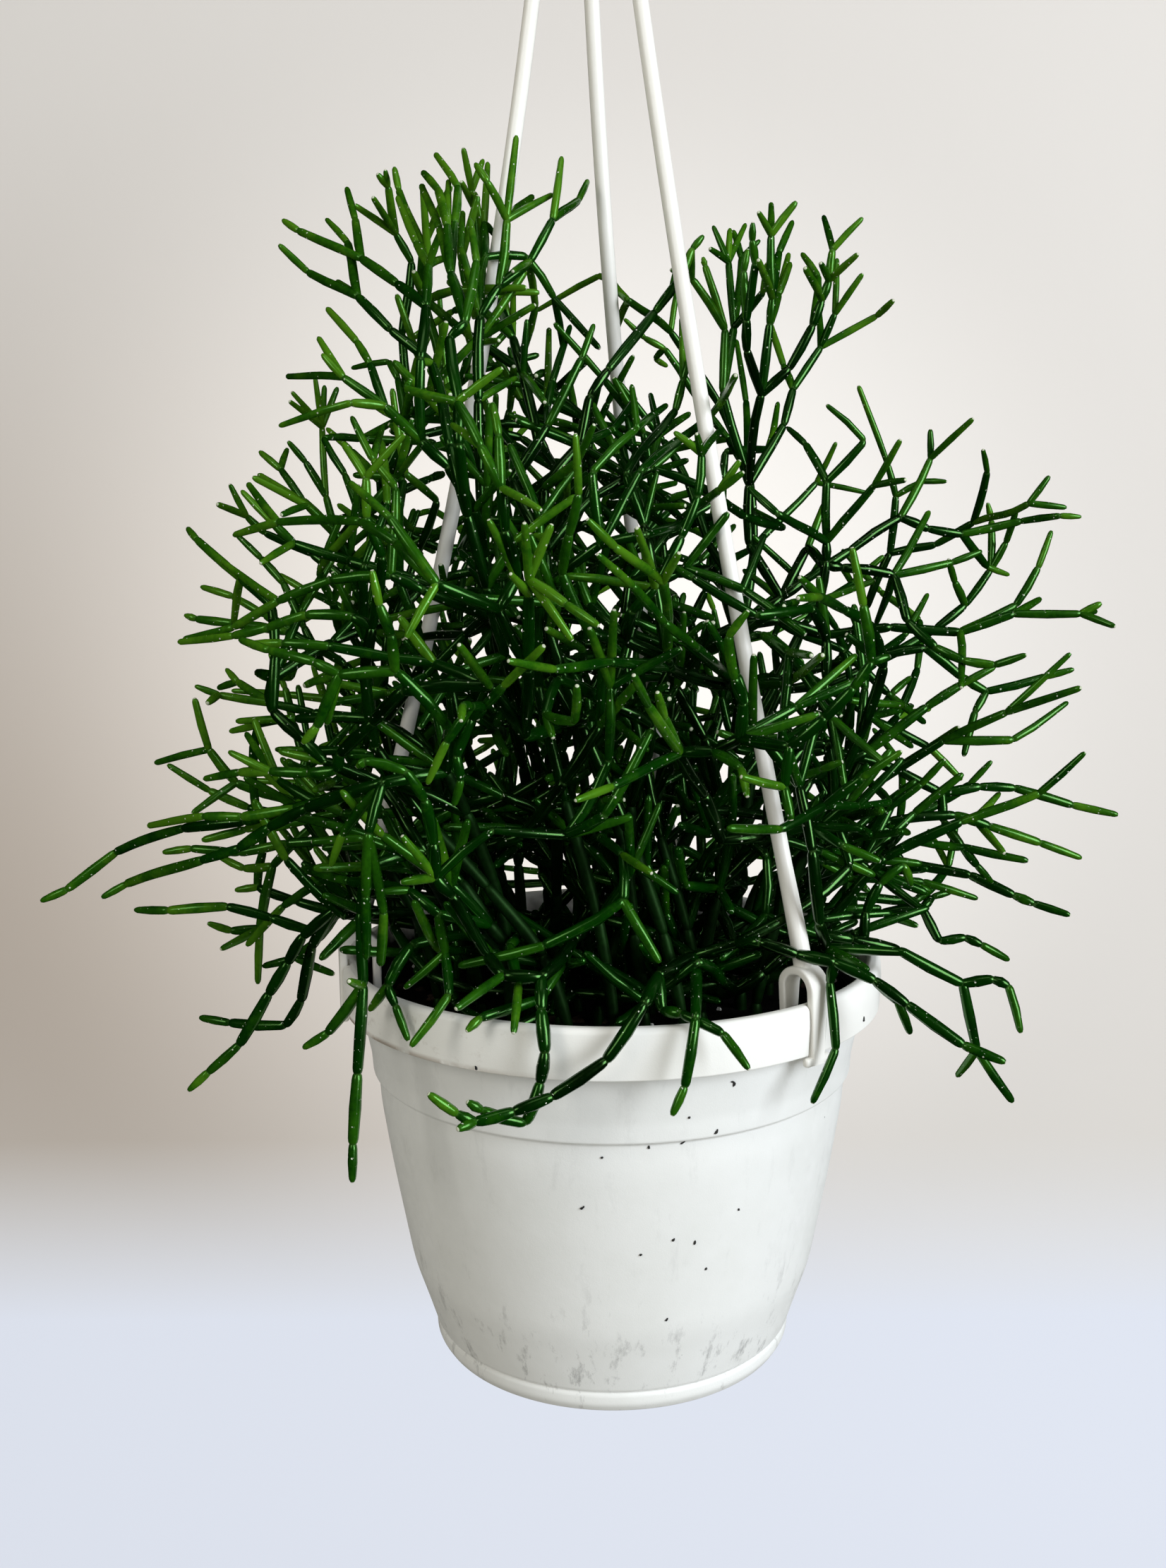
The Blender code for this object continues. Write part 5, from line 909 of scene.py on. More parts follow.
    def host_for(self, goal):
        """The joint from which an arm reaches the goal most directly."""
        sk, kids = self.sk, self.sk.kids()
        least, host = FAR, None
        for i, p in enumerate(sk.spot):
            if sk.kind[i] == "root" or sk.below[i] < 0 or len(kids[i]) > MOST_FORKS:
                continue
            d = float(np.linalg.norm(goal - p))
            if d < self.ARM_SHORTEST or p[2] > goal[2] + self.ARM_DROP:
                continue
            if np.hypot(*p[:2]) > np.hypot(*goal[:2]) - self.ARM_INWARD:
                continue
            cost = d * (1 + self.ARM_TURN_COST * (1 - float(np.dot(sk.way(i), (goal - p) / d))))
            if cost < least:
                least, host = cost, i
        return host

    def route(self, host, goal, joint):
        """Joints of an arm that leaves its host and bends outward to the goal."""
        start = self.sk.spot[host]
        d = float(np.linalg.norm(goal - start))
        leave = unit(self.sk.way(host) + self.ARM_AHEAD * (goal - start) / d)
        arrive = unit(goal - start + np.array([goal[0], goal[1], self.ARM_RISE]) * self.ARM_OUT)
        return curve(start, leave, goal, arrive, max(1, round(d / joint)))

    def arm(self, goal):
        """A stem with side twigs and a forked end, out to the goal."""
        rng, sk = self.rng, self.sk
        here = self.host_for(goal)
        line = self.route(here, goal, JOINT_LENGTH - 1)
        for k, q in enumerate(line):
            new = self.put(q, here)
            forward = unit(q - sk.spot[here])
            here = new
            if 0 < k < len(line) - 1 and rng.random() < self.TWIG_CHANCE:
                aside = unit(forward + self.TWIG_TURN * wild(rng))
                self.branch(new, aside, rng.choice([1, 1, 2]), self.TWIG_STEP, self.END_SPREAD, 1)
        for _ in range(2):
            aside = unit(forward + self.FORK_TURN * wild(rng))
            self.branch(here, aside, 1, self.FORK_STEP, self.END_SPREAD, 2)


def fill(sk, free):
    """Shoots from the sites left over, then arms into the crown's emptiest places."""
    filler = Filler(sk)
    for site in sorted(free, key=lambda s: -s[1])[:FILL_SHOOTS]:
        filler.shoot(site)
    places = filler.places(filler.PLACES)
    for _ in range(FILL_ARMS):
        room = np.min(np.linalg.norm(places[:, None] - filler.cloud[None], axis=2), axis=1)
        filler.arm(places[int(np.argmax(room))])


def heights(sk):
    """Joints between each joint and the furthest tip above it."""
    kids = sk.kids()
    high = [0] * len(sk.spot)
    for i in sorted(range(len(sk.spot)), key=sk.depth, reverse=True):
        if kids[i]:
            high[i] = 1 + max(high[k] for k in kids[i])
    return high


def stem_radii(high):
    return [RADII[min(h, len(RADII) - 1)] for h in high]


def nearest(p1, d1, p2, d2):
    """Nearest points of pairs of lines: the share along each, and the way from 2 to 1."""
    r = p1 - p2
    a = np.einsum("ij,ij->i", d1, d1)
    e = np.einsum("ij,ij->i", d2, d2)
    f = np.einsum("ij,ij->i", d2, r)
    c = np.einsum("ij,ij->i", d1, r)
    b = np.einsum("ij,ij->i", d1, d2)
    den = a * e - b * b
    s = np.where(den > 1e-9, np.clip((b * f - c * e) / np.maximum(den, 1e-9), 0, 1), 0.0)
    t = (b * s + f) / e
    t_end = np.clip(t, 0, 1)
    s = np.where(t != t_end, np.clip((t_end * b - c) / a, 0, 1), s)
    return s, t_end, (p1 + d1 * s[:, None]) - (p2 + d2 * t_end[:, None])


def middles(spots, a, b):
    """Middle and half length of each stem from joint a to joint b."""
    return (spots[a] + spots[b]) / 2, np.linalg.norm(spots[b] - spots[a], axis=1) / 2


def strand_pieces(count=12):
    """Start and end of each of the short straight pieces of all three strands."""
    out = []
    for azimuth, bow in STRANDS.values():
        pts = [strand_point(azimuth, bow, s) for s in np.linspace(0, 1, count + 1)]
        out += zip(pts, pts[1:])
    return out


def strand_gap(spots, a, b, start, end):
    """Share along each stem that is nearest to a strand's piece, and the way there from it."""
    count = (len(a), 1)
    s, _, gap = nearest(spots[a], spots[b] - spots[a], np.tile(start, count), np.tile(end - start, count))
    return s, gap


# gaps over the soil and round each point of a stem, how far out the soil is still cleared, and
# how much longer a stem's way up or out of the rim may be than its way inward
SOIL_GAP = 0.8
POINT_GAP = 0.6
SOIL_EDGE = 4
UP_FIRST = 6
OUT_FIRST = 4


def pot_push(spots, radii):
    """How far each point has to move to stand clear of the soil and the pot's rim."""
    push = np.zeros_like(spots)
    rho = np.hypot(spots[:, 0], spots[:, 1])
    z = spots[:, 2]
    out = np.zeros_like(spots)
    out[:, :2] = spots[:, :2] / np.maximum(rho, 1e-6)[:, None]
    r = radii + POINT_GAP
    low = (rho < WALL_CLEAR_IN + SOIL_EDGE) & (z < SOIL_TOP + r + SOIL_GAP)
    push[low, 2] += (SOIL_TOP + r + SOIL_GAP - z)[low]
    band = (rho > WALL_CLEAR_IN - r) & (rho < RIM_CLEAR_OUT + r) & (z < RIM_CLEAR_TOP + r)
    up = RIM_CLEAR_TOP + r - z
    outward = RIM_CLEAR_OUT + r - rho
    inward = rho - (WALL_CLEAR_IN - r)
    go_up = band & (up <= outward) & (up <= inward + UP_FIRST)
    go_out = band & ~go_up & (outward <= inward + OUT_FIRST)
    go_in = band & ~go_up & ~go_out
    push[go_up, 2] += up[go_up]
    push[go_out] += out[go_out] * outward[go_out, None]
    push[go_in] -= out[go_in] * inward[go_in, None]
    return push


class Relaxer:
    """Moves joints the least way that leaves clumps, strands, pot and soil clear of each other.

    A listed stem moves mostly along its line of sight, so the plant keeps its look.
    """

    LOOSE_FROM = 50
    LOOSE_ROUNDS = 60
    LOOSE_ACROSS = 0.8
    LISTED_ACROSS = 0.22
    LONGEST_STEP = 3.0
    KIN_GAP = 0.15
    PAIR_ROUNDS = 8
    PAIR_MARGIN = 10.0
    STRAND_GAP = 0.5
    TOUCHING = 0.05
    # share of an overlap that each stem moves by, how near a strand counts, and how much it pushes
    PART_SHARE = 0.625
    STRAND_NEAR = 20
    STRAND_PUSH = 1.1
    POT_TESTS = (0.0, 0.25, 0.5, 0.75, 1.0)
    # how much of its own shift and of its neighbours' a joint keeps, and how much of both
    OWN_SHIFT = 0.88
    NEAR_SHIFT = 0.12
    SHIFT_KEPT = 0.995

    def __init__(self, sk, first_free=0, fat=STEM_FAT, rounds=150, easy_rounds=60):
        self.sk = sk
        self.fat = fat
        self.rounds = rounds
        self.easy_rounds = easy_rounds
        self.first = np.array(sk.spot)
        self.spots = self.first.copy()
        below = np.array(sk.below)
        self.b = np.nonzero(below >= 0)[0]
        self.a = below[self.b]
        self.radius = np.array(stem_radii(heights(sk)))[self.b]
        clump = np.array([sk.root(i) for i in self.b])
        self.fixed = np.array([k == "root" or i < first_free for i, k in enumerate(sk.kind)])
        traced = np.array([k == "traced" for k in sk.kind])
        sight = self.first - EYE
        self.sight = sight / np.linalg.norm(sight, axis=1)[:, None]
        self.across = np.where(traced, self.LISTED_ACROSS, 1.0)[:, None]
        i, j = np.triu_indices(len(self.b), 1)
        a, b = self.a, self.b
        kin = (a[i] == a[j]) | (a[i] == b[j]) | (b[i] == a[j])
        kin |= (below[a[i]] == a[j]) | (below[a[j]] == a[i])
        kin |= self.fixed[b[i]] & self.fixed[b[j]] & (first_free > 0)
        i, j = i[~kin], j[~kin]
        both = self.radius[i] + self.radius[j]
        self.pairs = i, j
        self.need = np.where(clump[i] == clump[j], both + self.KIN_GAP, both * fat + STEM_GAP)

    def close_pairs(self):
        """Pairs of stems that could meet before the pairs are looked for again."""
        i, j = self.pairs
        mid, half = middles(self.spots, self.a, self.b)
        d = mid[i] - mid[j]
        close = np.einsum("ij,ij->i", d, d) < (half[i] + half[j] + self.need + self.PAIR_MARGIN) ** 2
        return i[close], j[close], self.need[close]

    def part_stems(self, i, j, need):
        """Half of each overlap for each of the two stems, shared between their ends."""
        spots, a, b = self.spots, self.a, self.b
        s, t, gap = nearest(spots[a[i]], spots[b[i]] - spots[a[i]], spots[a[j]], spots[b[j]] - spots[a[j]])
        d = np.linalg.norm(gap, axis=1)
        hit = d < need
        i, j, s, t, gap, d, need = (v[hit] for v in (i, j, s, t, gap, d, need))
        cross = np.cross(spots[b[i]] - spots[a[i]], spots[b[j]] - spots[a[j]])
        size = np.linalg.norm(cross, axis=1)[:, None]
        sight = self.sight[b[i]]
        cross = np.where(size > 1e-6, cross / np.maximum(size, 1e-6), sight)
        turn = np.sign(np.einsum("ij,ij->i", cross, sight) + 1e-12) * np.where((i + j) % 2, 1, -1)
        touching = self.TOUCHING
        apart = np.where(d[:, None] > touching, gap / np.maximum(d, touching)[:, None], cross * turn[:, None])
        amount = (need - d) * self.PART_SHARE
        move = np.zeros_like(spots)
        hits = np.zeros(len(spots))
        for joint, share, sign in ((a[i], 1 - s, 1), (b[i], s, 1), (a[j], 1 - t, -1), (b[j], t, -1)):
            np.add.at(move, joint, apart * (amount * share * sign)[:, None])
            np.add.at(hits, joint, share)
        return move / np.maximum(hits, 1.0)[:, None]

    def part_strands(self, move):
        """The move that clears each strand, added to the joints on both ends of a stem."""
        spots, a, b = self.spots, self.a, self.b
        mid, half = middles(spots, a, b)
        for start, end in strand_pieces():
            away = np.linalg.norm(mid - (start + end) / 2, axis=1)
            near = np.nonzero(away < half + self.STRAND_NEAR)[0]
            if not len(near):
                continue
            s, gap = strand_gap(spots, a[near], b[near], start, end)
            d = np.linalg.norm(gap, axis=1)
            lack = self.radius[near] * self.fat + STRAND_RADIUS + self.STRAND_GAP - d
            for k in np.nonzero(lack > 0)[0]:
                push = gap[k] / max(d[k], 1e-3) * lack[k] * self.STRAND_PUSH
                move[a[near[k]]] += push * (1 - s[k])
                move[b[near[k]]] += push * s[k]

    def leave_pot(self, move):
        """The move that clears the soil and the rim, tested at five points of each stem."""
        spots, a, b = self.spots, self.a, self.b
        rooted = self.fixed[a]
        for share in self.POT_TESTS:
            push = pot_push(spots[a] * (1 - share) + spots[b] * share, self.radius * self.fat)
            push[rooted & self.fixed[b]] = 0
            push[rooted] *= share
            np.add.at(move, a, push * (1 - share) * 0.5)
            np.add.at(move, b, push * share * 0.5)

    def smooth(self):
        """Spread each joint's shift a little over its neighbours, and ease it back."""
        shift = self.spots - self.first
        mean = np.zeros_like(shift)
        count = np.zeros(len(shift))
        np.add.at(mean, self.a, shift[self.b])
        np.add.at(mean, self.b, shift[self.a])
        np.add.at(count, self.a, 1)
        np.add.at(count, self.b, 1)
        mean /= np.maximum(count, 1)[:, None]
        eased = (self.OWN_SHIFT * shift + self.NEAR_SHIFT * mean) * self.SHIFT_KEPT
        self.spots = self.first + np.where(self.fixed[:, None], shift, eased)

    def run(self):
        for count in range(self.rounds):
            if count % self.PAIR_ROUNDS == 0:
                close = self.close_pairs()
            move = self.part_stems(*close)
            self.part_strands(move)
            along = np.einsum("ij,ij->i", move, self.sight)[:, None] * self.sight
            loose = np.clip((count - self.LOOSE_FROM) / self.LOOSE_ROUNDS, 0, 1)
            across = self.across + np.maximum(self.LOOSE_ACROSS - self.across, 0) * loose
            move = along + (move - along) * across
            self.leave_pot(move)
            step = np.linalg.norm(move, axis=1)
            move *= np.minimum(1, self.LONGEST_STEP / np.maximum(step, 1e-9))[:, None]
            move[self.fixed] = 0
            self.spots += move
            if count < self.easy_rounds:
                self.smooth()
            self.spots = np.round(self.spots, 4)
        self.sk.spot = list(self.spots)


def clashes(sk, fat=STEM_FAT):
    """Joints whose stems stand too close to another clump's, or to a strand, pot or soil (-1)."""
    spots = np.array(sk.spot)
    below = np.array(sk.below)
    b = np.nonzero(below >= 0)[0]
    a = below[b]
    radius = np.array(stem_radii(heights(sk)))[b]
    clump = np.array([sk.root(i) for i in b])
    i, j = np.triu_indices(len(b), 1)
    apart = clump[i] != clump[j]
    i, j = i[apart], j[apart]
    mid, half = middles(spots, a, b)
    need = (radius[i] + radius[j]) * fat + CLASH_GAP
    d = mid[i] - mid[j]
    close = np.einsum("ij,ij->i", d, d) < (half[i] + half[j] + need) ** 2
    i, j, need = i[close], j[close], need[close]
    _, _, gap = nearest(spots[a[i]], spots[b[i]] - spots[a[i]], spots[a[j]], spots[b[j]] - spots[a[j]])
    hit = np.linalg.norm(gap, axis=1) < need
    out = [(int(p), int(q)) for p, q in zip(b[i[hit]], b[j[hit]])]
    for start, end in strand_pieces():
        _, gap = strand_gap(spots, a, b, start, end)
        hit = np.linalg.norm(gap, axis=1) < radius * fat + STRAND_RADIUS + CLASH_GAP
        out += [(int(p), -1) for p in b[hit]]
    for share in np.linspace(0, 1, POT_CLASH_TESTS):
        push = pot_push(spots[a] * (1 - share) + spots[b] * share, radius * fat - POT_CLASH_EASE)
        hit = (np.linalg.norm(push, axis=1) > POT_CLASH_LEAST) & (spots[a][:, 2] > 0)
        out += [(int(p), -1) for p in b[hit]]
    return out


def thin_out(sk):
    """Leave out the least branches that still stand in the way of another clump."""
    for _ in range(MOST_PASSES):
        pairs = clashes(sk)
        if not pairs:
            return
        kids = sk.kids()

        def worth(i):
            if i < 0:
                return FAR
            return sum(LISTED_WORTH if sk.kind[j] == "traced" else 1 for j in sk.above(i, kids))

        gone = set()
        for a, b in sorted(pairs, key=lambda pair: min(map(worth, pair))):
            if a not in gone and b not in gone:
                gone |= set(sk.above(a if worth(a) <= worth(b) else b, kids))
        sk.keep([i for i in range(len(sk.spot)) if i not in gone])


def grow_plant():
    """The stems of the solids: the listed ones, what joins them to the soil, and the filled far side."""
    sk = Skeleton()
    trace(sk)
    deepen(sk)
    splice(sk)
    free = join(sk)
    fill(sk, free)
    Relaxer(sk).run()
    thin_out(sk)
    return sk


class Thickener(Filler):
    """Grows the stems that show only as a dark mass between the others.

    They grow from the plant's other stems, crowd round the middle, and on the near side
    stay behind the listed stems, so the plant's outline and gaps are kept.
    """

    BESIDE_LOW = 1.5
    LOW_TOP = 70
    LINKS_FROM = 75
    BEHIND = 3.0
    FURTHEST_BACK = 60.0
    LEAST_ARM = 12
    LONGEST_ARM = 60
    HOST_HIGHER = 15
    LEAST_HEIGHT = 6
    CROWDING = 1.8
    NEAR_SHARE = 5
    NEAR_HEIGHTS = (5, 62)
    NEAR_REACH = 0.8
    END_STEP = 20

    def __init__(self, sk):
        super().__init__(sk)
        self.rng = random.Random(SEED + 1)
        self.seen = np.array([flatten(p) for p in self.cloud])
        self.seen_depth = self.depths("traced", "link")
        self.low_depth = self.depths("traced")

    def depths(self, *kinds):
        """Depth of each point of the cloud that is on a stem of these kinds; the rest are far off."""
        sk = self.sk
        listed = [k in kinds for k in sk.kind]
        shown = np.array(listed + [listed[i] for i, b in enumerate(sk.below) if b >= 0])
        return np.where(shown, self.cloud[:, 1], FAR)

    def put(self, q, below):
        i = super().put(q, below)
        self.sk.kind[i] = "inner"
        return i

    def fits(self, q):
        wide = np.interp(q[2], INNER_HEIGHTS, INNER_WIDE)
        middle = np.interp(q[2], INNER_HEIGHTS, INNER_MIDDLE)
        if not allowed(q) or math.hypot(q[0] - middle, q[1]) > wide:
            return False
        away = np.linalg.norm(self.seen - flatten(q), axis=1)
        beside = INNER_BESIDE * (self.BESIDE_LOW if q[2] < self.LOW_TOP else 1.0)
        if np.min(away) > beside:
            return False
        depth = self.low_depth if q[2] < self.LINKS_FROM else self.seen_depth
        front = np.min(np.where(away < beside, depth, FAR))
        return q[1] > min(front + self.BEHIND, self.FURTHEST_BACK)

    def places(self, count):
        """Places spread over the crown, most of them low, and a share of them low on the near side."""
        rng = self.rng
        out = []
        while len(out) < count:
            near = len(out) % self.NEAR_SHARE == 0
            az = rng.uniform(math.pi if near else 0, 2 * math.pi)
            z = self.LEAST_HEIGHT + (INNER_HEIGHTS[-1] - self.LEAST_HEIGHT) * rng.random() ** self.CROWDING
            z = rng.uniform(*self.NEAR_HEIGHTS) if near else z
            r = np.interp(z, INNER_HEIGHTS, INNER_WIDE) * math.sqrt(rng.random())
            r *= self.NEAR_REACH if near else 1.0
            p = np.array([np.interp(z, INNER_HEIGHTS, INNER_MIDDLE) + r * math.cos(az), r * math.sin(az), z])
            if self.fits(p):
                out.append(p)
        return np.array(out)

    def host_for(self, goal, kids, spots, ways):
        """The joint from which an arm reaches the goal most directly, of those known so far."""
        gap = goal - spots
        d = np.linalg.norm(gap, axis=1)
        turn = np.einsum("ij,ij->i", ways, gap) / np.maximum(d, 1e-6)
        cost = d * (1 + self.ARM_TURN_COST * (1 - turn))
        busy = np.array([len(k) > MOST_FORKS for k in kids])
        root = np.array([k == "root" or b < 0 for k, b in zip(self.sk.kind, self.sk.below)])[:len(spots)]
        higher = spots[:, 2] > goal[2] + self.HOST_HIGHER
        cost[(d < self.LEAST_ARM) | (d > self.LONGEST_ARM) | busy | root | higher] = FAR
        host = int(np.argmin(cost))
        return host if cost[host] < FAR else None

    def arm(self, goal, kids, spots, ways):
        """A stem with a forked end, out to the goal or as far as there is room for it."""
        rng, sk = self.rng, self.sk
        here = self.host_for(goal, kids, spots, ways)
        if here is None:
            return
        for q in self.route(here, goal, INNER_JOINT):
            if not self.fits(q):
                return
            new = self.put(q, here)
            forward = unit(q - sk.spot[here])
            here = new
        for _ in range(rng.choice([1, 2, 2, 3])):
            aside = unit(forward + self.FORK_TURN * wild(rng))
            self.branch(here, aside, rng.choice([1, 1, 2]), self.END_STEP, self.END_SPREAD, 2)


def thicken(sk):
    """Grow the inner stems, move them clear of the rest and drop the few that don't fit."""
    first = len(sk.spot)
    filler = Thickener(sk)
    places = filler.places(INNER_PLACES)
    room = np.full(len(places), FAR)
    low_near = (places[:, 2] < filler.NEAR_HEIGHTS[1]) & (places[:, 1] < 0)
    worth = np.where(low_near, NEAR_WORTH, 1.0)
    known = 0
    for count in range(INNER_ARMS):
        if count % ARMS_AT_ONCE == 0:
            kids, spots = sk.kids(), np.array(sk.spot)
            ways = np.array([sk.way(i) for i in range(len(spots))])
        for q in filler.cloud[known:]:
            room = np.minimum(room, np.linalg.norm(places - q, axis=1) * worth)
        known = len(filler.cloud)
        pick = int(np.argmax(room))
        room[pick] = 0
        filler.arm(places[pick], kids, spots, ways)
    clear_inner(sk, first)


def clear_inner(sk, first):
    """Move the joints from the first inner one on, and drop the least branches that still clash."""
    Relaxer(sk, first, 1.0, rounds=70, easy_rounds=20).run()
    for _ in range(MOST_PASSES):
        gone = set()
        kids = sk.kids()
        for pair in clashes(sk, 1.0):
            inner = [i for i in pair if i >= first]
            if inner and not gone.intersection(inner):
                gone |= set(sk.above(min(inner, key=lambda i: len(sk.above(i, kids))), kids))
        if not gone:
            return
        sk.keep([i for i in range(len(sk.spot)) if i not in gone])


# Scene pieces

def to_frame(points):
    """Millimetres in the pot's frame to metres in the part's frame."""
    return (np.asarray(points, float) - HOOK_BEARING) * MM


def piece_from(name, points, faces, mat, nodes=(), smooth=True, attributes=None):
    """A shown piece of the object, on its body and in the place of its nodes."""
    mesh = bpy.data.meshes.new(name)
    mesh.from_pydata(to_frame(points).tolist(), [], faces)
    for key, values in (attributes or {}).items():
        values = np.asarray(values, float)
        kind = "FLOAT_VECTOR" if values.ndim == 2 else "FLOAT"
        layer = mesh.attributes.new(key, kind, "POINT")
        layer.data.foreach_set("vector" if values.ndim == 2 else "value", values.ravel())
    if smooth:
        mesh.shade_smooth()
    obj = bpy.data.objects.new(name, mesh)
    bpy.context.scene.collection.objects.link(obj)
    return place_piece(obj, mat, nodes)


def place_piece(obj, mat, nodes=()):
    """Give an object its material, its body and the nodes that it stands for."""
    obj.data.materials.clear()
    obj.data.materials.append(mat)
    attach(obj, BODY)
    if nodes:
        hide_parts(*nodes)
    return obj


# Colours of the finishes
NEW_GREEN = (0.062, 0.185, 0.006)
YOUNG_GREEN = (0.016, 0.088, 0.002)
MID_GREEN = (0.0016, 0.030, 0.0004)
OLD_GREEN = (0.0003, 0.012, 0.0002)
# the darkest green, for old skin deep in painted shade
DEEP_SHADE_GREEN = (0.0001, 0.0038, 0.0001)
# the foot's old skin, darkened nearly to black as painted shade
WOOD_DARK = (0.0006, 0.0050, 0.0005)
WOOD_PALE = (0.0020, 0.015, 0.0012)
JOINT_GREEN = (0.05, 0.12, 0.025)
TIP_CREAM = (0.62, 0.64, 0.50)
SPECK_WHITE = (0.70, 0.74, 0.62)
# radius of the largest speck, in cells of the skin's cell pattern
SPECK_SIZE = 0.075
POT_WHITE = (0.84, 0.845, 0.825)
POT_GREY = (0.74, 0.745, 0.71)
SCUFF_GREY = (0.34, 0.34, 0.33)
SPECK_BLACK = (0.03, 0.03, 0.03)
DIRT_BROWN = (0.30, 0.22, 0.15)
# the band's white, raised as painted light against the shade the crown casts on the rim
BAND_WHITE_PAINTED_LIGHT = (0.96, 0.95, 0.905)
SOIL_STAIN = (0.012, 0.010, 0.008)
# the soil's colours, darkened to near black as painted shade
SOIL_SHADE_COLOURS = [(0.35, (0.0012, 0.0009, 0.0007)), (0.6, (0.004, 0.003, 0.002)), (0.75, (0.013, 0.009, 0.006))]
CRUMB_BLACK = (0.006, 0.006, 0.006)
CRUMB_GREY = (0.035, 0.033, 0.03)
PERLITE_SHADE = (0.62, 0.6, 0.55)
PERLITE_WHITE = (0.85, 0.84, 0.8)
BARK_DARK = (0.008, 0.005, 0.003)
BARK_RED = (0.045, 0.024, 0.014)
HANGER_WHITE = (0.93, 0.915, 0.865)
HANGER_SHADE = (0.85, 0.825, 0.76)

# Where the marks on the pot are, in the pot's frame but for the two x values, which are in the
# part's frame: the scuffs' fade, the band's lower edge, the dirt's fade, the inner wall's radius
# and the height and wave of the stain's upper edge
SCUFF_TOP = -60
SCUFF_BOTTOM = -92
BAND_EDGE = 0.2
DIRT_LEFT = -62
DIRT_RIGHT = -2
INNER_WALL = (72.6, 73.0)
STAIN_FADE = (6.0, 10.0)
STAIN_WAVE = 2.5

# The range in which most of a noise lies, and a narrower one for a grain of two colours
NOISE = (0.3, 0.7)
GRAIN = (0.35, 0.65)
# The skin: how far patches and fine grain shift its tone, its greens by age and painted shade, how far from
# a joint it is pale, from where a tip is cream, and the tint of its sheen
PATCHY_TONE = 0.14
FINE_TONE = 0.05
SKIN_GREENS = [(0.0, NEW_GREEN), (0.22, YOUNG_GREEN), (0.48, MID_GREEN), (0.8, OLD_GREEN), (1.0, DEEP_SHADE_GREEN)]
JOINT_REACH = (0.12, 0.4)
JOINT_SHARE = 0.55
TIP_EDGE = (0.89, 0.95)
SKIN_SHEEN = (0.42, 1.0, 0.28, 1.0)
WOOD_SHEEN = (0.4, 1.0, 0.3, 1.0)
# The marks on the pot: the stretch of the scuffs, and the parts of a noise that they, the black
# specks, the dirt along the band and the grime on it take up
SCUFF_STRETCH = (1.0, 1.0, 0.28)
SMUDGES = (0.42, 0.72)
SCUFFS = (0.56, 0.68)
SPECKED = (0.52, 0.60)
SPECK_EDGE = (0.02, 0.035)
DIRT_BLOTS = (0.38, 0.50)
DIRT_FADE = (0.4, 1.5)
GRIME = (0.57, 0.68)
# how much further in the inner wall is for each mm down
WALL_DRAFT = 0.12


class Nodes:
    """Short hand for a material's node tree."""

    def __init__(self, name):
        self.mat = bpy.data.materials.new(name)
        self.mat.use_nodes = True
        self.tree = self.mat.node_tree
        self.shader = self.tree.nodes["Principled BSDF"]

    def add(self, kind, inputs=None, **settings):
        node = self.tree.nodes.new(kind)
        for key, value in settings.items():
            setattr(node, key, value)
        for key, value in (inputs or {}).items():
            self.put(node.inputs[key], value)
        return node

    def put(self, socket, value):
        if isinstance(value, bpy.types.NodeSocket):
            self.tree.links.new(value, socket)
        else:
            socket.default_value = value

    def set(self, **inputs):
        for key, value in inputs.items():
            self.put(self.shader.inputs[key.replace("_", " ")], value)

    def attribute(self, name, output="Fac"):
        return self.add("ShaderNodeAttribute", attribute_name=name).outputs[output]

    def place(self, scale=1000.0, offset=(0, 0, 0)):
        """Object coordinates in millimetres by default."""
        coords = self.add("ShaderNodeTexCoord").outputs["Object"]
        node = self.add("ShaderNodeMapping", {"Vector": coords})
        node.inputs["Scale"].default_value = (scale,) * 3
        node.inputs["Location"].default_value = offset
        return node.outputs[0]

    def noise(self, vector, scale, detail=2.0, rough=0.5, dims="3D"):
        return self.add("ShaderNodeTexNoise", {"Vector": vector, "Scale": scale, "Detail": detail,
                                               "Roughness": rough}, noise_dimensions=dims).outputs["Fac"]

    def math(self, operation, a, b=0.0, clamp=False):
        node = self.add("ShaderNodeMath", {0: a, 1: b}, operation=operation, use_clamp=clamp)
        return node.outputs[0]

    def times(self, a, b):
        return self.math("MULTIPLY", a, b)

    def distance(self, vector, centre):
        return self.add("ShaderNodeVectorMath", {0: vector, 1: centre}, operation="DISTANCE").outputs["Value"]

    def span(self, value, low, high, to_low=0.0, to_high=1.0):
        """Value mapped from one range to another and held inside it."""
        node = self.add("ShaderNodeMapRange", {"Value": value, "From Min": low, "From Max": high,
                                               "To Min": to_low, "To Max": to_high})
        return node.outputs[0]

    def ramp(self, value, stops):
        node = self.add("ShaderNodeValToRGB", {"Fac": value})
        points = node.color_ramp.elements
        while len(points) < len(stops):
            points.new(0.5)
        for point, (where, colour) in zip(points, stops):
            point.position = where
            point.color = (*colour, 1.0)
        return node.outputs["Color"]

    def mix(self, share, a, b, mode="MIX"):
        node = self.add("ShaderNodeMix", data_type="RGBA", blend_type=mode)
        self.put(node.inputs[0], share)
        self.put(node.inputs[6], (*a, 1.0) if isinstance(a, tuple) else a)
        self.put(node.inputs[7], (*b, 1.0) if isinstance(b, tuple) else b)
        return node.outputs[2]

    def bump(self, height, strength, distance=0.0002, normal=None):
        node = self.add("ShaderNodeBump", {"Height": height, "Strength": strength, "Distance": distance})
        if normal:
            self.put(node.inputs["Normal"], normal)
        return node.outputs[0]


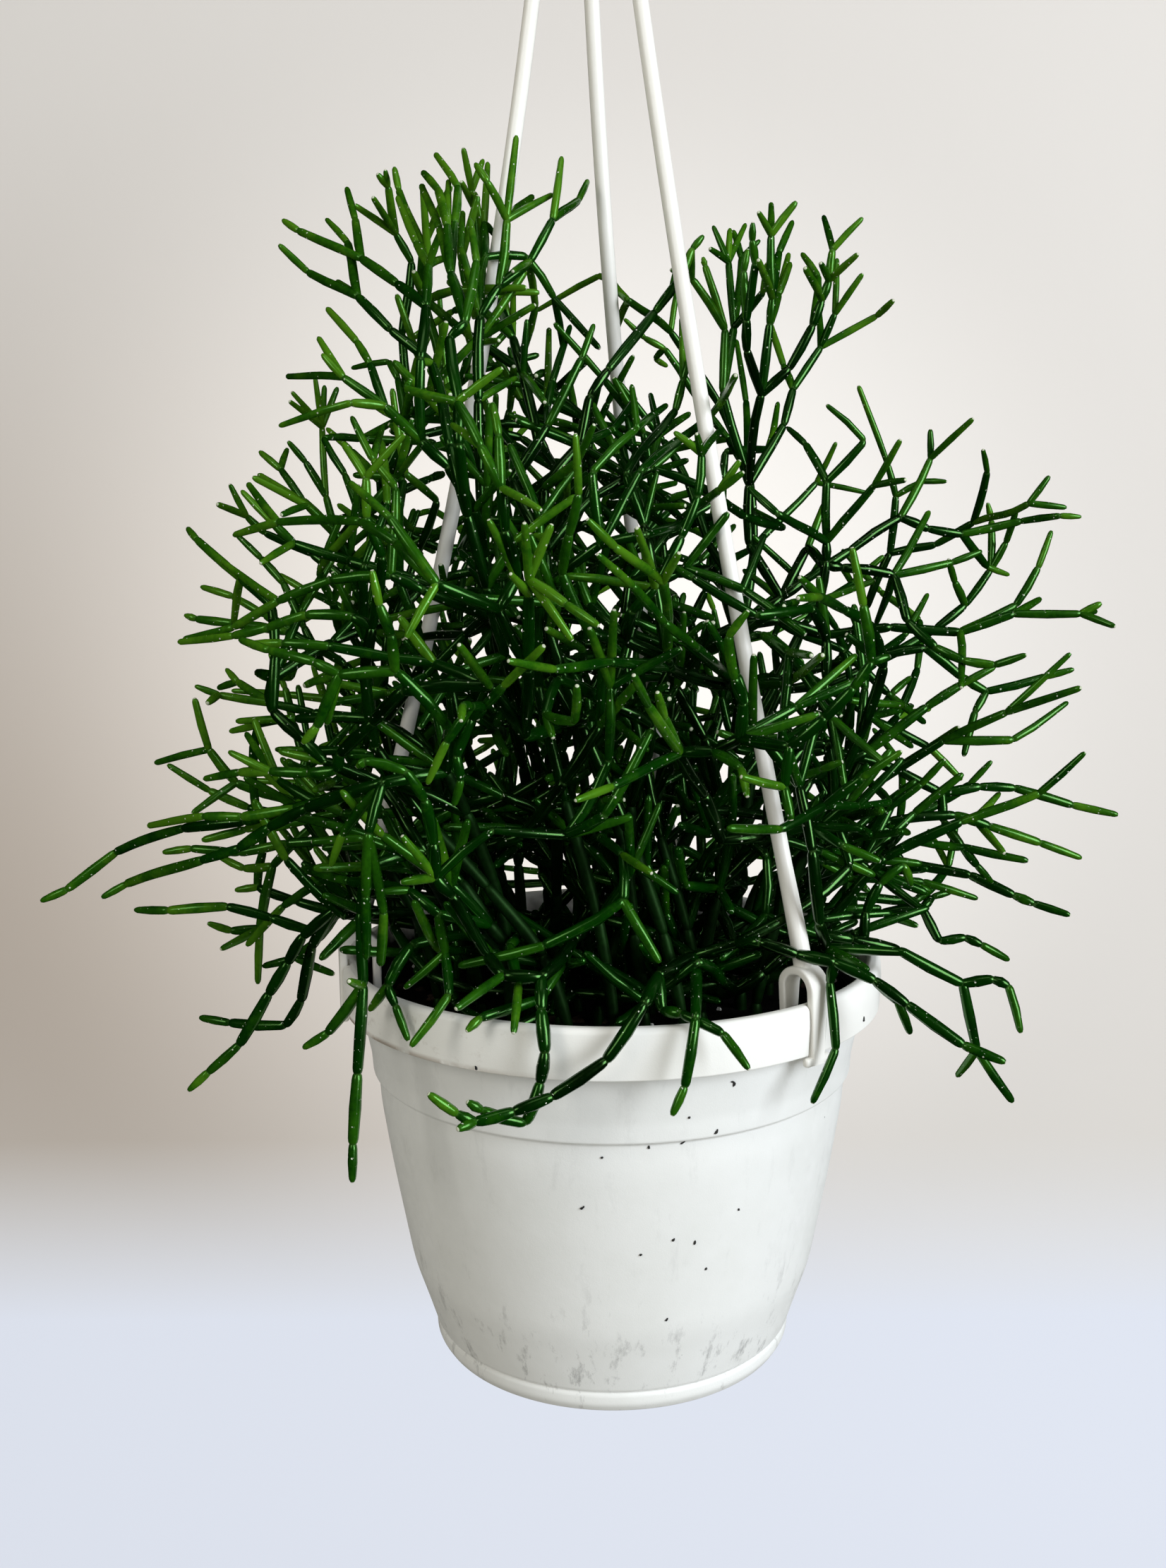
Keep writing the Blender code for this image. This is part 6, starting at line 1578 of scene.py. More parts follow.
def stem_material(name):
    """Waxy green skin: dark when old or in painted shade and yellow-green when new, with pale joints, tips
    and specks.
    """
    n = Nodes(name)
    where = n.place()
    age_and_shade = n.attribute("age_and_shade")
    patchy = n.noise(where, scale=0.11, detail=3)
    fine = n.noise(where, scale=0.9, detail=2)
    tone = n.math("ADD", n.math("MINIMUM", age_and_shade, 1.0), n.span(patchy, *NOISE, -PATCHY_TONE, PATCHY_TONE))
    tone = n.math("ADD", tone, n.span(fine, *NOISE, -FINE_TONE, FINE_TONE), clamp=True)
    green = n.ramp(tone, SKIN_GREENS)
    joint = n.span(n.attribute("ring"), *JOINT_REACH, 1.0, 0.0)
    green = n.mix(n.times(joint, JOINT_SHARE), green, JOINT_GREEN)
    skin = n.attribute("skin", "Vector")
    cells = n.add("ShaderNodeTexVoronoi", {"Vector": skin, "Scale": 0.3}, voronoi_dimensions="2D")
    rare = n.add("ShaderNodeSeparateColor", {"Color": cells.outputs["Color"]}).outputs["Red"]
    size = n.span(rare, 0.3, 1.0, 0.0, SPECK_SIZE)
    speck = n.math("LESS_THAN", cells.outputs["Distance"], size)
    green = n.mix(n.times(speck, 0.9), green, SPECK_WHITE)
    green = n.mix(n.span(n.attribute("tip"), *TIP_EDGE), green, TIP_CREAM)
    n.set(Base_Color=green, Roughness=n.span(fine, *NOISE, 0.17, 0.25))
    n.set(Specular_IOR_Level=0.85, Specular_Tint=SKIN_SHEEN)
    n.set(Normal=n.bump(n.noise(where, scale=0.7, detail=2), strength=0.15, distance=0.0001))
    return n.mat


def woody_material():
    """Dull old skin at the foot of the stems, darkened nearly to black as painted shade."""
    n = Nodes("stem_woody")
    grain = n.noise(n.place(), scale=0.5, detail=4)
    n.set(Base_Color=n.ramp(grain, [(0.35, WOOD_DARK), (0.7, WOOD_PALE)]))
    n.set(Roughness=0.5, Specular_IOR_Level=0.3, Specular_Tint=WOOD_SHEEN)
    n.set(Normal=n.bump(grain, strength=0.3, distance=0.0002))
    return n.mat


def pot_material():
    """Matt white moulded plastic with a fine grain, small black specks, grey scuffs and soiled edges."""
    n = Nodes("pot_white")
    where = n.place()
    parts = n.add("ShaderNodeSeparateXYZ", {"Vector": where}).outputs
    z = n.math("SUBTRACT", parts["Z"], float(-HOOK_BEARING[2]))
    smudge = n.noise(where, scale=0.035, detail=4, rough=0.6)
    base = n.mix(n.span(smudge, *SMUDGES, 0.0, 0.4), POT_WHITE, POT_GREY)
    base = scuffed(n, base, where, z)
    base = specked(n, base, where)
    base = soiled_band(n, base, where, z, parts["X"])
    base = stained_inside(n, base, where, z)
    n.set(Base_Color=base, Roughness=n.span(n.noise(where, scale=0.4, detail=3), *NOISE, 0.42, 0.58))
    grain = n.noise(where, scale=2.6, detail=2)
    soft = n.noise(where, scale=0.12, detail=3)
    n.set(Normal=n.bump(n.math("ADD", n.times(grain, 0.25), soft), strength=0.18, distance=0.0006))
    return n.mat


def scuffed(n, base, where, z):
    """Grey scuffs, drawn out upright, most of them near the pot's foot."""
    upright = n.add("ShaderNodeMapping", {"Vector": where})
    upright.inputs["Scale"].default_value = SCUFF_STRETCH
    scuff = n.noise(upright.outputs[0], scale=0.16, detail=6, rough=0.75)
    low = n.span(z, SCUFF_TOP, SCUFF_BOTTOM, 0.15, 1.0)
    return n.mix(n.times(n.span(scuff, *SCUFFS), n.times(low, 0.75)), base, SCUFF_GREY)


def specked(n, base, where):
    """Small black specks, in the few places where a broad noise is high."""
    cells = n.add("ShaderNodeTexVoronoi", {"Vector": where, "Scale": 0.11})
    rare = n.span(n.noise(where, scale=0.05, detail=2), *SPECKED)
    speck = n.times(n.span(cells.outputs["Distance"], *SPECK_EDGE, 1.0, 0.0), rare)
    return n.mix(n.times(speck, 0.85), base, SPECK_BLACK)


def soiled_band(n, base, where, z, x):
    """The rim band, whitened as painted light against the shade the crown casts on it, with dirt along its
    lower edge and grime on it, both towards the left.
    """
    band = n.span(z, -1.5, 0.5)
    # painted light: the band is whitened against the shade the crown casts on it
    base = n.mix(n.times(band, 0.85), base, BAND_WHITE_PAINTED_LIGHT)
    edge = n.math("ABSOLUTE", n.math("SUBTRACT", z, BAND_EDGE))
    left = n.span(x, DIRT_LEFT, DIRT_RIGHT, 1.0, 0.0)
    blots = n.span(n.noise(where, scale=0.12, detail=4), *DIRT_BLOTS)
    dirt = n.times(n.span(edge, *DIRT_FADE, 0.85, 0.0), n.times(blots, left))
    grime = n.times(n.span(n.noise(where, scale=0.3, detail=6, rough=0.75), *GRIME, 0.0, 0.4), band)
    return n.mix(n.math("MAXIMUM", dirt, n.times(grime, left)), base, DIRT_BROWN)


def stained_inside(n, base, where, z):
    """The inner wall is black with soil, up to an uneven line below the rim."""
    flat = n.add("ShaderNodeVectorMath", {0: where, 1: (1.0, 1.0, 0.0)}, operation="MULTIPLY").outputs[0]
    axis = n.distance(flat, (float(-HOOK_BEARING[0]), float(-HOOK_BEARING[1]), 0.0))
    within = n.span(n.math("ADD", axis, n.times(z, -WALL_DRAFT)), *INNER_WALL, 1.0, 0.0)
    height = n.math("ADD", z, n.span(n.noise(where, scale=0.09, detail=3), *NOISE, -STAIN_WAVE, STAIN_WAVE))
    stained = n.times(n.span(height, *STAIN_FADE, 1.0, 0.0), n.span(z, -1.0, -0.5))
    return n.mix(n.times(within, stained), base, SOIL_STAIN)


def crumb_material():
    """Dry black scraps of soil."""
    n = Nodes("soil_crumbs")
    grain = n.noise(n.place(), scale=2.0, detail=3)
    n.set(Base_Color=n.mix(n.span(grain, *GRAIN), CRUMB_BLACK, CRUMB_GREY))
    n.set(Roughness=0.8, Normal=n.bump(grain, strength=0.5, distance=0.0002))
    return n.mat


def hanger_material():
    """Smooth off-white moulded plastic."""
    n = Nodes("hanger_white")
    where = n.place()
    soft = n.noise(where, scale=0.05, detail=3)
    n.set(Base_Color=n.mix(n.span(soft, 0.35, 0.7, 0.0, 0.35), HANGER_WHITE, HANGER_SHADE))
    n.set(Roughness=n.span(n.noise(where, scale=0.5, detail=3), *NOISE, 0.3, 0.42))
    n.set(Normal=n.bump(n.noise(where, scale=0.35, detail=3), strength=0.12, distance=0.0005))
    return n.mat


def soil_material():
    """Soil with coarse crumbs, darkened to near black as painted shade."""
    n = Nodes("potting_soil")
    where = n.place()
    crumbs = n.noise(where, scale=0.5, detail=6, rough=0.7)
    n.set(Base_Color=n.ramp(crumbs, SOIL_SHADE_COLOURS))
    n.set(Roughness=0.95, Specular_IOR_Level=0.1, Normal=n.bump(crumbs, strength=1.0, distance=0.002))
    return n.mat


def perlite_material():
    """Chalky white grains."""
    n = Nodes("perlite")
    where = n.place()
    grain = n.noise(where, scale=1.4, detail=4)
    n.set(Base_Color=n.mix(n.span(grain, *GRAIN), PERLITE_SHADE, PERLITE_WHITE))
    n.set(Roughness=0.9, Normal=n.bump(grain, strength=0.6, distance=0.0005))
    return n.mat


def bark_material():
    """Dark red-brown chips."""
    n = Nodes("bark")
    where = n.place()
    grain = n.noise(where, scale=0.8, detail=5, rough=0.65)
    n.set(Base_Color=n.ramp(grain, [(0.3, BARK_DARK), (0.7, BARK_RED)]))
    n.set(Roughness=0.85, Specular_IOR_Level=0.2, Normal=n.bump(grain, strength=0.8, distance=0.001))
    return n.mat


# Meshes

def bridged(lower, upper):
    """Faces between two rings of as many points."""
    count = len(lower)
    return [(lower[k], lower[(k + 1) % count], upper[(k + 1) % count], upper[k]) for k in range(count)]


def tube_faces(first, count, sides):
    """Faces of a closed tube of rings, whose points are numbered from first."""
    rings = [range(first + i * sides, first + (i + 1) * sides) for i in range(count)]
    faces = [face for lower, upper in zip(rings, rings[1:]) for face in bridged(lower, upper)]
    return faces + [tuple(reversed(rings[0])), tuple(rings[-1])]


def radial(azimuth):
    """Ways outward and sideways at an azimuth round the pot, in degrees from its front."""
    a = math.radians(azimuth)
    return np.array([math.sin(a), -math.cos(a), 0.0]), np.array([math.cos(a), math.sin(a), 0.0])


# Stems

CUT_SIDES = 8
# fine stems' radius by the number of joints above, and an inner stem's least radius
FULL_RADII = [0.98, 1.14, 1.24, 1.32, 1.38, 1.42, 1.46, 1.5, 1.54]
INNER_RADIUS = 1.16
# how much stouter stems are at the soil than at this height, and up from there
LOW_STOUT = 0.23
STOUT_TOP = 150
SLENDER = 0.93
# rings at the two ends of a joint: how far past the end and how wide, in radii
LOWER_RINGS = [(-0.42, 0.3), (-0.14, 0.58), (0.28, 0.82), (1.0, 0.93)]
UPPER_RINGS = [(-1.0, 0.95), (-0.3, 0.83), (0.12, 0.6)]
JOINED_RINGS = [(0.4, 0.3)]
TIP_RINGS = [(0.36, 0.5), (0.48, 0.28)]
TIP_LENGTH = 2.2
# a joint's girth between its ends, what moves its widest place down, and the distance between
# rings there
WAIST = 0.93
SWELL = 0.16
SWELL_LOW = 0.8
RING_STEP = 7
# a way that no stem or strand runs along, to start the turn of its sections from
SKEW = [0.31, 0.17, 0.93]
# a distance from any joint at which the skin isn't pale, for free ends
NO_RING = 9.0
# share of the way of the next joint and of the last one in a joint's own bend
BEND_ON = 0.35
BEND_FORK = 0.12
WOODY_TOP = 78
BARE_TIPS_TOP = 80
# how far the skin's pattern is shifted from one joint to the next, along it and round it, and
# after how many joints it comes again
SKIN_SHIFT = 17.0
SKIN_SLANT = 0.37
SKIN_CYCLE = 97
# a joint's girth by chance, how much wider than its end it may start, its girth at either end,
# and how thin a free end may be
GIRTH = (0.95, 1.07)
BASE_WIDER = 0.22
BASE_GIRTH = 0.96
END_GIRTH = 1.02
TIP_GIRTH = (0.82, 1.0)
# how much the joints above count beside the straightness in choosing the joint straight ahead
AHEAD_BY_JOINTS = 0.6
# a joint's age and painted shade, 0 new and yellow-green, 1 old or deep in shade and nearly black: what it is
# by chance and at least, what the joints above and standing low add to it, and the painted shade added to
# inner stems standing low, within the crown, at the right and at the foot
AGE_CHANCE = (-0.16, 0.2)
AGE_LEAST = 0.04
AGE_BY_JOINTS = 0.13
AGE_BY_JOINTS_MOST = 0.6
AGE_LOW_TOP = 170
AGE_LOW = 0.06
AGE_LOW_END = 0.03
SHADE_LOW_INNER = 0.18
SHADE_WITHIN = 0.45
SHADE_WITHIN_TOP = 0.1
SHADE_WITHIN_REACH = 0.8
SHADE_WITHIN_HEIGHT = 190
SHADE_RIGHT = 0.14
SHADE_RIGHT_REACH = 60
SHADE_FOOT = 0.17
SHADE_FOOT_TOP = 30
SHADE_FOOT_FADE = 40


def bowed(p, q, leave, arrive, shares):
    """Points and ways along a gently bent joint from p to q."""
    d = np.linalg.norm(q - p)
    a = p + leave * d / 3
    b = q - arrive * d / 3
    out = []
    for s in shares:
        r = 1 - s
        spot = p * r**3 + 3 * a * s * r**2 + 3 * b * s * s * r + q * s**3
        way = unit((a - p) * r**2 + 2 * (b - a) * s * r + (q - b) * s * s)
        out.append((spot, way))
    return out


def joint_profile(length, base, end, free_end):
    """Rings along a joint: where each stands, in mm, and its radius."""
    rings = [(past * base, wide * base) for past, wide in LOWER_RINGS]
    inner = max(2, round((length - 2 * base) / RING_STEP))
    for k in range(1, inner):
        share = k / inner
        swell = WAIST + SWELL * math.sin(math.pi * share**SWELL_LOW)
        spot = base + (length - base - end) * share
        rings.append((spot, (base + (end - base) * share) * swell))
    last = UPPER_RINGS + (TIP_RINGS if free_end else JOINED_RINGS)
    return rings + [(length + past * end, wide * end) for past, wide in last]


class StemMesh:
    """Gathers the joints of one clump into one mesh, with what the skin needs to know."""

    def __init__(self):
        self.points, self.faces, self.woody = [], [], []
        self.values = {"age_and_shade": [], "ring": [], "tip": [], "skin": []}

    def joint(self, p, q, leave, arrive, base, end, age_and_shade, free_end, cream, shift, woody):
        """One joint from p to q, closed at both ends, whose rounded ends sink into its neighbours."""
        length = float(np.linalg.norm(q - p))
        profile = joint_profile(length, base, end, free_end)
        shares = [min(max(where / length, 0.0), 1.0) for where, _ in profile]
        line = bowed(p, q, leave, arrive, shares)
        across = np.cross(line[0][1], SKEW)
        start = len(self.points)
        sides = CUT_SIDES
        for (where, radius), (spot, way) in zip(profile, line):
            beyond = min(where, 0.0) + max(where - length, 0.0)
            spot = spot + way * beyond
            across = unit(across - way * np.dot(across, way))
            up = np.cross(way, across)
            ring = NO_RING if free_end and where > length / 2 else min(abs(where), abs(length - where))
            top = length + TIP_RINGS[-1][0] * end
            tip = max(0.0, 1 - (top - where) / (TIP_LENGTH * end)) if cream else 0.0
            for k in range(sides):
                a = 2 * math.pi * k / sides
                self.points.append(spot + (across * math.cos(a) + up * math.sin(a)) * radius)
                self.values["age_and_shade"].append(age_and_shade)
                self.values["ring"].append(ring)
                self.values["tip"].append(tip)
                self.values["skin"].append((where + shift, a * radius + shift * SKIN_SLANT, 0.0))
        self.faces += tube_faces(start, len(profile), sides)
        self.woody += [int(woody)] * (len(self.faces) - len(self.woody))


def full_radii(sk, listed):
    """Stem radius at each joint, by the joints above it; an inner stem is no thicker than its host."""
    radius = [FULL_RADII[min(h, len(FULL_RADII) - 1)] for h in heights(sk)]
    for i in range(len(listed), len(radius)):
        radius[i] = min(max(radius[i], INNER_RADIUS), radius[sk.below[i]])
    for i, h in enumerate(listed):
        radius[i] = FULL_RADII[min(h, len(FULL_RADII) - 1)]
    return radius


def age_and_shade_at(q, high, inner, chance):
    """Age and painted shade of the skin at a joint: older with more joints above and darker low down, with
    painted shade within the crown, on low inner stems, at the right and at the foot.
    """
    inside = max(0.0, 1 - math.hypot(q[0], q[1]) / (SHADE_WITHIN_REACH * reach_at(q[2]) + 1))
    low = max(0.0, 1 - q[2] / AGE_LOW_TOP)
    age_and_shade = AGE_LEAST + min(AGE_BY_JOINTS_MOST, AGE_BY_JOINTS * high) + (AGE_LOW if high else AGE_LOW_END) * low
    # painted shade: darker within the crown, on low inner stems, at the right against the window's light, and
    # at the foot
    age_and_shade += chance + inside * (SHADE_WITHIN if q[2] < SHADE_WITHIN_HEIGHT else SHADE_WITHIN_TOP)
    age_and_shade += SHADE_RIGHT * held(q[0] / SHADE_RIGHT_REACH) + (SHADE_LOW_INNER * low if inner else 0.0)
    age_and_shade += SHADE_FOOT * held((SHADE_FOOT_TOP - q[2]) / SHADE_FOOT_FADE)
    return max(0.0, age_and_shade)


def dress_plant(sk, listed):
    """A fine piece in the place of each clump's node."""
    rng = random.Random(SEED + 2)
    high, kids = heights(sk), sk.kids()
    radius = full_radii(sk, listed)
    feet = [i for i, b in enumerate(sk.below) if b < 0]
    skin, wood = stem_material("stem_skin"), woody_material()
    ahead = {}
    for i in range(len(sk.spot)):
        if kids[i]:
            way = sk.way(i)
            ahead[i] = max(kids[i], key=lambda k: high[k] * AHEAD_BY_JOINTS + float(np.dot(way, sk.way(k))))
    for number, foot in enumerate(feet, 1):
        gather = StemMesh()
        for i in sk.above(foot, kids):
            if i == foot:
                continue
            b = sk.below[i]
            p, q = sk.spot[b], sk.spot[i]
            way = unit(q - p)
            onward = ahead.get(b) == i and b != foot
            leave = unit(way + (BEND_ON if onward else BEND_FORK) * sk.way(b))
            arrive = unit(way + BEND_ON * sk.way(ahead[i])) if i in ahead else way
            free_end = not kids[i]
            inner = sk.kind[i] == "inner"
            size = rng.uniform(*GIRTH) * (SLENDER + LOW_STOUT * held(1 - q[2] / STOUT_TOP))
            base = min(radius[b], radius[i] + BASE_WIDER) * BASE_GIRTH * size
            end = radius[i] * size * (rng.uniform(*TIP_GIRTH) if free_end else END_GIRTH)
            age_and_shade = age_and_shade_at(q, high[i], inner, rng.uniform(*AGE_CHANCE))
            woody = q[2] < WOODY_TOP and (sk.kind[i] in ("root", "link") or sk.kind[b] == "root")
            cream = free_end and not (inner and q[2] < BARE_TIPS_TOP)
            shift = SKIN_SHIFT * (i % SKIN_CYCLE)
            gather.joint(p, q, leave, arrive, base, end, age_and_shade, free_end, cream, shift, woody)
        name = f"stem_{number:02d}"
        piece = piece_from("living_" + name, gather.points, gather.faces, skin, [name],
                           attributes=gather.values)
        piece.data.materials.append(wood)
        piece.data.polygons.foreach_set("material_index", gather.woody)


# Pot and soil

def rounded(profile, radii, steps=4):
    """A closed profile with some of its corners turned into arcs."""
    out = []
    count = len(profile)
    for i, (corner, radius) in enumerate(zip(profile, radii)):
        p = np.array(corner, float)
        if not radius:
            out.append(tuple(p))
            continue
        before = np.array(profile[i - 1], float) - p
        after = np.array(profile[(i + 1) % count], float) - p
        reach = min(radius, np.linalg.norm(before) * 0.45, np.linalg.norm(after) * 0.45)
        a = p + before / np.linalg.norm(before) * reach
        b = p + after / np.linalg.norm(after) * reach
        for k in range(steps + 1):
            s = k / steps
            out.append(tuple(a * (1 - s)**2 + 2 * p * s * (1 - s) + b * s * s))
    return out


def turned_faces(profile, sides):
    """Points and faces of a solid of revolution from a closed profile."""
    points, faces, rings = [], [], []
    for radius, height in profile:
        count = sides if radius > 1e-6 else 1
        rings.append(list(range(len(points), len(points) + count)))
        for k in range(count):
            a = 2 * math.pi * k / sides
            points.append((radius * math.cos(a), radius * math.sin(a), height))
    for lower, upper in zip(rings, rings[1:] + rings[:1]):
        if len(lower) > 1 and len(upper) > 1:
            faces += bridged(lower, upper)
        elif len(upper) > 1:
            faces += [(lower[0], upper[k], upper[(k + 1) % sides]) for k in range(sides)]
        elif len(lower) > 1:
            faces += [(lower[k], lower[(k + 1) % sides], upper[0]) for k in range(sides)]
    return points, faces


def mesh_object(name, points, faces):
    """A mesh object with its faces turned outward, which is no piece yet."""
    mesh = bpy.data.meshes.new(name)
    mesh.from_pydata(to_frame(points).tolist(), [], faces)
    bm = bmesh.new()
    bm.from_mesh(mesh)
    bmesh.ops.recalc_face_normals(bm, faces=bm.faces)
    bm.to_mesh(mesh)
    bm.free()
    obj = bpy.data.objects.new(name, mesh)
    bpy.context.scene.collection.objects.link(obj)
    return obj


def apply_boolean(obj, others, operation):
    """Join others to an object or cut them from it, and remove them."""
    helpers = bpy.data.collections.new(obj.name + "_helpers")
    bpy.context.scene.collection.children.link(helpers)
    for other in others:
        bpy.context.scene.collection.objects.unlink(other)
        helpers.objects.link(other)
    modifier = obj.modifiers.new("combine", "BOOLEAN")
    modifier.operation = operation
    modifier.operand_type = "COLLECTION"
    modifier.collection = helpers
    modifier.solver = "EXACT"
    graph = bpy.context.evaluated_depsgraph_get()
    mesh = bpy.data.meshes.new_from_object(obj.evaluated_get(graph))
    obj.modifiers.clear()
    obj.data = mesh
    for other in others:
        bpy.data.objects.remove(other)
    bpy.data.collections.remove(helpers)


def radial_block(azimuth, near, far, width, low, high):
    """Corners and faces of a block that stands across a radius of the pot."""
    out, side = radial(azimuth)
    points = [out * r + side * w + np.array([0, 0, z])
              for r in (near, far) for w in (-width / 2, width / 2) for z in (low, high)]
    faces = [(0, 1, 3, 2), (4, 6, 7, 5), (0, 4, 5, 1), (2, 3, 7, 6), (0, 2, 6, 4), (1, 5, 7, 3)]
    return points, faces


# The bead round the pot's foot: radius, height and the rounding of each corner
FOOT_BEAD = [((53.3, -96.6), 1.2), ((52.3, -97.5), 0.5), ((53.0, -98.4), 0.6), ((53.0, -101.0), 1.0),
             ((FOOT_RADIUS, POT_BOTTOM), 0.6)]
# Rounding of the corners of the outer wall above the bead
WALL_ROUNDING = [1.0, 1.2, 0.6, 0.6, 5.0, 8.0, 8.0, 5.0]
FINE_SIDES = 180
# The rounding of the inner wall's corners, and the angles past which an edge is sharp
INNER_ROUNDING = 0.4
POT_SHARP = math.radians(32)
HANGER_SHARP = math.radians(40)
# How far the cutters for notches and drain holes reach past what they cut
CUT_PAST = 5
NOTCH_PAST = 6
NOTCH_HEIGHTS = (-3, 20)
DRAIN_SIDES = 24
DRAIN_START = 0.25


def dress_pot(mat):
    """The pot as one turned wall with rounded corners, notched for the clips and drained."""
    rim = [((RIM_RADIUS - BAND_WALL, 11.6), 0.4), ((RIM_RADIUS - BAND_WALL, 0.0), 0.3),
           ((RIM_RADIUS, 0.0), 0.5),
           ((RIM_RADIUS + RIM_BULGE, 8.5), 2.5), ((RIM_RADIUS + 0.1, 12.4), 1.0),
           ((RIM_RADIUS - 0.9, RIM_TOP), 0.8), ((LIP_INNER_RADIUS + 0.9, RIM_TOP), 0.8),
           ((LIP_INNER_RADIUS, 12.4), 0.8)]
    inner = [((radius - POT_WALL, height), INNER_ROUNDING) for radius, height in OUTER_WALL[1:7]]
    floor = [((FOOT_RADIUS, FLOOR_TOP), 1.2), ((0.0, FLOOR_TOP), 0), ((0.0, FLOOR_TOP - FLOOR_THICK), 0),
             ((FOOT_INNER_RADIUS - 0.8, FLOOR_TOP - FLOOR_THICK), 0.4),
             ((FOOT_INNER_RADIUS, POT_BOTTOM), 0.4)]
    wall = list(zip(OUTER_WALL, WALL_ROUNDING)) + FOOT_BEAD
    wall.reverse()
    rows = rim + inner + floor + wall
    profile = rounded([p for p, _ in rows], [r for _, r in rows])
    pot = mesh_object("pot_shell", *turned_faces(profile, FINE_SIDES))
    far = RIM_RADIUS + NOTCH_PAST
    cutters = [mesh_object("notch", *radial_block(azimuth, NOTCH_RADIUS, far, NOTCH_WIDTH, *NOTCH_HEIGHTS))
               for azimuth, _ in STRANDS.values()]
    low, high = POT_BOTTOM - CUT_PAST, FLOOR_TOP + CUT_PAST
    hole = [(0, low), (DRAIN_RADIUS, low), (DRAIN_RADIUS, high), (0, high)]
    for k in range(DRAIN_HOLES):
        a = 2 * math.pi * (k + DRAIN_START) / DRAIN_HOLES
        points, faces = turned_faces(hole, DRAIN_SIDES)
        centre = np.array([DRAIN_RING * math.cos(a), DRAIN_RING * math.sin(a), 0.0])
        cutters.append(mesh_object("drain", np.array(points) + centre, faces))
    apply_boolean(pot, cutters, "DIFFERENCE")
    pot.data.shade_smooth()
    pot.data.set_sharp_from_angle(angle=POT_SHARP)
    return place_piece(pot, mat, ["pot"])


# The soil's fine mesh, and the heights of its grains and of its lumps
SOIL_FINE_SIDES = 96
SOIL_RINGS = 26
SOIL_ROUGH = 0.5
SOIL_LUMPS = 0.45


def soil_height(x, y):
    """Lumpy surface of the soil: broad waves across each other, and finer slanting ones."""
    wave = math.sin(x * 0.19 + 1.3) * math.cos(y * 0.16 - 0.4) + 0.6 * math.sin(x * 0.43 - y * 0.37)
    return SOIL_TOP + SOIL_LUMPS * wave


def dress_soil(mat):
    """The soil's lumpy top, and its plain body inside the pot's wall."""
    rng = random.Random(SEED + 3)
    sides = SOIL_FINE_SIDES
    points, faces, rings = [(0, 0, soil_height(0, 0))], [], []
    for ring in range(1, SOIL_RINGS + 1):
        r = SOIL_RADIUS * ring / SOIL_RINGS
        rings.append(list(range(len(points), len(points) + sides)))
        for k in range(sides):
            a = 2 * math.pi * k / sides
            x, y = r * math.cos(a), r * math.sin(a)
            edge = 0.0 if ring == SOIL_RINGS else 1.0
            points.append((x, y, soil_height(x, y) * edge + edge * rng.uniform(-SOIL_ROUGH, SOIL_ROUGH)))
    ledge = (OUTER_WALL[3][0], OUTER_WALL[2][1])
    walls = [(radius - SOIL_INSET, height) for radius, height in (OUTER_WALL[1], ledge)]
    walls += [(radius - SOIL_INSET, height) for radius, height in OUTER_WALL[4:7]]
    walls.append((FOOT_RADIUS - SOIL_FOOT_INSET, FLOOR_TOP + SOIL_FLOOR_GAP))
    for radius, height in walls:
        rings.append(list(range(len(points), len(points) + sides)))
        for k in range(sides):
            a = 2 * math.pi * k / sides
            points.append((radius * math.cos(a), radius * math.sin(a), height))
    for k in range(sides):
        faces.append((0, rings[0][k], rings[0][(k + 1) % sides]))
    for upper, lower in zip(rings, rings[1:]):
        for k in range(sides):
            n = (k + 1) % sides
            faces.append((upper[k], lower[k], lower[n], upper[n]))
    faces.append(tuple(reversed(rings[-1])))
    return piece_from("soil_fill", points, faces, mat, ["soil"])


# A chip: how high it lies, its corners, how far from the soil's edge, its sizes, its width at
# its ends and across, how uneven its widths, heights and corners are, and how it tips and turns
CHIP_HEAP = 0.35
CHIP_SIDES = 6
CHIP_EDGE = 2.5
CHIP_SIZES = (0.45, 1.25)
CHIP_ENDS = 0.62
CHIP_ACROSS = 0.72
CHIP_UNEVEN = (0.75, 1.15)
CHIP_RISES = (0.8, 1.1)
CHIP_CORNERS = 0.25
CHIP_TIP = 0.5
CHIP_TURN = 6.28


def chips(name, count, size, flat, mat, seed):
    """Loose irregular bits strewn over the soil, each a small uneven block half sunk in it."""
    rng = random.Random(seed)
    points, faces = [], []
    for _ in range(count):
        r = (SOIL_RADIUS - CHIP_EDGE) * math.sqrt(rng.random())
        a = rng.uniform(0, 2 * math.pi)
        x, y = r * math.cos(a), r * math.sin(a)
        s = size * rng.uniform(*CHIP_SIZES)
        turn = Matrix.Rotation(rng.uniform(0, CHIP_TURN), 3, "Z")
        turn = turn @ Matrix.Rotation(rng.gauss(0, CHIP_TIP), 3, "X")
        centre = Vector((x, y, soil_height(x, y) + s * flat * CHIP_HEAP))
        first = len(points)
        for level in (-1, 0, 1):
            for k in range(CHIP_SIDES):
                b = 2 * math.pi * (k + rng.uniform(-CHIP_CORNERS, CHIP_CORNERS)) / CHIP_SIDES
                wide = s * (CHIP_ENDS if level else 1.0) * rng.uniform(*CHIP_UNEVEN)
                rise = level * s * flat * rng.uniform(*CHIP_RISES)
                spot = turn @ Vector((wide * math.cos(b), wide * CHIP_ACROSS * math.sin(b), rise))
                points.append(tuple(centre + spot))
        faces += tube_faces(first, 3, CHIP_SIDES)
    return piece_from(name, points, faces, mat, smooth=False)


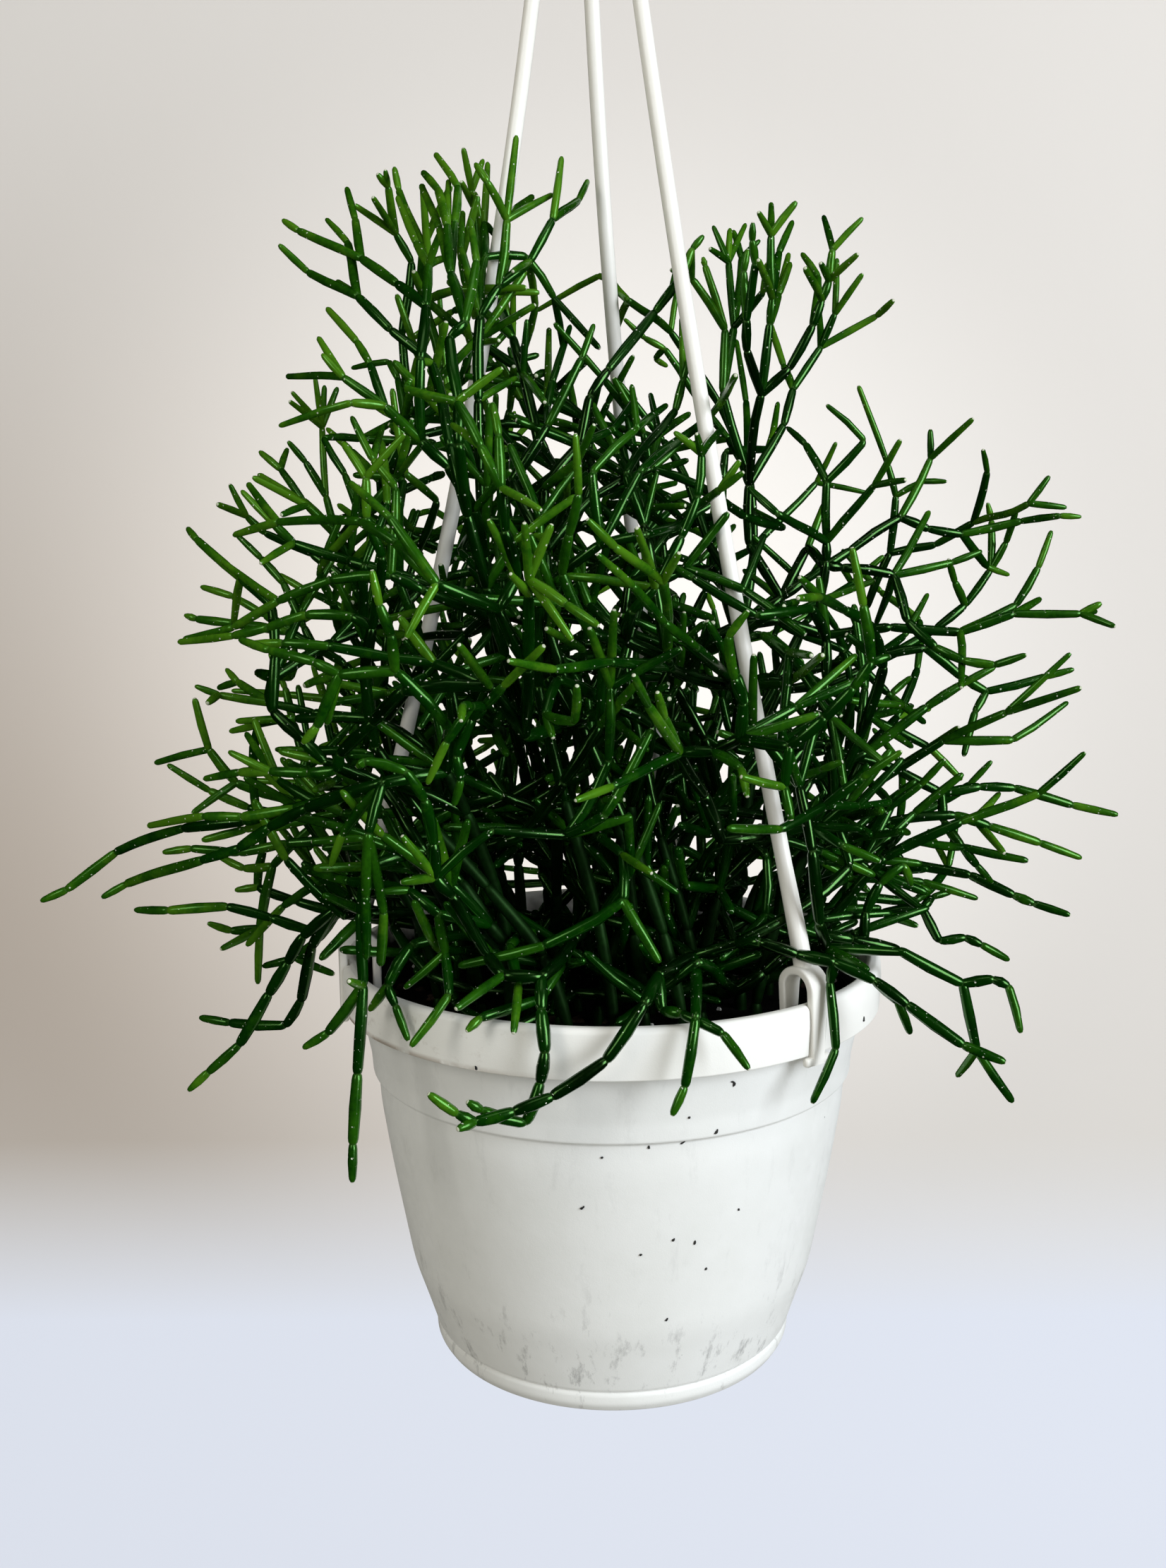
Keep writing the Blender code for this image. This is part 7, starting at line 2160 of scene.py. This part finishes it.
# Scraps of soil that cling to the pot: azimuth, height, length, slant and curl
CRUMBS = [(24.5, -5.8, 2.2, 60, 150), (14.0, -20.7, 1.3, 20, 40), (21.1, -18.5, 1.5, 30, 60),
          (7.0, -21.4, 0.9, 75, 30), (-3.2, -23.6, 0.7, 10, 20), (-26.6, 0.5, 1.1, 70, 80),
          (59.7, 2.6, 1.4, 80, 15), (15.1, -13.2, 0.6, 40, 20), (-7.9, -38.3, 1.4, 15, 60),
          (13.0, -48.5, 1.0, 25, 50), (18.5, -50.5, 1.2, 65, 30), (5.5, -52.0, 0.7, 10, 20),
          (22.0, -59.0, 0.8, 35, 60), (29.5, -43.0, 0.6, 80, 20), (12.5, -73.0, 1.1, 20, 70),
          (118.0, -9.0, 1.6, 50, 110), (171.0, -26.0, 1.1, 20, 60), (-132.0, -15.0, 1.3, 70, 40),
          (-158.0, -44.0, 0.8, 30, 30), (143.0, -61.0, 1.0, 60, 60), (-95.0, -31.0, 1.0, 15, 90)]
CRUMB_THICK = 0.3
CRUMB_LIFT = 0.4
CRUMB_SIDES = 6
CRUMB_TAPER = (0.5, 1.0, 1.1, 0.9, 0.8, 0.4)
CRUMB_UNEVEN = (0.8, 1.2)
# height at which the rim band is widest
BULGE_HEIGHT = 8.5


def wall_radius(height):
    """Outer radius of the pot at a height."""
    if height > 0:
        return RIM_RADIUS + RIM_BULGE * height / BULGE_HEIGHT
    rows = sorted((h, r) for r, h in OUTER_WALL)
    return float(np.interp(height, [h for h, _ in rows], [r for _, r in rows]))


def crumbs(mat):
    """Thin curled scraps on the pot's outer wall."""
    rng = random.Random(SEED + 6)
    points, faces = [], []
    for azimuth, height, length, slant, curl in CRUMBS:
        heading, spot = math.radians(slant), np.array([0.0, 0.0])
        path = []
        steps = len(CRUMB_TAPER) - 1
        for _ in CRUMB_TAPER:
            path.append(spot)
            spot = spot + np.array([math.cos(heading), math.sin(heading)]) * length / steps
            heading += math.radians(curl) / steps
        line = []
        for along, rise in path:
            z = height + rise
            r = wall_radius(z) + CRUMB_THICK * CRUMB_LIFT
            a = math.radians(azimuth) + along / r
            line.append((r * math.sin(a), -r * math.cos(a), z))
        thick = [CRUMB_THICK * t * rng.uniform(*CRUMB_UNEVEN) for t in CRUMB_TAPER]
        more, sides = swept_faces(line, lambda i: round_outline(thick[i], CRUMB_SIDES))
        faces += [tuple(len(points) + k for k in face) for face in sides]
        points += more
    return piece_from("soil_crumbs", points, faces, mat)


# Hanger

# the least cosine of half a bend that a strip is widened for
SHARPEST_MITRE = 0.75


def swept_faces(path, outline, across=None):
    """Points and faces of outline(i) swept along a path; given across, a flat strip that mitres."""
    path = [np.asarray(p, float) for p in path]
    flat = across is not None
    if not flat:
        across = np.cross(path[1] - path[0], SKEW)
    points, rings = [], []
    for i, p in enumerate(path):
        back = unit(p - path[max(i - 1, 0)]) if i else unit(path[1] - p)
        ahead = unit(path[i + 1] - p) if i + 1 < len(path) else back
        way = unit(back + ahead)
        mitre = 1 / max(float(np.dot(way, ahead)), SHARPEST_MITRE) if flat else 1.0
        across = unit(across - way * np.dot(across, way))
        up = np.cross(way, across)
        section = outline(i)
        rings.append(list(range(len(points), len(points) + len(section))))
        points += [p + across * a + up * u * mitre for a, u in section]
    faces = [tuple(reversed(rings[0])), tuple(rings[-1])]
    for lower, upper in zip(rings, rings[1:]):
        faces += bridged(lower, upper)
    return points, faces


def soft_strip(width, thick, corner):
    """Outline of a flat strip with rounded corners."""
    w, t = width / 2 - corner, thick / 2 - corner
    out = []
    for cx, cy, start in ((-w, -t, 180), (w, -t, 270), (w, t, 0), (-w, t, 90)):
        for turn in (0, 30, 60, 90):
            a = math.radians(start + turn)
            out.append((cx + corner * math.cos(a), cy + corner * math.sin(a)))
    return out


def round_outline(radius, sides):
    return [(radius * math.cos(2 * math.pi * k / sides), radius * math.sin(2 * math.pi * k / sides))
            for k in range(sides)]


# A clip's width by height, as shares of CLIP_WIDTH: tapered below the rim, widest over it
TAPER_HEIGHTS = [CLIP_FOOT_END, RIM_TOP, 18.5]
TAPER = [0.8, 1.0, 1.24]
CLIP_CORNER = 0.55
CLIP_BEND_STEPS = 15
STRAND_DROP = 1.4
STRAND_STEPS = 60
STRAND_SIDES = 16
# how much wider a strand is at its clip, and over how many steps it narrows from there
FLOW_WIDE = 0.2
FLOW_STEPS = 4.0
FOOT_LIFT = 0.8
FOOT_BEVEL = 0.9


def dress_strand(side_name, azimuth, bow, mat):
    """A strand, its clip over the rim and the clip's foot, as one moulding."""
    out, side = radial(azimuth)
    path = [strand_point(azimuth, bow, s) for s in np.linspace(0, 1, STRAND_STEPS)]
    path[0][2] -= STRAND_DROP
    path[-1][2] = HUB[2] - HUB_HEIGHT / 2 - SEAT_GAP

    def section(i):
        """The strand widens where it flows into its clip."""
        wide = 1 + FLOW_WIDE * max(0.0, 1 - i / FLOW_STEPS)
        return [(x * wide, y * wide) for x, y in round_outline(STRAND_RADIUS, STRAND_SIDES)]

    strand = mesh_object("hanging_" + side_name, *swept_faces(path, section))
    middle = (CLIP_OUTER + CLIP_INNER) / 2
    bend = (CLIP_OUTER - CLIP_INNER) / 2
    route = [(CLIP_OUTER, CLIP_FOOT_END + 1.0), (CLIP_OUTER, 4), (CLIP_OUTER, 10), (CLIP_OUTER, CLIP_LEG_TOP)]
    for k in range(1, CLIP_BEND_STEPS):
        turn = math.pi * k / CLIP_BEND_STEPS
        route.append((middle + bend * math.cos(turn), CLIP_LEG_TOP + bend * math.sin(turn)))
    route += [(CLIP_INNER, CLIP_LEG_TOP), (CLIP_INNER, 9), (CLIP_INNER, CLIP_INNER_END)]
    clip_path = [out * radius + np.array([0, 0, z]) for radius, z in route]

    def strip(i):
        """The outer leg tapers down through the notch; the bend is widest."""
        wide = float(np.interp(route[i][1], TAPER_HEIGHTS, TAPER))
        return soft_strip(CLIP_WIDTH * wide, CLIP_THICK, CLIP_CORNER)

    clip = mesh_object("clip", *swept_faces(clip_path, strip, side))
    half = CLIP_THICK / 2
    foot = mesh_object("foot", *radial_block(azimuth, CLIP_OUTER - half, CLIP_OUTER + half, CLIP_FOOT_WIDTH,
                                             CLIP_FOOT_END + FOOT_LIFT, -SEAT_GAP))
    soften = foot.modifiers.new("soften", "BEVEL")
    soften.width = FOOT_BEVEL * MM
    soften.segments = 3
    apply_boolean(strand, [clip, foot], "UNION")
    strand.data.shade_smooth()
    strand.data.set_sharp_from_angle(angle=HANGER_SHARP)
    return place_piece(strand, mat, ["hanger_strand_" + side_name])


# The hook's shank from the hub up, and where its round bend starts and how far it turns
SHANK = [(0.0, 1.0), (0.0, 5.0), (0.3, 9.0), (1.5, 12.0), (3.6, 14.8), (6.4, 17.2), (9.2, 19.6)]
HOOK_START = -18
HOOK_TURN = 222
HOOK_STEPS = 36
HOOK_CORNER = 0.9
# how narrow the hook's free end is, and over how many steps
HOOK_END = 0.6
HOOK_END_STEPS = 2
# the chamfer round the hub's top, how its corners are rounded, and its sides
HUB_CHAMFER = 2.5
HUB_ROUNDING = [0, 1.0, 1.5, 1.5, 0]
HUB_SIDES = 48


def dress_hook(mat):
    """The hub that the strands meet in, and the flat open hook on it, as one moulding."""
    middle = HOOK_INNER_RADIUS + HOOK_THICK / 2
    centre = HOOK_BEARING - np.array([0, 0, HOOK_INNER_RADIUS])
    path = [HUB + np.array([x, 0, z]) for x, z in SHANK]
    for k in range(HOOK_STEPS + 1):
        a = math.radians(HOOK_START + HOOK_TURN * k / HOOK_STEPS)
        path.append(centre + middle * np.array([math.cos(a), 0, math.sin(a)]))

    def strip(i):
        """The strip narrows at the hook's free end."""
        ends = min(1.0, HOOK_END + (1 - HOOK_END) * (len(path) - 1 - i) / HOOK_END_STEPS)
        return soft_strip(HOOK_WIDTH * ends, HOOK_THICK * ends, HOOK_CORNER * ends)

    hook = mesh_object("hanging_hook", *swept_faces(path, strip, np.array([0, 1.0, 0])))
    low, high = HUB[2] - HUB_HEIGHT / 2, HUB[2] + HUB_HEIGHT / 2
    edge = HUB_RADIUS - HUB_CHAMFER
    profile = [(0, low), (HUB_RADIUS, low), (HUB_RADIUS, high - HUB_CHAMFER), (edge, high), (0, high)]
    points, faces = turned_faces(rounded(profile, HUB_ROUNDING), HUB_SIDES)
    hub = mesh_object("hub", np.array(points) + np.array([HUB[0], HUB[1], 0]), faces)
    apply_boolean(hook, [hub], "UNION")
    hook.data.shade_smooth()
    hook.data.set_sharp_from_angle(angle=HANGER_SHARP)
    return place_piece(hook, mat, ["hanger_hook"])


# Camera, backdrop and light

CAMERA_SPOT = np.array([-7.33, -435.7, 130.75])
CAMERA_PITCH = 9.0
CAMERA_TILT = 0.37
CAMERA_LENS = 35.0
CAMERA_SENSOR = 36.0
CAMERA_NEAR = 0.01
CAMERA_FAR = 50.0


def make_camera():
    """The photograph's view: a little above the pot, tipped down and slightly rolled."""
    data = bpy.data.cameras.new("camera")
    data.lens = CAMERA_LENS
    data.sensor_width = CAMERA_SENSOR
    data.clip_start = CAMERA_NEAR
    data.clip_end = CAMERA_FAR
    camera = bpy.data.objects.new("camera", data)
    bpy.context.scene.collection.objects.link(camera)
    turn = Matrix.Rotation(math.radians(CAMERA_TILT), 4, "Y")
    pitch = Matrix.Rotation(math.radians(90 - CAMERA_PITCH), 4, "X")
    camera.matrix_world = Matrix.Translation(Vector(to_frame(CAMERA_SPOT))) @ turn @ pitch
    bpy.context.scene.camera = camera


# The backdrop, as one sheet: the wall's distance, its top, the floor, the bend between them
# and the heights between which the floor's colour turns into the wall's
WALL_DEPTH = 1306.0
WALL_TOP = 4100.0
FLOOR_REACH = 14000.0
FLOOR_HEIGHT = -1118.0
WALL_BEND = 493.0
WALL_BEND_STEPS = 16
FADE_LOW = -790.0
FADE_HIGH = -575.0
# Colours, the round patch of painted shadow on the wall, and the painted glow of the floor and of a round
# patch on the wall
WALL_PALE = (0.865, 0.82, 0.785)
WALL_SHADE = (0.575, 0.495, 0.43)
SHADE_SPOT = (-620.0, 1306.0, -290.0)
SHADE_REACH = 1080.0
FLOOR_PALE = (0.28, 0.30, 0.34)
FLOOR_GLOW = (0.96, 1.0, 1.12)
FLOOR_LIGHT = 0.525
WALL_GLOW_SPOT = (-59.0, 1306.0, -45.0)
SPOT_REACH = 768.0
SPOT_GLOW = 0.40
SPOT_WARM = (1.0, 0.99, 0.96)


def make_backdrop():
    """A pale floor that sweeps up into a wall behind, as one sheet, with a painted shadow and a painted glow
    on the wall and a painted glow on the floor.
    """
    wall, floor, bend = WALL_DEPTH, FLOOR_HEIGHT, WALL_BEND
    line = [(-FLOOR_REACH, floor), (wall - bend, floor)]
    for k in range(1, WALL_BEND_STEPS + 1):
        a = math.radians(90 * k / WALL_BEND_STEPS)
        line.append((wall - bend + bend * math.sin(a), floor + bend - bend * math.cos(a)))
    line.append((wall, WALL_TOP))
    points = [(x, y, z) for y, z in line for x in (-FLOOR_REACH, FLOOR_REACH)]
    faces = [(2 * k, 2 * k + 1, 2 * k + 3, 2 * k + 2) for k in range(len(line) - 1)]
    sheet = mesh_object("backdrop", points, faces)
    sheet.data.shade_smooth()
    n = Nodes("backdrop")
    z = n.add("ShaderNodeSeparateXYZ", {"Vector": n.place()}).outputs["Z"]
    up = n.span(z, FADE_LOW - HOOK_BEARING[2], FADE_HIGH - HOOK_BEARING[2])

    def patch(centre, reach, strength):
        """Round patch on the wall, strongest in the middle, for the painted shadow and the painted glow."""
        far = n.distance(n.place(), tuple(np.array(centre) - HOOK_BEARING))
        ends = {"Value": far, "From Min": 0.0, "From Max": reach, "To Min": strength, "To Max": 0.0}
        node = n.add("ShaderNodeMapRange", ends, interpolation_type="SMOOTHSTEP")
        return node.outputs["Result"]

    # painted shadow: the wall darkens towards a round patch at the left
    wall_with_painted_shadow = n.mix(patch(SHADE_SPOT, SHADE_REACH, 1.0), WALL_PALE, WALL_SHADE)
    n.set(Base_Color=n.mix(up, FLOOR_PALE, wall_with_painted_shadow), Roughness=0.9)
    # painted light: the floor glows, fading out up the wall, and a round patch on the wall glows
    glow = n.math("ADD", n.span(up, 0.0, 1.0, FLOOR_LIGHT, 0.0), patch(WALL_GLOW_SPOT, SPOT_REACH, SPOT_GLOW))
    n.set(Emission_Color=n.mix(up, FLOOR_GLOW, SPOT_WARM), Emission_Strength=glow)
    n.set(Normal=n.bump(n.noise(n.place(), scale=0.02, detail=4), strength=0.08, distance=0.005))
    sheet.data.materials.append(n.mat)
    sheet.visible_glossy = False
    sheet.visible_diffuse = False


# Lights: where each stands, what it faces, its size, its power in watts and its colour
LIGHTS = {
    "window": ((2400, -1995, 1080), (0, 0, 60), (1700, 2150), 105.0, (0.94, 1.0, 1.07)),
    "room": ((-900, -1000, 750), (0, 0, 60), (450, 700), 4.6, (1.0, 0.97, 0.90)),
    "ceiling": ((100, -500, 1400), (0, 0, 80), (900, 500), 1.5, (1.0, 0.98, 0.94)),
}
SKY_COLOUR = (1.0, 0.98, 0.89, 1.0)
SKY_STRENGTH = 0.362


def area_light(name, spot, target, size, power, colour):
    data = bpy.data.lights.new(name, "AREA")
    data.shape = "RECTANGLE"
    data.size = size[0] * MM
    data.size_y = size[1] * MM
    data.energy = power
    data.color = colour
    light = bpy.data.objects.new(name, data)
    bpy.context.scene.collection.objects.link(light)
    spot, target = Vector(to_frame(spot)), Vector(to_frame(target))
    light.location = spot
    light.rotation_euler = (target - spot).to_track_quat("-Z", "Y").to_euler()
    light.visible_camera = False


def make_lights():
    """A large window at the right, weak light from the room and ceiling, and an even pale sky."""
    for name, settings in LIGHTS.items():
        area_light(name, *settings)
    world = bpy.data.worlds.new("world")
    bpy.context.scene.world = world
    world.use_nodes = True
    sky = world.node_tree.nodes["Background"]
    sky.inputs["Color"].default_value = SKY_COLOUR
    sky.inputs["Strength"].default_value = SKY_STRENGTH
    world.cycles_visibility.glossy = False
    bpy.context.scene.view_settings.view_transform = "Standard"
    bpy.context.scene.view_settings.look = "None"


def main():
    make_camera()
    plant = grow_plant()
    listed = heights(plant)
    thicken(plant)
    dress_plant(plant, listed)
    dress_pot(pot_material())
    dress_soil(soil_material())
    chips("soil_perlite", count=60, size=0.85, flat=0.7, mat=perlite_material(), seed=SEED + 4)
    chips("soil_bark", count=90, size=2.4, flat=0.28, mat=bark_material(), seed=SEED + 5)
    crumbs(crumb_material())
    white = hanger_material()
    for side_name, (azimuth, bow) in STRANDS.items():
        dress_strand(side_name, azimuth, bow, white)
    dress_hook(white)
    make_backdrop()
    make_lights()


main()
